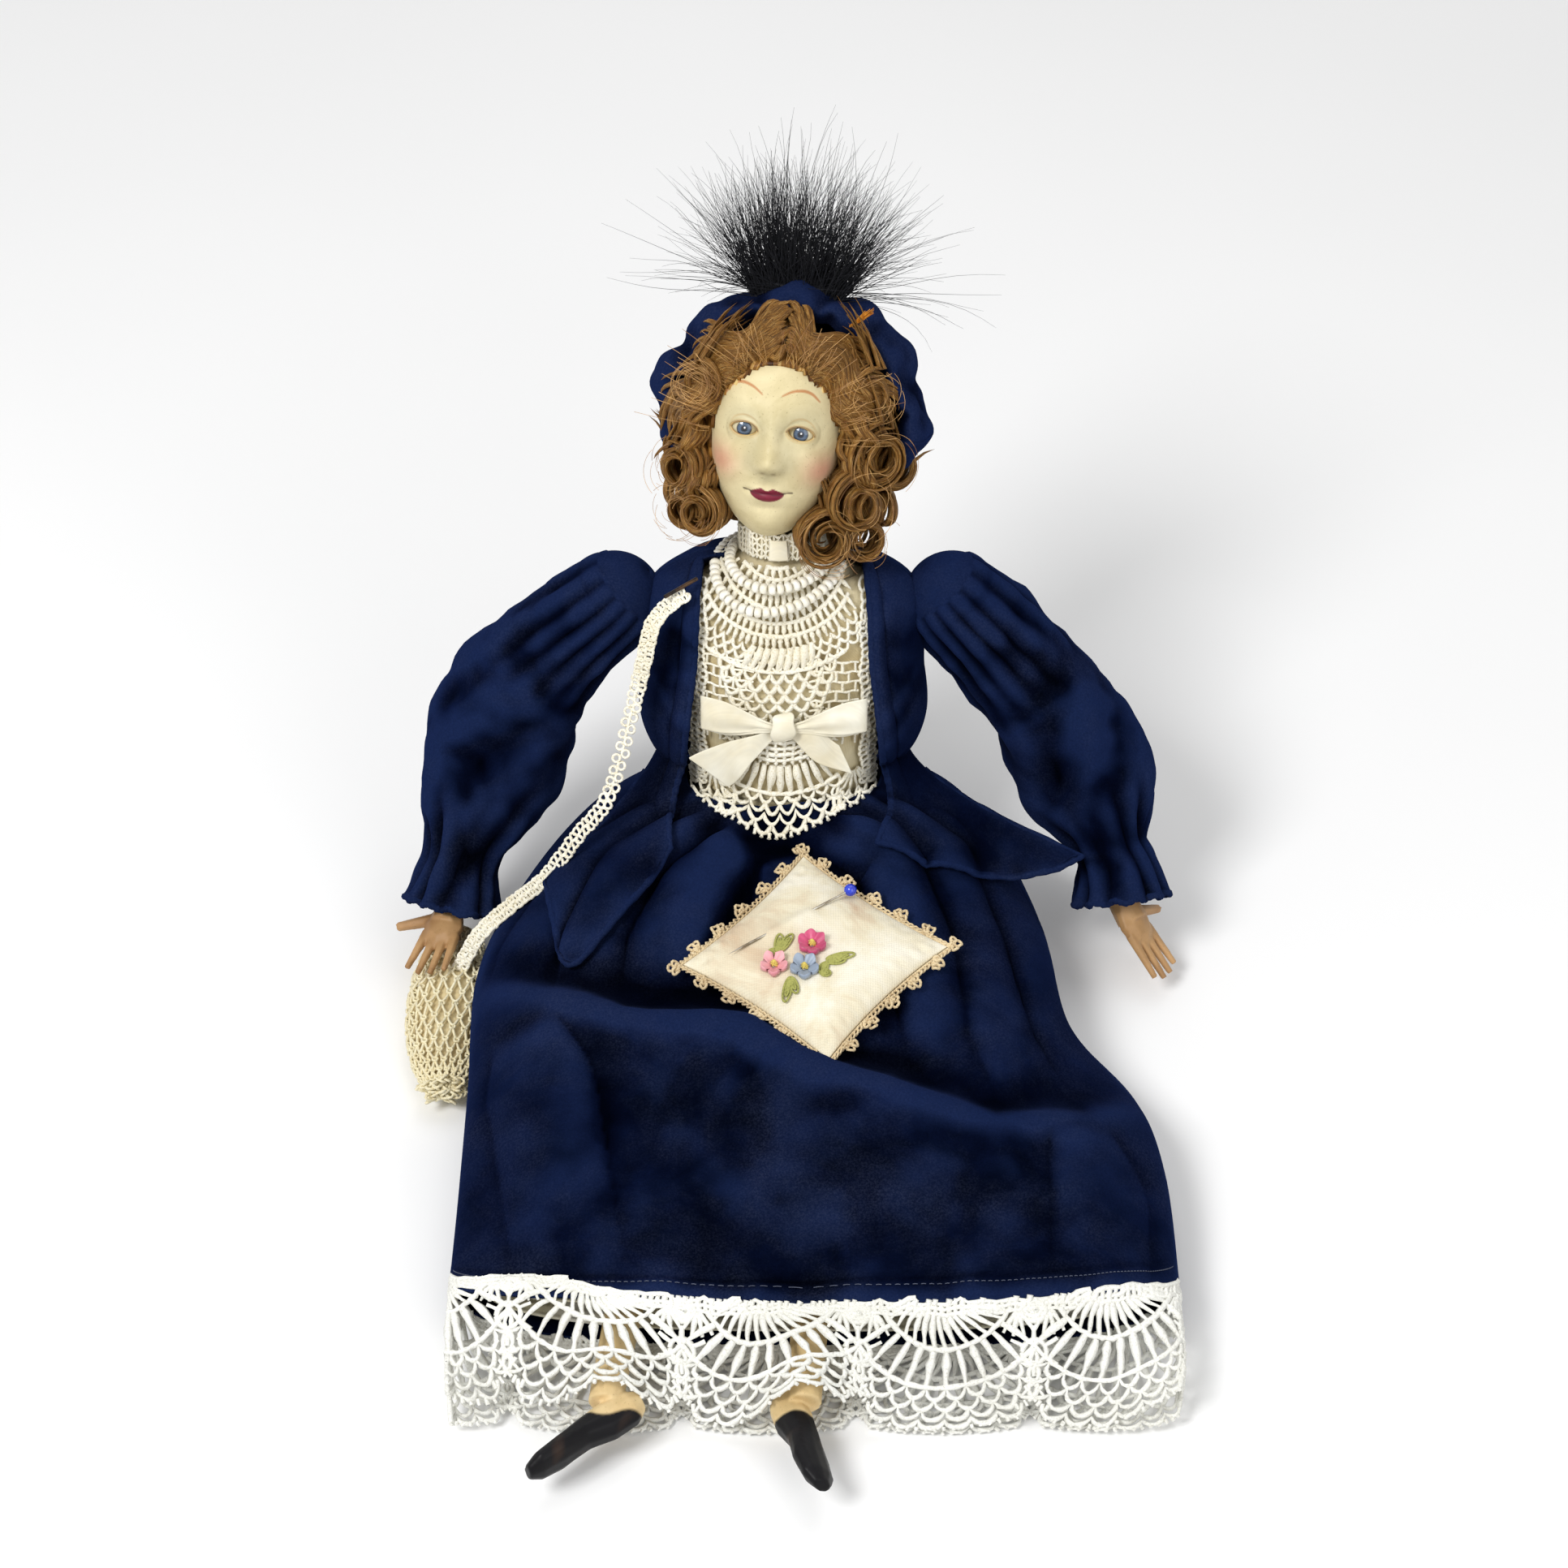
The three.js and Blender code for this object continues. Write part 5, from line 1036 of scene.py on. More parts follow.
def torso_point(angle, s, ease):
    around = torso_skin(angle + 0.01, s) - torso_skin(angle - 0.01, s)
    up = torso_skin(angle, s + 0.01) - torso_skin(angle, s - 0.01)
    return torso_skin(angle, s) + around.cross(up).normalized() * ease


def chest(p, s, ease):
    """The point p millimetres to her left of her front middle, at height s, in world millimetres."""
    half = torso_halves(s)[0]
    return in_world(torso_point(-pi / 2 + asin(clamp(p / (half + ease), -0.98, 0.98)), s, ease))


def cloth_finish(name, light, dark, threads=900, roughness=0.9, weave=0.5):
    """Plain woven cotton: threads both ways, faint slubs and yellowed patches."""
    finish = Finish(name)
    cross = finish.woven(threads, 0.6)
    age = finish.noise(38, 5, 0.6)
    aged = finish.ramp(age, (0.33, dark), (0.6, light))
    finish.tint(finish.blend(0.16, aged, finish.ramp(cross, (0.2, 0.55), (0.7, 1.0)), "MULTIPLY"))
    finish.rough(age, roughness - 0.08, roughness + 0.05)
    finish.relief(cross, weave, 0.00018).relief(finish.noise(160, 3), 0.3, 0.0005)
    return finish.set(Sheen_Weight=0.12, Specular_IOR_Level=0.2).material


def satin_finish(name, light, dark):
    finish = Finish(name)
    fibre = finish.noise(1, 2, 0.5, 0, (60, 3000, 60))
    fold = finish.noise(60, 3)
    silk = finish.ramp(fold, (0.3, dark), (0.65, light))
    finish.tint(finish.blend(0.25, silk, finish.ramp(fibre, (0.3, 0.7), (0.7, 1.0)), "MULTIPLY"))
    finish.rough(fibre, 0.34, 0.5).relief(fibre, 0.25, 0.0001).relief(fold, 0.3, 0.0005)
    return finish.set(Anisotropic=0.5, Sheen_Weight=0.2, Specular_IOR_Level=0.5).material


PLY_RADIUS, PLY_REACH = 0.34, 0.36


def make_body(muslin, cord):
    body = remade("body", "stuffed_body", 1.4, 6)
    finish_piece(body, muslin, "torso", "muslin", ["body"])
    for side in ("right", "left"):
        thigh = remade(f"thigh_{side}", f"stuffed_thigh_{side}", 0.9, 5)
        finish_piece(thigh, muslin, "lap", "muslin", [f"thigh_{side}"])
        sleeve = remade(f"upper_arm_{side}", f"stuffed_arm_{side}", 0.8, 5)
        finish_piece(sleeve, muslin, f"arm_{side}", "muslin", [f"upper_arm_{side}"])
    for node, body_name in (
        ("neck_tie", "torso"), ("arm_tie_right", "arm_right"), ("arm_tie_left", "arm_left"),
        ("leg_tie_right", "lap"), ("leg_tie_left", "lap"),
    ):
        tie = copy_of(node, f"wound_{node}")
        centre = points_of(tie).mean(axis=0)
        spread = points_of(tie) - centre
        _, _, axes = np.linalg.svd(spread - spread.mean(axis=0), full_matrices=False)
        radius = np.linalg.norm(spread @ axes[:2].T, axis=1).mean() / MM
        bpy.data.objects.remove(tie)
        strands = []
        for ply in range(3):
            ring = []
            for k in range(120):
                angle = TURN * k / 120
                twist = 18 * angle + TURN * ply / 3
                out = radius + PLY_REACH * cos(twist)
                p = Vector(centre) / MM
                p += Vector(axes[0]) * (out * cos(angle)) + Vector(axes[1]) * (out * sin(angle))
                ring.append(p + Vector(axes[2]) * PLY_REACH * sin(twist))
            strands.append(ring)
        wound = wind_yarn(f"cord_{node}", strands, PLY_RADIUS, closed=True)
        finish_piece(wound, cord, body_name, "cotton_cord", [node])


# Crochet. A chart is a list of drawn lines in millimetres, each point (across, down, lift, thickness).
def below(centre, radius, angle):
    """The place at a distance from a centre, at an angle from straight down."""
    return centre[0] + radius * sin(angle), centre[1] + radius * cos(angle)


def loop_row(centre, radius, hang, count, width, thick=1.0):
    """A row of netted loops round a centre, each `width` degrees wide, hanging between its two joins."""
    row = []
    for k in range(count * 8 + 1):
        angle = radians(width * (k / 8 - count / 2))
        droop = abs(sin(pi * k / 8))
        row.append((*below(centre, radius + hang * droop ** 0.7, angle), 0.3 * droop, thick))
    return row


def ribs(centre, inner, outer, count, spread, thick=1.7, swirl=0.0):
    """Clusters of long stitches that stand side by side between two arcs."""
    lines = []
    for k in range(count):
        angle = radians(spread * ((k + 0.5) / count - 0.5))
        line = []
        for f in shares(5):
            spot = below(centre, inner + (outer - inner) * f, angle + radians(swirl) * (1 - f))
            line.append((*spot, 0.5 * sin(pi * f), thick * (0.65 + 0.45 * sin(pi * min(1, 0.15 + f)))))
        lines.append(line)
    return lines


def arc_line(centre, radius, spread, thick=1.2):
    return [
        (*below(centre, radius, radians(spread * (f - 0.5))), 0.2 + 0.15 * sin(k * 2.2), thick)
        for k, f in enumerate(shares(40))
    ]


def picots(centre, radius, count, spread, reach=1.5):
    """Short points standing out from an arc."""
    return [
        [
            (*below(centre, r, radians(spread * (f - 0.5))), 0.3, 1.0)
            for r in (radius - 0.5, radius + 0.5 * reach, radius + reach)
        ]
        for f in shares(count - 1)
    ]


def ring_line(centre, radius, thick=1.0):
    return [(centre[0] + radius * cos(w), centre[1] + radius * sin(w), 0.3, thick) for w in turns(12)]


def crocheted(name, chart, place, radius):
    """Lays a chart's lines as yarn with the small wobble of handwork."""
    strands = []
    for line in chart:
        run = []
        for p, q, lift, thick in line:
            slip = (0.22 * ruffled((p, q, 3), 2.4), 0.22 * ruffled((p, q, 9), 2.4))
            run.append((*place(p + slip[0], q + slip[1], lift), thick * (1 + 0.2 * sin(5 * p + 4 * q))))
        strands.append(run)
    return wind_yarn(name, strands, radius)


FLAP_TURN_S = 29
BLOUSE_HALF, CHART_TOP = 30.5, -105
LACE_YARN = 0.62


def blouse_chart():
    """Down her chest: the yoke's sagging bands, a shell over netted arches and filet at both sides."""
    yoke = (-2, -117)
    chart = []
    for row in range(-4, 8, 2):
        radius = 20.5 + 1.95 * row
        spread = 118 - 4 * row
        chart.append(arc_line(yoke, radius, spread, 1.4))
        chart += ribs(yoke, radius, radius + 3.9, int(spread * radius * 0.0175 / 2), spread, 1.2)
    for row in range(3):
        chart.append(loop_row(yoke, 36.1 + 2.5 * row, 2.5, 17 + row, 5.2))
    chart += ribs(yoke, 36, 43.5, 9, 34, 2.1, 3)
    chart.append(arc_line(yoke, 43.6, 62, 1.5))
    for row, count in enumerate((9, 8, 7, 6, 5)):
        chart.append(loop_row(yoke, 43.8 + 3.1 * row, 3.1, count, 5.6, 1.2))
    chart += picots(yoke, 59.2, 15, 26, 1.3)
    for side in (-1, 1):
        for k in range(9):
            q = -76.5 + 3.1 * k
            chart.append([
                (side * x + yoke[0] * 0.3, q + 0.09 * (x - 10) * side + 0.25 * sin(x), 0.1, 0.8)
                for x in range(9, 27, 2)
            ])
            for m in range(4):
                x = side * (11.5 + 4.2 * m + 2.1 * (k % 2)) + yoke[0] * 0.3
                chart.append([(x, q + 0.09 * (abs(x) - 10) * side + 1.55 * n, 0.15, 0.8) for n in range(3)])
        for k in range(30):
            q = -96 + 2.25 * k
            chart.append(ring_line((side * (26.6 + 0.5 * sin(k)), q), 1.25, 1.0))
            chart.append(ring_line((side * (28.9 + 0.4 * cos(2 * k)), q + 1.1), 1.2, 1.0))
    waist = (-1, -66)
    for row in range(5):
        radius = 14 + 2.2 * row
        chart.append(arc_line(waist, radius, 150 - 4 * row, 1.3))
        chart += ribs(waist, radius, radius + 2.2, int(0.9 * radius), 146 - 4 * row, 0.9)
    chart += ribs(waist, 25, 35.5, 11, 64, 2.0)
    chart.append(arc_line(waist, 35.6, 66, 1.5))
    for row, count in enumerate((9, 8, 8, 7)):
        chart.append(loop_row(waist, 35.8 + 3.3 * row, 3.3, count, 7.2, 1.2))
    chart += picots(waist, 49, 18, 48, 1.4)
    for side in (-1, 1):
        corner = (side * 23, -38)
        for row, count in enumerate((5, 4, 3)):
            chart.append(loop_row(corner, 9 + 2.8 * row, 2.8, count, 17, 1.0))
        chart += ribs(corner, 2, 9, 6, 90, 1.1)
        chart += picots(corner, 17.3, 8, 44, 1.2)
    cut = [[p for p in line if abs(p[0]) < BLOUSE_HALF and p[1] > CHART_TOP] for line in chart]
    return [line for line in cut if len(line) > 1]


def on_blouse(p, q, lift):
    """The chart's place: on her chest down to the waist, then out over the top of the skirt."""
    s = -q
    if s >= FLAP_TURN_S:
        return chest(p, s, LACE_EASE + 0.3 + lift)
    turn = chest(p, FLAP_TURN_S, LACE_EASE + 0.3 + lift)
    out = FLAP_TURN_S - s
    x, y = turn.x, turn.y - 0.93 * out
    return Vector((x, y, max(turn.z - 0.55 * out, lap_height(x, y) + 1.1 + lift)))


def string_pieces(name, model, places):
    """One mesh of a modelled piece repeated at many places, each a matrix in millimetres."""
    points = np.array([v.co[:] for v in model.data.vertices])
    faces = [tuple(face.vertices) for face in model.data.polygons]
    bpy.data.objects.remove(model)
    verts, polys = [], []
    for place in places:
        m = np.array(place)
        start = len(verts) * len(points)
        verts.append(points @ m[:3, :3].T + m[:3, 3])
        polys += [tuple(start + i for i in face) for face in faces]
    return new_piece(name, verts, polys)


# Each strand: its piece, half width, chest and nape depths, front and back heights, and sag to one side
NECKLACES = (
    ("necklace_upper", 16, -24.4, 14, 102, 107.5, 3.5),
    ("necklace_lower", 20, -27.7, 15.5, 95.5, 106.5, 6),
)
BEAD_SPACING, BEAD_SIZES, BEAD_LENGTHS = 2.5, (1.36, 1.5), (1.75, 1.95)


def make_necklaces():
    pearl = Finish("pearl_beads")
    milky = pearl.noise(260, 3)
    pearl.mottle(milky, 0.3, colour(238, 230, 206), 0.62, colour(255, 252, 242))
    pearl.rough(milky, 0.16, 0.34).relief(pearl.noise(700, 3), 0.1)
    material = pearl.set(Coat_Weight=0.35, Coat_Roughness=0.2).material
    rng = random.Random(11)
    for node, wide, chest_y, nape_y, front, back, aside in NECKLACES:
        def strand(t):
            across, deep = cos(TURN * t), sin(TURN * t)
            share = ((1 - deep) / 2) ** 2.2
            y = (nape_y + chest_y) / 2 + deep * (nape_y - chest_y) / 2
            return in_world((wide * across - aside * share, y, back + (front - back) * share))
        line = [strand(t) for t in shares(720)]
        places, since = [], 0.0
        for a, b in zip(line, line[1:]):
            since += (b - a).length
            if since >= BEAD_SPACING:
                since = 0
                turn = (b - a).normalized().to_track_quat("Z", "Y").to_matrix().to_4x4()
                size = rng.uniform(*BEAD_SIZES)
                stretch = Matrix.Diagonal((size, size, rng.uniform(*BEAD_LENGTHS), 1))
                places.append(Matrix.Translation(a) @ turn @ stretch)
        bpy.ops.mesh.primitive_torus_add(
            major_segments=14, minor_segments=8, major_radius=0.68, minor_radius=0.62
        )
        beads = string_pieces(f"seed_beads_{node}", bpy.context.active_object, places)
        finish_piece(beads, material, "torso", "beads", [node])


def make_blouse(muslin, lace_thread, satin):
    def bodice(u, v):
        tucks = 0.25 * sin(22 * TURN * u) * (1 - v)
        return in_world(torso_point(TURN * u, WAIST_S + 71.5 * v, 1.4 + tucks))

    blouse = cut_cloth("muslin_blouse", bodice, 160, 60, 0, loop=True, flat=(190, 72))
    cut_armholes(blouse, 0.8, MUSLIN)
    finish_piece(blouse, muslin, "torso", "muslin", ["blouse"])
    front = crocheted("blouse_crochet", blouse_chart(), on_blouse, LACE_YARN)
    finish_piece(front, lace_thread, "torso", "cream_lace", ["blouse_lace"])
    band = cut_cloth(
        "collar_lining",
        lambda u, v: in_world((13 * cos(TURN * u), 13 * sin(TURN * u), 107.4 + 8 * v)),
        90, 6, 0.5, loop=True, flat=(82, 8),
    )
    finish_piece(band, muslin, "torso", "cream_lace")

    def round_neck(p, q, lift):
        frill = 0.5 * cos(11 * TURN * p) * (0.4 + q / 9)
        r = 13.6 + frill + lift
        return in_world((r * cos(TURN * p), r * sin(TURN * p), 107.2 + q))

    chart = []
    for row in range(5):
        chart.append([
            (k / 360, 1.9 * row + 1.3 * abs(sin(pi * (30 * k / 360 + 0.5 * (row % 2)))), 0.3, 1.0)
            for k in range(361)
        ])
    for k in range(60):
        chart.append([(k / 60, 0.2, 0.2, 1.0), (k / 60 + 0.004, 4, 0.5, 1.0), (k / 60, 8.6, 0.2, 1.0)])
    strands = [[(*round_neck(*point[:3]), point[3]) for point in line] for line in chart]
    collar = wind_yarn("collar_crochet", strands, 0.42)
    finish_piece(collar, lace_thread, "torso", "cream_lace", ["collar_lace"])
    tab = cut_cloth(
        "collar_tab",
        lambda u, v: in_world((
            (2.6 + 0.5 * v) * (2 * u - 1) - 1.5,
            -14.9 - 0.5 * cos(pi * (u - 0.5)) - 0.6 * v,
            114.5 - 6.5 * v,
        )),
        16, 16, 0.35, flat=(6, 7),
    )
    finish_piece(tab, satin, "torso", "satin")


def make_bow(satin):
    """A flat satin bow: two pulled loops, two slanted tails and the strap of the knot across them."""
    depth = torso_halves(BOW_S)[1] + LACE_EASE + 2.3

    def loop(side, reach, lift):
        def surface(u, v):
            out = sin(pi * clamp(v, 0.0, 1.0)) ** 0.75
            x = side * (1.5 + reach * out)
            width = 3 + 8.6 * smooth(out * 1.25)
            pucker = 0.5 * sin(3 * pi * u + 1) * (1 - out) + 0.35 * sin(2 * pi * u + 5 * v)
            y = -depth - 1.4 - 1.9 * sin(TURN * v) * out + pucker + 3.0 * (out * reach / 25) ** 2
            return in_world((x, y, BOW_S + lift * out + width * (u - 0.5) + 0.8 * sin(2 * pi * v)))
        return surface

    def tail(side, reach, drop, end):
        def surface(u, v):
            x = side * reach * v
            width = 2.6 + 8 * smooth(1.5 * v)
            ripple = 0.6 * sin(2.4 * pi * v + 2 * u)
            slant = end * (u - 0.5) * smooth((v - 0.45) / 0.55) + 0.25 * width * (u - 0.5)
            y = -depth - 0.5 + 2.6 * v * v + ripple
            return in_world((x + side * slant, y, BOW_S + drop * v + width * (u - 0.5)))
        return surface

    for k, (name, surface) in enumerate((
        ("bow_loop_left", loop(1, 25, 3.5)),
        ("bow_loop_right", loop(-1, 24.5, 4.5)),
        ("bow_tail_left", tail(1, 20, -12.5, -7)),
        ("bow_tail_right", tail(-1, 24, -17, 10)),
    )):
        part = cut_cloth(name, surface, 12, 40, RIBBON, flat=(RIBBON_WIDTH, 50))
        apply_modifier(part, "SUBSURF", levels=1, render_levels=1)
        finish_piece(part, satin, "torso", "satin", ["ribbon_bow"] if k == 0 else ())
    knot = cut_cloth(
        "bow_knot",
        lambda u, v: in_world((
            (2.5 + 1.3 * cos(TURN * u)) * (2 * v - 1) * (1 - 0.1 * sin(4 * TURN * u)),
            -depth - 1.2 - 2.6 * cos(TURN * u) * (1 - 0.25 * (2 * v - 1) ** 2),
            BOW_S + 0.5 + 4.6 * sin(TURN * u) + 0.5 * (2 * v - 1),
        )),
        48, 14, 0.35, loop=True, flat=(16, 6),
    )
    finish_piece(knot, satin, "torso", "satin")


# Skirt: laid from the waist over the lap, down its sides and under the seat
WAIST_FRONT = in_world((0, -WAIST[1] - 3.9, WAIST_S))
WAIST_BACK = in_world((0, WAIST[1] + 3.9, WAIST_S))
WAIST_LEFT = in_world((WAIST[0] + 3.9, 0, WAIST_S))
WAIST_RIGHT = in_world((-WAIST[0] - 3.9, 0, WAIST_S))
LAP_LINE = [
    WAIST_FRONT, (0, -23, 51), (2, -48, 43), (4, -90, 41.5), (8, -125, 39), (8, -158, 34), (5, -187, 29),
]
SEAT_LINE = [WAIST_BACK, (0, 50.5, 30), (0, 30, 0), (2, -50, 0), (6, -110, 0), (8, -150, 0), (8, -180, 0)]
LEFT_LINE = [
    WAIST_LEFT, (62, 16, 36), (82, -12, 19), (88, -58, 17), (108, -96, 19), (115, -128, 19), (116, -170, 17),
]
RIGHT_LINE = [
    WAIST_RIGHT, (-64, 14, 36), (-86, -8, 25), (-97, -45, 24), (-97, -92, 20), (-97, -135, 18),
    (-97, -169, 17),
]
SQUARENESS = 0.74
RIDGE = [
    (-112, -56), (-97, -62), (-82, -71), (-66, -80), (-51, -88), (-30, -91), (-12, -93), (2, -104),
    (14, -111), (30, -115), (45, -122), (63, -128), (93, -123), (110, -110), (124, -100),
]
# Each roll: its line, its width and its height
ROLLS = [
    ([(-10, -14), (-26, -30), (-37, -52), (-41, -80)], 13, 7.5),
    ([(10, -12), (33, -20), (43, -44), (48, -78), (52, -104)], 12, 7.5),
    ([(22, -2), (52, -16), (60, -44), (66, -84), (78, -112)], 11, 7),
    ([(30, 4), (66, -8), (78, -44), (86, -78), (98, -106)], 10, 6),
    ([(-20, -8), (-48, -22), (-58, -48), (-62, -80)], 11, 6.5),
    ([(-28, 0), (-66, -16), (-80, -44), (-84, -70)], 10, 5),
    ([(0, -18), (4, -40), (6, -70)], 12, 3),
]
TOP_SHARE = 0.72
PANEL_FOLDS = [
    ([(-80, -84), (-72, -116), (-60, -190)], 16, 4.2), ([(88, -124), (94, -150), (92, -190)], 14, 2.6),
]


def skirt_point(u, t):
    c, s = cos(TURN * u), sin(TURN * u)
    side = spline(LEFT_LINE if c > 0 else RIGHT_LINE, t)
    other = spline(RIGHT_LINE if c > 0 else LEFT_LINE, t)
    face = spline(LAP_LINE if s > 0 else SEAT_LINE, t)
    middle = mix(side, other, 0.5)
    across, up = abs(c) ** SQUARENESS, abs(s) ** SQUARENESS
    x, y, z = (m + (a - m) * across + (b - m) * up for m, a, b in zip(middle, side, face))
    return [x, y, max(z, 0)]


def nearest_on(line, x, y):
    """How far a point is from a line of points, on which side of it, and how far along it, from 0 to 1."""
    best = (1e9, 1, 0)
    for k, (a, b) in enumerate(zip(line, line[1:])):
        dx, dy = b[0] - a[0], b[1] - a[1]
        f = clamp(((x - a[0]) * dx + (y - a[1]) * dy) / (dx * dx + dy * dy))
        ox, oy = x - a[0] - f * dx, y - a[1] - f * dy
        gap = hypot(ox, oy)
        if gap < best[0]:
            best = (gap, 1 if dx * oy - dy * ox > 0 else -1, (k + f) / (len(line) - 1))
    return best


def roll_height(x, y, rolls):
    """Soft rolls of cloth lying side by side, sharp in the creases between them."""
    height = 0
    for line, width, rise in rolls:
        gap, _, along = nearest_on(line, x, y)
        near = gap / (width * (0.6 + 0.4 * smooth(along * 2.5)))
        if near < 1:
            fade = smooth(along * 6) * smooth((1 - along) * 2.2) if along < 1 else 0
            height = max(height, rise * sqrt(1 - near * near) * fade)
    return height


def drape_height(x, y):
    """The long drape over her knees: a crest that falls steeply to a hollow on the waist side."""
    gap, side, along = nearest_on(RIDGE, x, y)
    strength = 0.6 + 0.4 * sin(pi * clamp(along * 1.15))
    if side < 0:
        return strength * (6.5 * bump(gap, 36) + 2 * bump(gap, 7))
    return strength * (8.5 * bump(gap, 7) - 3.6 * bump(gap - 17, 9))


def skirt_surface(u, v):
    x, y, z = skirt_point(u, v)
    top = max(0, sin(TURN * u)) ** 0.7
    gathers = 0.9 * sin(17 * TURN * u + 2 * sin(5 * u)) * bump(v - 0.1, 0.09)
    ridge = 0.8 * bump(v - 0.5 - 0.1 * cos(TURN * u), 0.07)
    folds = drape_height(x, y) + roll_height(x, y, ROLLS) + roll_height(x, y, PANEL_FOLDS)
    fall = 0.9 * sin(4.5 * TURN * u + 5 * v) * smooth((v - 0.6) / 0.4)
    soft = 2.2 * ruffled((x, y, 0), 34) + 0.9 * ruffled((x, y, 5), 13) + 0.25 * ruffled((x, y, 7), 5)
    hem = 0.7 * bump(v - 0.975, 0.018) - 0.6 * bump(v - 0.945, 0.008)
    return [x, y, max(z + (gathers + ridge + folds + fall + soft + hem) * top, 0 if top == 0 else 0.8)]


def make_skirt(velvet, petticoat_cloth):
    def shaped(w, v):
        u = 0.5 * w / TOP_SHARE if w < TOP_SHARE else 0.5 + 0.5 * (w - TOP_SHARE) / (1 - TOP_SHARE)
        x, y, z = skirt_surface(u, v)
        return (x, y, max(z, 0.75))

    skirt = cut_cloth("velvet_skirt", shaped, 252, 160, VELVET, loop=True, flat=(440, 260))
    finish_piece(skirt, velvet, None, "velvet", ["skirt_seat", "skirt_lap"])
    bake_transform(skirt)

    def under(u, v):
        t = 0.6 + 0.385 * v
        middle = mix(skirt_point(0, t), skirt_point(0.5, t), 0.5)
        half_width = skirt_point(0, t)[0] - middle[0]
        half_height = skirt_point(0.25, t)[2] - middle[2]
        x, y, z = skirt_point(u, t)
        across, down = 1 - 8 / half_width, 1 - 4.4 / half_height
        tuck = 0.35 * sin(90 * v) * smooth((v - 0.55) / 0.2)
        return [middle[0] + (x - middle[0]) * across, y, middle[2] + (z - middle[2]) * down + tuck]

    petticoat = cut_cloth("cotton_petticoat", under, 130, 70, MUSLIN, loop=True, flat=(380, 95))
    finish_piece(petticoat, petticoat_cloth, "lap", "petticoat_cotton", ["petticoat"])


ANKLES = {"right": (-51, -213, 14.5), "left": (6, -213, 14.5)}
HEM_LOBES = 9
LOBE_WIDTH = 46.0
LACE_FOOT_Y = -207
LACE_DEPTH = 41.0
HEM_RUN = 250

hem_line = [Vector(skirt_surface(k / 720, 1)) for k in range(721)]
hem_runs = np.concatenate([[0], np.cumsum([(b - a).length for a, b in zip(hem_line, hem_line[1:])])])


def hem_lace_point(across, down, lift):
    """A chart's point on the hanging lace: `across` runs round the hem, `down` from it to the lobes' tips."""
    turn = (across / (HEM_LOBES * LOBE_WIDTH)) % 1
    u = float(np.interp(turn * hem_runs[-1], hem_runs, np.arange(721) / 720))
    v = down / LACE_DEPTH
    x, y, z = skirt_surface(u, 1)
    s = sin(TURN * u)
    if s > 0:
        down -= (13 * bump(x + 75, 24) + 3 * bump(x - 104, 12)) * (1 - 0.6 * v)
        v = down / LACE_DEPTH
    if v < 0:
        return Vector(skirt_surface(u, 1 + down / HEM_RUN)) + Vector((0, 0, 1.2 + 0.6 * lift))
    reach = max(27, y - LACE_FOOT_Y + 6)
    hang = 3.5 + 20 * max(bump(x - ANKLES["right"][0], 14), bump(x - ANKLES["left"][0], 14))
    low = z + (hang - z) * min(1, 1.6 * s) if s > 0 else min(z, 6 + 5 * s)
    foot_z = max(low, 2.6 if s > 0 else 0.7)
    fall = [(x, y - 0.4, z), (x, y - 0.55 * reach, z + 0.5 * (foot_z - z)), (x * 0.985, y - reach, foot_z)]
    p = Vector(spline(fall, min(v, 1)))
    wave = 0.7 * sin(TURN * across / LOBE_WIDTH) * v + 0.7 * ruffled((across, down, 0), 16)
    return Vector((p.x, p.y - max(0, v - 1) * reach, max(p.z + (lift + wave) * (1 if s > 0 else 0.3), 1.6)))


def hem_chart():
    chart = []
    for lobe in range(HEM_LOBES):
        middle = LOBE_WIDTH * (lobe + 0.5)
        top = (middle, -3)
        chart += ribs(top, 8, 17.5, 15, 142, 1.5, 14)
        chart.append(arc_line(top, 17.8, 132, 1.6))
        chart += ribs(top, 18.4, 28.6, 11, 116, 1.9)
        chart.append(arc_line(top, 29, 112, 1.5))
        for row, count in enumerate((10, 9, 8, 6)):
            chart.append(loop_row(top, 29.4 + 3.4 * row, 3.4, count, 10.2, 1.25))
        for radius, count, spread in ((43, 17, 52), (39.8, 23, 78), (36.2, 27, 92)):
            rim = picots(top, radius, count, spread, 1.5)
            chart += rim if radius == 43 else rim[:4] + rim[-4:]
        between = (middle + LOBE_WIDTH / 2, 16.5)
        chart.append(ring_line(between, 3.2, 1.4))
        for k in range(6):
            angle = TURN * (k + 0.5) / 6
            chart.append([
                (between[0] + r * cos(angle), between[1] + r * sin(angle), 0.3, 1.2) for r in (3.2, 5, 7)
            ])
        knot = (middle + LOBE_WIDTH / 2, 5)
        for radius in (0.8, 2.0, 3.2):
            chart.append(ring_line(knot, radius, 1.7))
        for side in (-1, 1):
            chart += ribs((knot[0] + side * 4, 4), 1, 8, 4, 80, 1.3)
        for k in range(26):
            p = middle + LOBE_WIDTH * ((k + 0.5) / 26 - 0.5)
            chart.append([(p, 0, 0.1, 1.3), (p + 0.3, 2.4, 0.4, 1.4), (p, 4.6, 0.2, 1.3)])
        for q in (0.4, 2.6, 4.8):
            chart.append([
                (middle + LOBE_WIDTH * (k / 24 - 0.5), q + 0.4 * sin(1.7 * k), 0.25, 1.3) for k in range(25)
            ])
    return chart


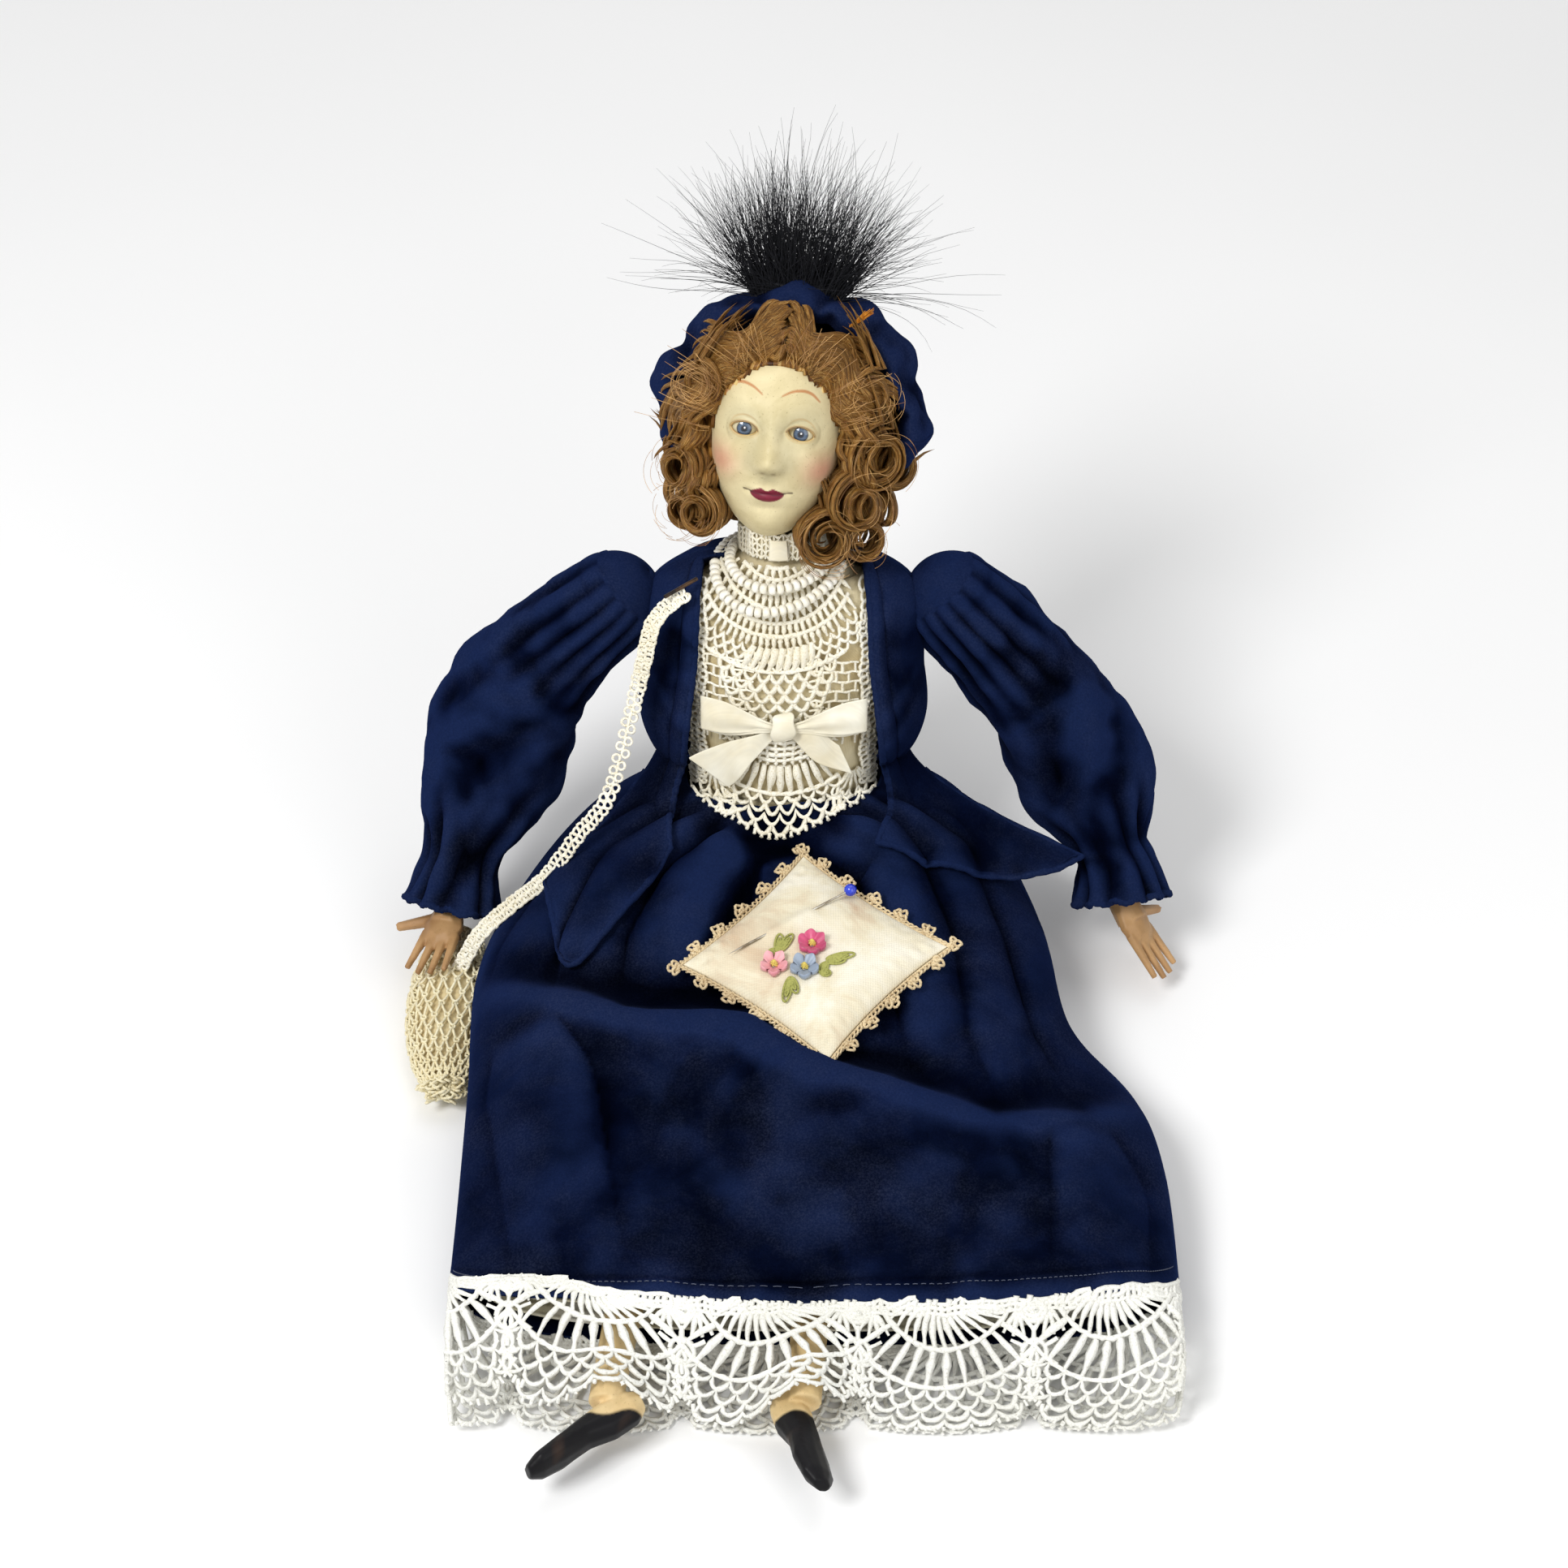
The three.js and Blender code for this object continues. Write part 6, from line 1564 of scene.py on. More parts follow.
def make_hem_lace(thread):
    lace = crocheted("hem_crochet", hem_chart(), hem_lace_point, LACE_YARN)
    finish_piece(lace, thread, "lap", "white_lace", ["hem_lace"])
    seam = []
    for k in range(150):
        u = 0.5 * k / 150
        a = Vector(skirt_surface(u, 0.96)) + Vector((0, 0, 0.95))
        b = Vector(skirt_surface(u + 0.0019, 0.96)) + Vector((0, 0, 0.95))
        seam.append([a, a.lerp(b, 0.5) + Vector((0, 0, 0.15)), b])
    stitches = wind_yarn("hem_stitches", seam, 0.16)
    grey = thread_finish("hem_thread", colour(88, 94, 112), colour(60, 66, 86))
    finish_piece(stitches, grey, "lap", "velvet")


# Arms, jacket and sleeves
SHOULDERS_AT = {"right": in_world((-54, 1, 88)), "left": in_world((54, 1, 88))}
ARM_PATHS = {
    "right": [SHOULDERS_AT["right"], (-82, 32, 86), (-96, 18, 57), (-105, -2, 33), (-108, -10, 22)],
    "left": [SHOULDERS_AT["left"], (82, 31, 80), (99, 18, 54), (108, -1, 36), (110, -10, 25)],
}
SLEEVE_CAP = 14.9
SLEEVE_ROOT = 14.89
FRONT_WELT, CUFF_WELT = 1.15, 1.1
SLEEVE_RADII = [(SLEEVE_CAP,), (17.3,), (20.5,), (21,), (18,), (10.6,), (12.5,), (14.5,)]
FRONT_EDGE_X = 29
WAIST_TURN_S = 40
NECKLINE_S = 104.5
FRONT_HEMS = {
    "right": [(-76, -22, 40), (-72, -44, 38), (-66, -61, 36), (-50, -44, 40), (-36, -22, 48)],
    "left": [(96, -12, 44), (80, -20, 46), (58, -24, 48), (44, -24, 50), (30, -22, 54)],
}
JACKET_LEVELS = [NECKLINE_S, 95, 81, 67, 53, WAIST_TURN_S]


def sleeve_point(side, u, v):
    path = ARM_PATHS[side]
    t = clamp(1.25 * v - 0.25)
    here, ahead = Vector(spline(path, max(0, t - 0.01))), Vector(spline(path, min(1, t + 0.01)))
    along = (ahead - here).normalized()
    deep = along.cross(Vector((0, 1, 0))).normalized()
    across = deep.cross(along).normalized()
    root = 0 if t > 0 else 1 - 5 * v
    shift = SLEEVE_ROOT * root
    angle = TURN * u
    spread = sqrt(SLEEVE_CAP ** 2 - shift ** 2) if root else spline(SLEEVE_RADII, t)[0]
    gathers = 1.5 * smooth((t - 0.45) / 0.3) * sin(9 * angle + 1.2 * sin(3 * angle))
    head = 1.1 * sin(13 * angle + 2 * sin(2 * angle)) * bump(t - 0.08, 0.12) * (0 if root > 0.4 else 1)
    fold = 2.4 * bump(t - 0.42, 0.22) * sin(2 * angle + 9 * t)
    fold += 1.3 * bump(t - 0.5, 0.3) * sin(5 * angle - 14 * t)
    p = Vector(spline(path, t)) - along * shift
    out = across * cos(angle) + deep * sin(angle)
    crush = 2.2 * ruffled(p + out * 18, 15, 2) + 0.8 * ruffled(p + out * 18, 6, 7)
    r = spread + (0 if root else gathers + fold + crush * smooth(t / 0.12) * smooth((1.02 - t) / 0.3)) + head
    cuff = 0.5 * sin(13 * angle) * smooth((t - 0.9) / 0.1)
    return p + out * r + along * cuff


def jacket_ease(angle, s):
    """The jacket's room over the body: it stands out at the sides, where it hangs loose from the armholes."""
    return JACKET_EASE + 8 * bump(s - 50, 20) * abs(cos(angle)) ** 1.6 - 3.4 * smooth((s - JACKET_TOP_S) / 6)


def front_point(side, u, v):
    sign = -1 if side == "right" else 1
    s = spline([(level,) for level in JACKET_LEVELS], min(v / 0.6, 1))[0]
    half = torso_halves(s)[0] + JACKET_EASE
    edge = acos(min(0.95, FRONT_EDGE_X / half))
    seam = radians(3)
    angle = -(seam + u * (edge - seam))
    x, y, h = torso_point(angle, s, jacket_ease(angle, s))
    worn = in_world((sign * x, y, h))
    inset = (1 - u) * (edge - seam) * half
    hem_roll = 1.1 * bump(inset - 2.6, 2) - 0.9 * bump(inset - 5.6, 0.9)
    crease = 1.3 * ruffled(worn, 14, 4) + 0.45 * ruffled(worn, 5, 6)
    crease += 1.6 * bump(sin(0.11 * s + 2.2 * u + 1), 0.35) * u
    worn += Vector((0, -1, 0.3)) * (crease + hem_roll) * smooth(v / 0.1)
    if v <= 0.6:
        return worn
    w = (v - 0.6) / 0.4
    hem = Vector(spline(FRONT_HEMS[side], u))
    bend = in_world((sign * (x + 6), 1.1 * y - 4, s - 16))
    p = worn.lerp(bend, w).lerp(bend.lerp(hem, w), w)
    ripple = 1.4 * sin(9 * u + 2 * w) * w + 1.2 * ruffled(p, 12, 8) * w
    return Vector((p.x, p.y, max(p.z + ripple, lap_height(p.x, p.y) + 3.4)))


lap_surface = None


def lap_height(x, y):
    """The height of the skirt's top face under a point, in millimetres."""
    global lap_surface
    if lap_surface is None:
        skirt = bpy.data.objects["velvet_skirt"].data
        faces = [tuple(face.vertices) for face in skirt.polygons]
        lap_surface = BVHTree.FromPolygons([point.co for point in skirt.vertices], faces)
    hit = lap_surface.ray_cast(Vector((x, y, 90)) * MM, Vector((0, 0, -1)))[0]
    return hit.z / MM if hit else 0


def over_lap(point, above):
    x, y, z = point
    return Vector((x, y, max(z, lap_height(x, y) + above)))


def cut_armholes(cloth, room, thick):
    """Takes away the cloth inside the sleeve heads, with some room, and gives the rest its thickness."""
    points = points_of(cloth) / MM
    away = [np.linalg.norm(points - np.array(centre), axis=1) for centre in SHOULDERS_AT.values()]
    cut_away(cloth, np.min(away, axis=0) < SLEEVE_CAP + room)
    apply_modifier(cloth, "SOLIDIFY", thickness=thick * MM, offset=0)


def welt_along(line, name, velvet):
    """A turned and stitched velvet edge: a soft roll a little thicker where the stitches gather it."""
    points = [(*p, 1 + 0.12 * sin(1.9 * k) + 0.15 * ruffled(p, 7, 2)) for k, p in enumerate(line)]
    return finish_piece(wind_yarn(name, [points], FRONT_WELT, resolution=2), velvet, None, "velvet")


def make_jacket(velvet):
    def back(u, v):
        s = 27 + (NECKLINE_S - 27) * v
        p = torso_point(pi * u, s, jacket_ease(pi * u, s))
        return in_world(p + Vector((0, 1, 0)) * (0.8 * ruffled(p, 14, 3) + 0.3 * ruffled(p, 5, 5)))

    cloth = cut_cloth("jacket_back_cloth", back, 130, 90, 0, flat=(120, 70))
    cut_armholes(cloth, -0.6, VELVET)
    finish_piece(cloth, velvet, "torso", "velvet", ["jacket_back"])
    for side in ("right", "left"):
        def worn_front(u, v, side=side):
            return front_point(side, u, v)

        def worn_sleeve(u, v, side=side):
            return sleeve_point(side, u, v)

        front = cut_cloth(f"jacket_front_cloth_{side}", worn_front, 70, 150, 0, flat=(50, 100))
        cut_armholes(front, -0.6, VELVET)
        face_outwards(front)
        finish_piece(front, velvet, None, "velvet", [f"jacket_front_{side}"])
        edge = [front_point(side, 1, k / 90) for k in range(91)]
        edge += [front_point(side, 1 - k / 50, 1) for k in range(1, 51)]
        edge += [front_point(side, 0, 1 - 0.3 * k / 20) for k in range(1, 21)]
        welt = welt_along(edge, f"jacket_welt_{side}", velvet)
        for piece in (front, welt):
            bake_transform(piece)
        sleeve = cut_cloth(f"sleeve_cloth_{side}", worn_sleeve, 170, 100, VELVET, loop=True, flat=(120, 110))
        face_outwards(sleeve)
        finish_piece(sleeve, velvet, f"arm_{side}", "velvet", [f"sleeve_{side}"])
        cuff = [(*sleeve_point(side, k / 160, 1), 1 + 0.15 * sin(2.3 * k)) for k in range(160)]
        roll = wind_yarn(f"cuff_welt_{side}", [cuff], CUFF_WELT, closed=True, resolution=2)
        finish_piece(roll, velvet, f"arm_{side}", "velvet")


# Porcelain hands and shins
HAND_GRAIN, SHIN_GRAIN = 0.45, 0.52
SHOE_TOP_Y, SHOE_MIDDLE_Z = -217, 14


def blotches(points, size, seed):
    return np.array([ruffled(p, size, seed) for p in points / MM])


def make_hands():
    finish = porcelain_finish("hand_porcelain", 0.5)
    for side in ("right", "left"):
        hand = remade(f"hand_{side}", f"porcelain_hand_{side}", HAND_GRAIN, 4)
        paint = Paint(hand, (140, 98, 58))
        paint.lay(0.55 + 0.6 * blotches(points_of(hand), 9, 4), (196, 156, 108))
        paint.store()
        finish_piece(hand, finish, f"hand_{side}", "hand_porcelain", [f"hand_{side}"])


def make_shins():
    finish = porcelain_finish("leg_porcelain", 0.42, 0.15)
    for side in ("right", "left"):
        shin = remade(f"shin_{side}", f"porcelain_shin_{side}", SHIN_GRAIN, 4)
        x, y, z = (points_of(shin) / MM).T
        paint, slipper = Paint(shin, (236, 212, 164)), Paint(shin, (10, 9, 13))
        paint.lay(0.35 + 0.7 * blotches(points_of(shin), 11, 6), (206, 176, 124))
        slipper.lay(1.6 * blotches(points_of(shin), 6, 9) - 0.55, (58, 42, 34))
        shoe_top = SHOE_TOP_Y + 1.2 * np.sin(x * 0.4) - 0.35 * (z - SHOE_MIDDLE_Z)
        paint.cover((shoe_top - y) / 0.9, slipper)
        paint.store()
        finish_piece(shin, finish, f"leg_{side}", "leg_porcelain", [f"shin_{side}"])


# Pincushion
CUSHION_HALF = 29
CUSHION_CROWN = 6.2
PIN_HEAD = Vector((-5.2, 23.3, 7))
PIN_HEADING = Vector((-12.8, -44.4, -0.8)).normalized()
PIN_LENGTH, PIN_WIRE_RADIUS, PIN_BALL_RADIUS = 46, 0.36, 2.0
CUSHION_PLACE, CUSHION_TILT, CUSHION_TURN = (10, -64, 50), 7, -40
on_cushion = (
    Matrix.Translation(CUSHION_PLACE)
    @ Matrix.Rotation(radians(CUSHION_TILT), 4, "X")
    @ Matrix.Rotation(radians(CUSHION_TURN), 4, "Z")
)


def cushion_height(x, y):
    def shape(p):
        return max(0, 1 - abs(p / CUSHION_HALF) ** 3.2) ** 0.62
    return 0.45 + CUSHION_CROWN * shape(x) * shape(y)


def cushion_edge(p, q):
    return p * (1 - 0.075 * (1 - (q / CUSHION_HALF) ** 2))


def along_pin(x, y):
    """How far a point of the pad lies from the pin's head along the pin, and to one side of it."""
    reach, heading = Vector((x, y)) - PIN_HEAD.xy, PIN_HEADING.xy.normalized()
    return reach.dot(heading), reach.cross(heading)


def pad_top(x, y):
    puckers = 0.35 * ruffled((x, y, 0), 7, 12) + 0.2 * ruffled((x, y, 0), 3, 13)
    rim = max(abs(x), abs(y)) / CUSHION_HALF
    tangent = y if abs(x) > abs(y) else x
    gathers = 0.4 * sin(1.35 * tangent) * bump(rim - 0.9, 0.1)
    along, across = along_pin(x, y)
    taken_up = 1.6 * bump(across, 2.6) * smooth((11.5 - abs(along - 23)) / 4)
    return cushion_height(x, y) * 0.985 + (puckers + gathers) * smooth((1 - rim) / 0.12) + taken_up


# Each loop of a picot: how far it leans, how far out it reaches and its size
PICOT_LOOPS = ((-1.5, 1.1, 1.0), (0, 2.3, 1.15), (1.5, 1.1, 1.0), (-0.5, 0.4, 0.6), (0.6, 0.7, 0.6))


def make_cushion():
    cloth = Finish("cushion_cloth")
    weave = cloth.woven(420, 0.8)
    stain = cloth.noise(34, 5, 0.65, 0.6)
    aged = cloth.ramp(
        stain,
        (0.32, colour(214, 188, 156)),
        (0.48, colour(236, 226, 198)),
        (0.62, colour(246, 240, 222)),
    )
    cloth.tint(cloth.blend(0.14, aged, cloth.ramp(weave, (0.2, 0.5), (0.7, 1.0)), "MULTIPLY"))
    cloth.rough(stain, 0.72, 0.9).relief(weave, 0.4, 0.0002).relief(cloth.noise(210, 3), 0.4, 0.0006)
    material = cloth.set(Sheen_Weight=0.15, Specular_IOR_Level=0.25).material

    bpy.ops.mesh.primitive_cube_add(size=2)
    pad = named("cushion_pad")
    apply_modifier(pad, "SUBSURF", levels=6, render_levels=6, subdivision_type="SIMPLE")
    shaped = []
    for x, y, z in points_of(pad):
        p, q = (CUSHION_HALF * sin(w * pi / 2) for w in (x, y))
        top, under = pad_top(p, q), -0.7 * cushion_height(p, q)
        height = under + (top - under) * (z + 1) / 2
        shaped.append(on_cushion @ Vector((cushion_edge(p, q), cushion_edge(q, p), height)) * MM)
    set_points(pad, shaped)
    apply_modifier(pad, "SMOOTH", factor=0.4, iterations=2)
    finish_piece(pad, material, "lap", "cushion_cloth", ["pincushion"])

    beige = thread_finish("edging_thread", colour(232, 212, 172), colour(158, 130, 92))
    core = [[on_cushion @ Vector(edge_path(k / 320, 0.7)) for k in range(320)]]
    chain = []
    for k in range(136):
        a, b = Vector(edge_path(k / 136, 1.1)), Vector(edge_path((k + 1.15) / 136, 1.1))
        out = a.normalized()
        link = []
        for w in turns(12):
            rise = Vector((0, 0, 0.5 * sin(2 * w)))
            link.append(on_cushion @ (a.lerp(b, 0.5 + 0.5 * cos(w)) + out * (0.3 + 0.75 * sin(w)) + rise))
        chain.append(link)
    picots = []
    for k in range(24):
        foot = Vector(edge_path((k + 0.08 + 0.12 * ruffled((k, 0, 0), 1.3, 5)) / 24, 1.9))
        out = foot.normalized()
        side = Vector((-out.y, out.x, 0))
        for lean, reach, size in PICOT_LOOPS:
            picots.append([
                on_cushion @ (
                    foot + side * (lean + size * sin(w)) + out * (reach - size * cos(w))
                    + Vector((0, 0, 0.3 + 0.55 * sin(2 * w + k) + 0.35 * ruffled((k, lean, w), 1, 3)))
                )
                for w in turns(12)
            ])
    ring = wind_yarn("edging_core", core, 0.42, closed=True, resolution=1)
    finish_piece(ring, beige, "lap", "edging", ["pincushion_edging"])
    finish_piece(wind_yarn("edging_chain", chain, 0.38), beige, "lap", "edging")
    finish_piece(wind_yarn("edging_picots", picots, 0.46, resolution=1), beige, "lap", "edging")
    make_flowers()
    make_pin()


def edge_path(t, out_by):
    side = floor(4 * t) % 4
    along = (4 * t - floor(4 * t)) * 2 - 1
    out = CUSHION_HALF + out_by
    drawn = out * (1 - 0.075 * (1 - along * along))
    return (
        (along * out, -drawn, 0),
        (drawn, along * out, 0),
        (-along * out, drawn, 0),
        (-drawn, -along * out, 0),
    )[side]


def on_pad(spot, lift):
    return on_cushion @ Vector((spot.x, spot.y, pad_top(spot.x, spot.y) + lift))


def make_flowers():
    """Ribbon stitches drawn up in loops round a knotted centre, with lazy-daisy leaves."""
    knot_thread = thread_finish("flower_centres", colour(242, 222, 120), colour(206, 170, 70))
    for node, x, y, petals, size, light, dark, slot in (
        ("flower_rose", -0.1, -1.6, 6, 2.1, colour(224, 92, 136), colour(160, 36, 84), "rose_ribbon"),
        ("flower_pink", -4.1, -15.1, 5, 1.9, colour(246, 186, 190), colour(222, 128, 142), "pink_ribbon"),
        ("flower_blue", 4, -10.2, 5, 2.1, colour(164, 178, 196), colour(104, 120, 146), "blue_ribbon"),
    ):
        ribbon = satin_finish(slot, light, dark)
        for k in range(petals):
            angle = TURN * (k + 0.3) / petals
            out = Vector((cos(angle), sin(angle), 0))
            side = Vector((-out.y, out.x, 0))

            def petal(u, v, out=out, side=side, k=k):
                edge = (2 * u - 1) ** 2
                reach = 0.7 + (size + 1.7) * sin(0.5 * pi * min(v * 2, 2 - v * 2)) ** 0.8 * (1 - 0.35 * edge)
                width = size * (0.45 + 0.5 * sin(pi * clamp(v * 0.94 + 0.03)))
                loft = 1.6 + 0.9 * (1 - edge) if v < 0.5 else 0.5
                lift = 0.4 + loft * sin(pi * v) + 0.2 * sin(3 + 9 * u + k)
                return on_pad(Vector((x, y, 0)) + out * reach + side * width * (2 * u - 1), lift)

            piece = cut_cloth(f"{node}_petal_{k + 1}", petal, 8, 22, 0.22)
            finish_piece(piece, ribbon, "lap", slot, [node] if k == 0 else ())
        base = Vector((x, y, pad_top(x, y) + 1.2))
        knot = []
        for j in range(34):
            tight = 1 - j / 40
            turned = Vector((1.2 * cos(2.4 * j) * tight, 0.9 * sin(2.4 * j) * tight, 0.05 * j))
            knot.append(on_cushion @ (base + turned))
        finish_piece(wind_yarn(f"{node}_centre", [knot], 0.42, resolution=1), knot_thread, "lap", slot)
    green = thread_finish("leaf_thread", colour(178, 178, 100), colour(122, 124, 62))
    for node, stitches in (
        ("leaves_upper", ((-6.6, -10.4, 123, 6.8), (-6.1, -9.9, 101, 7.8), (-8.8, -12, 32, 3.4))),
        ("leaves_side", ((7, -3.2, 55, 9), (7.6, -4, 49, 6), (7.8, -4.2, -75, 4.4), (8.8, -8.4, 40, 3.2))),
        ("leaves_lower", ((2.9, -15.6, -62, 8.6), (2.9, -15.6, -32, 6))),
    ):
        strands = []
        for x, y, angle, length in stitches:
            out = Vector((cos(radians(angle)), sin(radians(angle)), 0))
            side = Vector((-out.y, out.x, 0))
            for reach, spread in ((1.0, 1.0), (0.78, 0.45), (0.62, 0.12)):
                strand = []
                for w in turns(20):
                    spot = Vector((x, y, 0)) + out * reach * length * (0.5 - 0.5 * cos(w))
                    spot += side * spread * 1.25 * sin(w)
                    strand.append(on_pad(spot, 0.55))
                strands.append(strand)
        stitched = wind_yarn(f"{node}_stitches", strands, 0.36, resolution=1)
        finish_piece(stitched, green, "lap", "green_thread", [node])


def make_pin():
    steel = Finish("steel")
    wear = steel.noise(240, 4)
    steel.mottle(wear, 0.35, colour(120, 108, 90), 0.6, colour(190, 186, 176)).rough(wear, 0.24, 0.5)
    metal = steel.relief(steel.noise(900, 3), 0.15).set(Metallic=1.0).material
    points = []
    for t in shares(36):
        place = on_cushion @ (PIN_HEAD + PIN_HEADING * PIN_LENGTH * t)
        points.append((*place, 1 if t < 0.88 else (1 - t) / 0.12 + 0.06))
    wire = wind_yarn("pin_wire", [points], PIN_WIRE_RADIUS, resolution=4)
    finish_piece(wire, metal, "ball_pin", "steel", ["pin_shaft"])
    glass = Finish("blue_glass")
    cloudy = glass.noise(260, 3)
    glass.mottle(cloudy, 0.3, colour(12, 36, 176), 0.7, colour(26, 66, 220)).rough(cloudy, 0.12, 0.3)
    glass.relief(cloudy, 0.1).set(Coat_Weight=0.5, Coat_Roughness=0.1)
    bpy.ops.mesh.primitive_uv_sphere_add(segments=40, ring_count=24, radius=PIN_BALL_RADIUS * MM)
    head = named("pin_ball")
    set_points(head, points_of(head) + np.array(on_cushion @ PIN_HEAD * MM))
    finish_piece(head, glass.material, "ball_pin", "blue_glass", ["pin_head"])


# Bag and strap
STRAP_ROUTE = [
    in_world((-31, -21, 99)), in_world((-40, -25, 92)), in_world((-43.5, -26, 79)),
    in_world((-47, -24.5, 64)),
    (-55, -12, 72), (-66, -15, 56), (-76, -17, 40), (-84, -20, 34), (-92, -23, 29), (-98.5, -27, 24),
    (-104.5, -32, 14.9),
]
BAG_CENTRE = (-107, -44, 7.4)
BAG_HALF = (13, 37, 7.6)
SKIRT_RIGHT_REACH = 98.8
STRAP_PIN_RADIUS = 0.62


def bag_point(p, q, out):
    """The bag's face at p round its girth and q from mouth to foot, kept clear of the skirt and the seat."""
    polar = pi * clamp(q, 0.02, 0.98)
    angle = TURN * p
    unit = Vector((sin(polar) * cos(angle), cos(polar), sin(polar) * sin(angle)))
    x, y, z = (c + (half + out) * part for c, half, part in zip(BAG_CENTRE, BAG_HALF, unit))
    sag = 1.1 * ruffled((x, y, z), 13, 15) if unit.z > 0 else 0
    frill = 1.4 * sin(8 * angle) * smooth((q - 0.86) / 0.12)
    return Vector((min(x, -SKIRT_RIGHT_REACH - 0.4 + out), y + frill, max(z + sag, 0.5)))


def make_bag(cream_thread, lace_thread):
    bpy.ops.mesh.primitive_uv_sphere_add(segments=72, ring_count=60, radius=1)
    lining = named("bag_lining")
    placed = []
    for x, y, z in points_of(lining):
        polar = acos(clamp(y, -1, 1))
        placed.append(bag_point(atan2(z, x) / TURN, polar / pi, -0.9) * MM)
    set_points(lining, placed)
    cotton = cloth_finish("bag_cotton", colour(236, 220, 176), colour(206, 180, 126))
    finish_piece(lining, cotton, "torso", "cream_lace", ["lace_bag"])
    strands = []
    for row in range(21):
        q = 0.05 + 0.9 * row / 20
        loops = 20
        strands.append([
            bag_point(
                k / (loops * 8), q + 0.04 * abs(sin(pi * (k / 8 + 0.5 * (row % 2)))),
                0.3 + 0.9 * abs(sin(pi * k / 8)) + 0.5 * ruffled((k, row, 0), 5, 2),
            )
            for k in range(loops * 8 + 1)
        ])
        for k in range(loops):
            knot = bag_point((k + 0.5 * (row % 2)) / loops, q, 0.5)
            strands.append([
                knot + Vector((0.9 * cos(w), 0.9 * sin(w), 0.3 + 0.2 * cos(2 * w)))
                for w in (0, 1.3, 2.6, 3.9, 5.2, 6.3)
            ])
    for k in range(64):
        foot = bag_point(k / 64, 0.9 + 0.05 * sin(3 * k), 0.6)
        out = Vector((cos(2.4 * k), -1.2, abs(sin(2.4 * k)))).normalized()
        side = Vector((1, 0.4 * cos(k), sin(k))).normalized()
        loop = [foot + out * 1.9 * (1 - cos(w)) + side * 1.5 * sin(w) for w in turns(10)]
        strands.append([(p.x, p.y, max(p.z, 0.6)) for p in loop])
    net = wind_yarn("bag_crochet", strands, 0.5)
    finish_piece(net, cream_thread, "torso", "cream_lace")

    route = [Vector(p) for p in STRAP_ROUTE]
    for i in (6, 7, 8, 9):
        route[i] = over_lap(route[i], 3.0)
    strands = []
    for k in range(170):
        t = (k + 0.5) / 170
        here, ahead = Vector(spline(route, max(0, t - 0.004))), Vector(spline(route, min(1, t + 0.004)))
        along = (ahead - here).normalized()
        wide = along.cross(Vector((0, -0.45, 0.9))).normalized()
        deep = wide.cross(along).normalized()
        aside = (1.15 if k % 2 else -1.15) + 0.5 * ruffled((k, 0, 0), 3, 4)
        middle = Vector(spline(route, t)) + wide * aside
        strands.append([
            middle + along * 1.25 * cos(w) + wide * 1.2 * sin(w) + deep * (0.45 * sin(2 * w + k) + 0.3)
            for w in turns(10)
        ])
    strap = wind_yarn("strap_crochet", strands, 0.48, resolution=1)
    finish_piece(strap, lace_thread, "torso", "cream_lace", ["bag_strap"])
    pin_line = [in_world((-27, -18, 103)).lerp(in_world((-37, -24.6, 99.5)), t) for t in (0, 0.3, 0.6, 1)]
    dark = Finish("dark_steel")
    rust = dark.noise(300, 4)
    dark.mottle(rust, 0.4, colour(40, 38, 38), 0.65, colour(92, 70, 52)).rough(rust, 0.35, 0.6)
    dark.relief(rust, 0.2).set(Metallic=0.9)
    pin = wind_yarn("strap_pin_wire", [pin_line], STRAP_PIN_RADIUS, resolution=3)
    finish_piece(pin, dark.material, "torso", "dark_steel", ["strap_pin"])


# Stage, light and camera, in metres
AIR_LIGHT = 0.4
LAMP_AIM = Vector((0, 0, 0.1))
LAMPS = (
    ("key_light", (-0.8, -0.9, 1.4), 0.6, 20),
    ("fill_light", (0.9, -1.1, 0.8), 1.1, 6.5),
    ("top_light", (0.1, 0.6, 1.6), 1.2, 6),
)
CAMERA_LENS, SENSOR_WIDTH, CAMERA_SHIFT = 84.64, 36, (0.0005, 0.0176)
CAMERA_AIM, CAMERA_REACH, LOOKS_DOWN = Vector((0, -0.030, 0.080)), 1.150, radians(41)


def stage_floor():
    bpy.ops.mesh.primitive_plane_add(size=8, location=(0, 0, 0))
    ground = named("floor")
    paper = Finish("floor_paper")
    paper.mottle(paper.noise(3, 2), 0.3, colour(249, 249, 249), 0.7, colour(252, 252, 252))
    paper.set(Roughness=0.9, Specular_IOR_Level=0.1)
    ground.data.materials.append(paper.material)


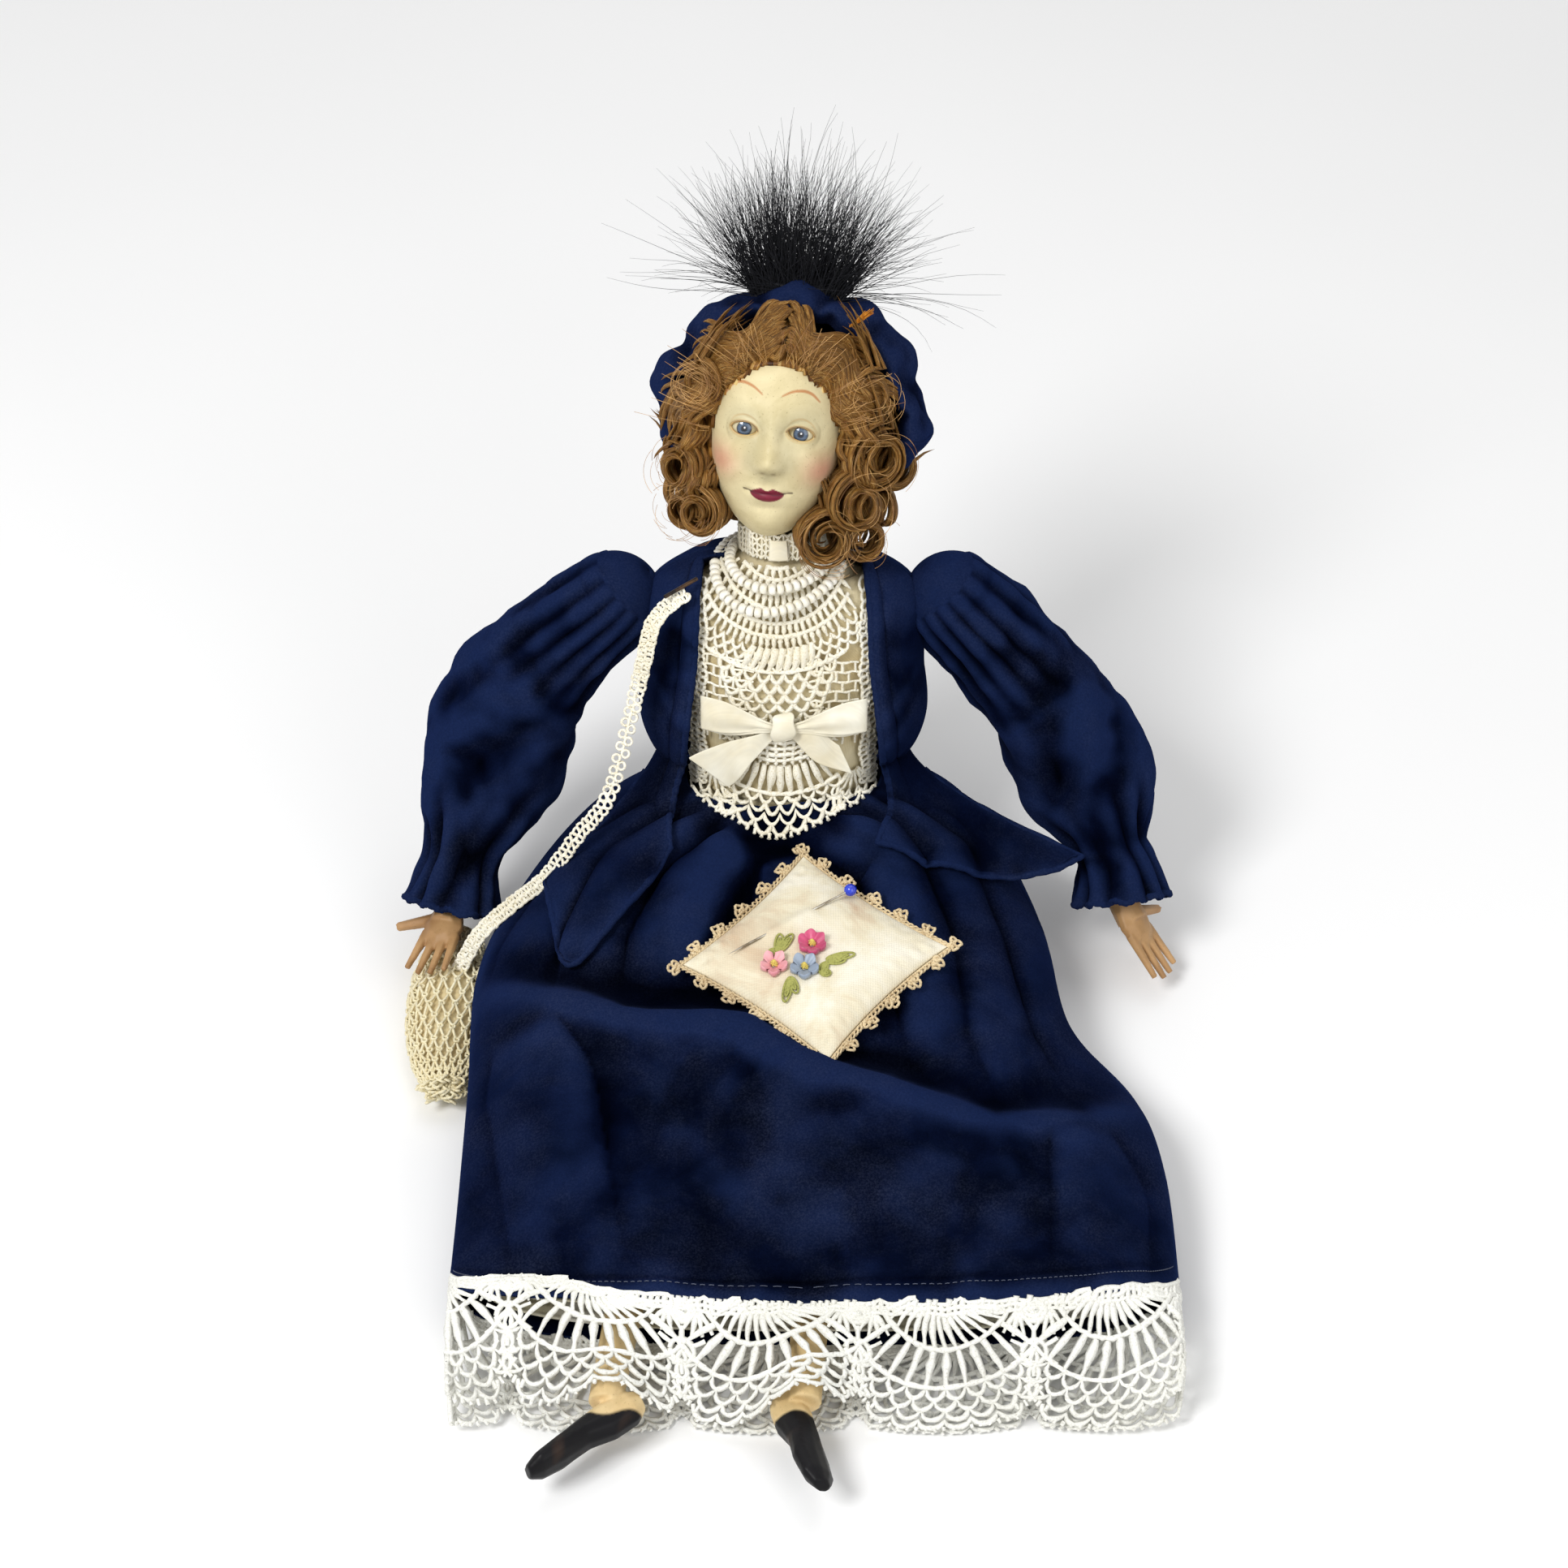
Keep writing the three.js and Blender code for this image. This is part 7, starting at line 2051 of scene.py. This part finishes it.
def stage_light():
    world = bpy.data.worlds.new("studio")
    bpy.context.scene.world = world
    world.use_nodes = True
    nodes, links = world.node_tree.nodes, world.node_tree.links
    air = nodes["Background"]
    air.inputs["Color"].default_value = (1, 1, 1, 1)
    air.inputs["Strength"].default_value = AIR_LIGHT
    seen = nodes.new("ShaderNodeBackground")
    seen.inputs["Color"].default_value = (1, 1, 1, 1)
    seen.inputs["Strength"].default_value = 1.0
    rays = nodes.new("ShaderNodeLightPath").outputs
    looks = rays["Is Camera Ray"]
    for kind in ("Is Glossy Ray", "Is Transmission Ray"):
        either = nodes.new("ShaderNodeMath")
        either.operation = "MAXIMUM"
        links.new(looks, either.inputs[0])
        links.new(rays[kind], either.inputs[1])
        looks = either.outputs[0]
    mixer = nodes.new("ShaderNodeMixShader")
    for source, socket in zip((looks, air.outputs[0], seen.outputs[0]), mixer.inputs):
        links.new(source, socket)
    links.new(mixer.outputs[0], nodes["World Output"].inputs["Surface"])
    for name, place, size, power in LAMPS:
        lamp = bpy.data.lights.new(name, "AREA")
        lamp.size = size
        lamp.energy = power
        holder = bpy.data.objects.new(name, lamp)
        bpy.context.collection.objects.link(holder)
        holder.location = place
        holder.rotation_euler = (LAMP_AIM - Vector(place)).to_track_quat("-Z", "Y").to_euler()


def stage_camera():
    lens = bpy.data.cameras.new("camera")
    lens.lens = CAMERA_LENS
    lens.sensor_width = SENSOR_WIDTH
    lens.shift_x, lens.shift_y = CAMERA_SHIFT
    camera = bpy.data.objects.new("camera", lens)
    bpy.context.collection.objects.link(camera)
    camera.location = CAMERA_AIM + CAMERA_REACH * Vector((0, -cos(LOOKS_DOWN), sin(LOOKS_DOWN)))
    camera.rotation_euler = (radians(90) - LOOKS_DOWN, 0, 0)
    bpy.context.scene.camera = camera
    bpy.context.scene.view_settings.view_transform = "Standard"


stage_camera()
stage_floor()
stage_light()
velvet = velvet_finish()
muslin = cloth_finish("muslin", colour(232, 220, 184), colour(204, 184, 138))
petticoat_cloth = cloth_finish("petticoat_cotton", colour(238, 236, 226), colour(222, 212, 170), 700)
cord = thread_finish("cotton_cord", colour(228, 218, 190), colour(170, 150, 112))
cream = thread_finish("cream_crochet", colour(254, 251, 238), colour(222, 210, 176))
white = thread_finish("white_crochet", colour(246, 246, 240), colour(216, 214, 204))
yellow = thread_finish("bag_crochet_thread", colour(248, 240, 208), colour(216, 200, 156))
satin = satin_finish("satin", colour(252, 248, 230), colour(228, 216, 182))

make_head()
for eye_side in EYES:
    make_eye(eye_side)
make_hair()
make_hat(velvet)
make_body(muslin, cord)
make_skirt(velvet, petticoat_cloth)
make_blouse(muslin, cream, satin)
make_necklaces()
make_bow(satin)
make_hem_lace(white)
make_jacket(velvet)
make_hands()
make_shins()
make_cushion()
make_bag(yellow, cream)
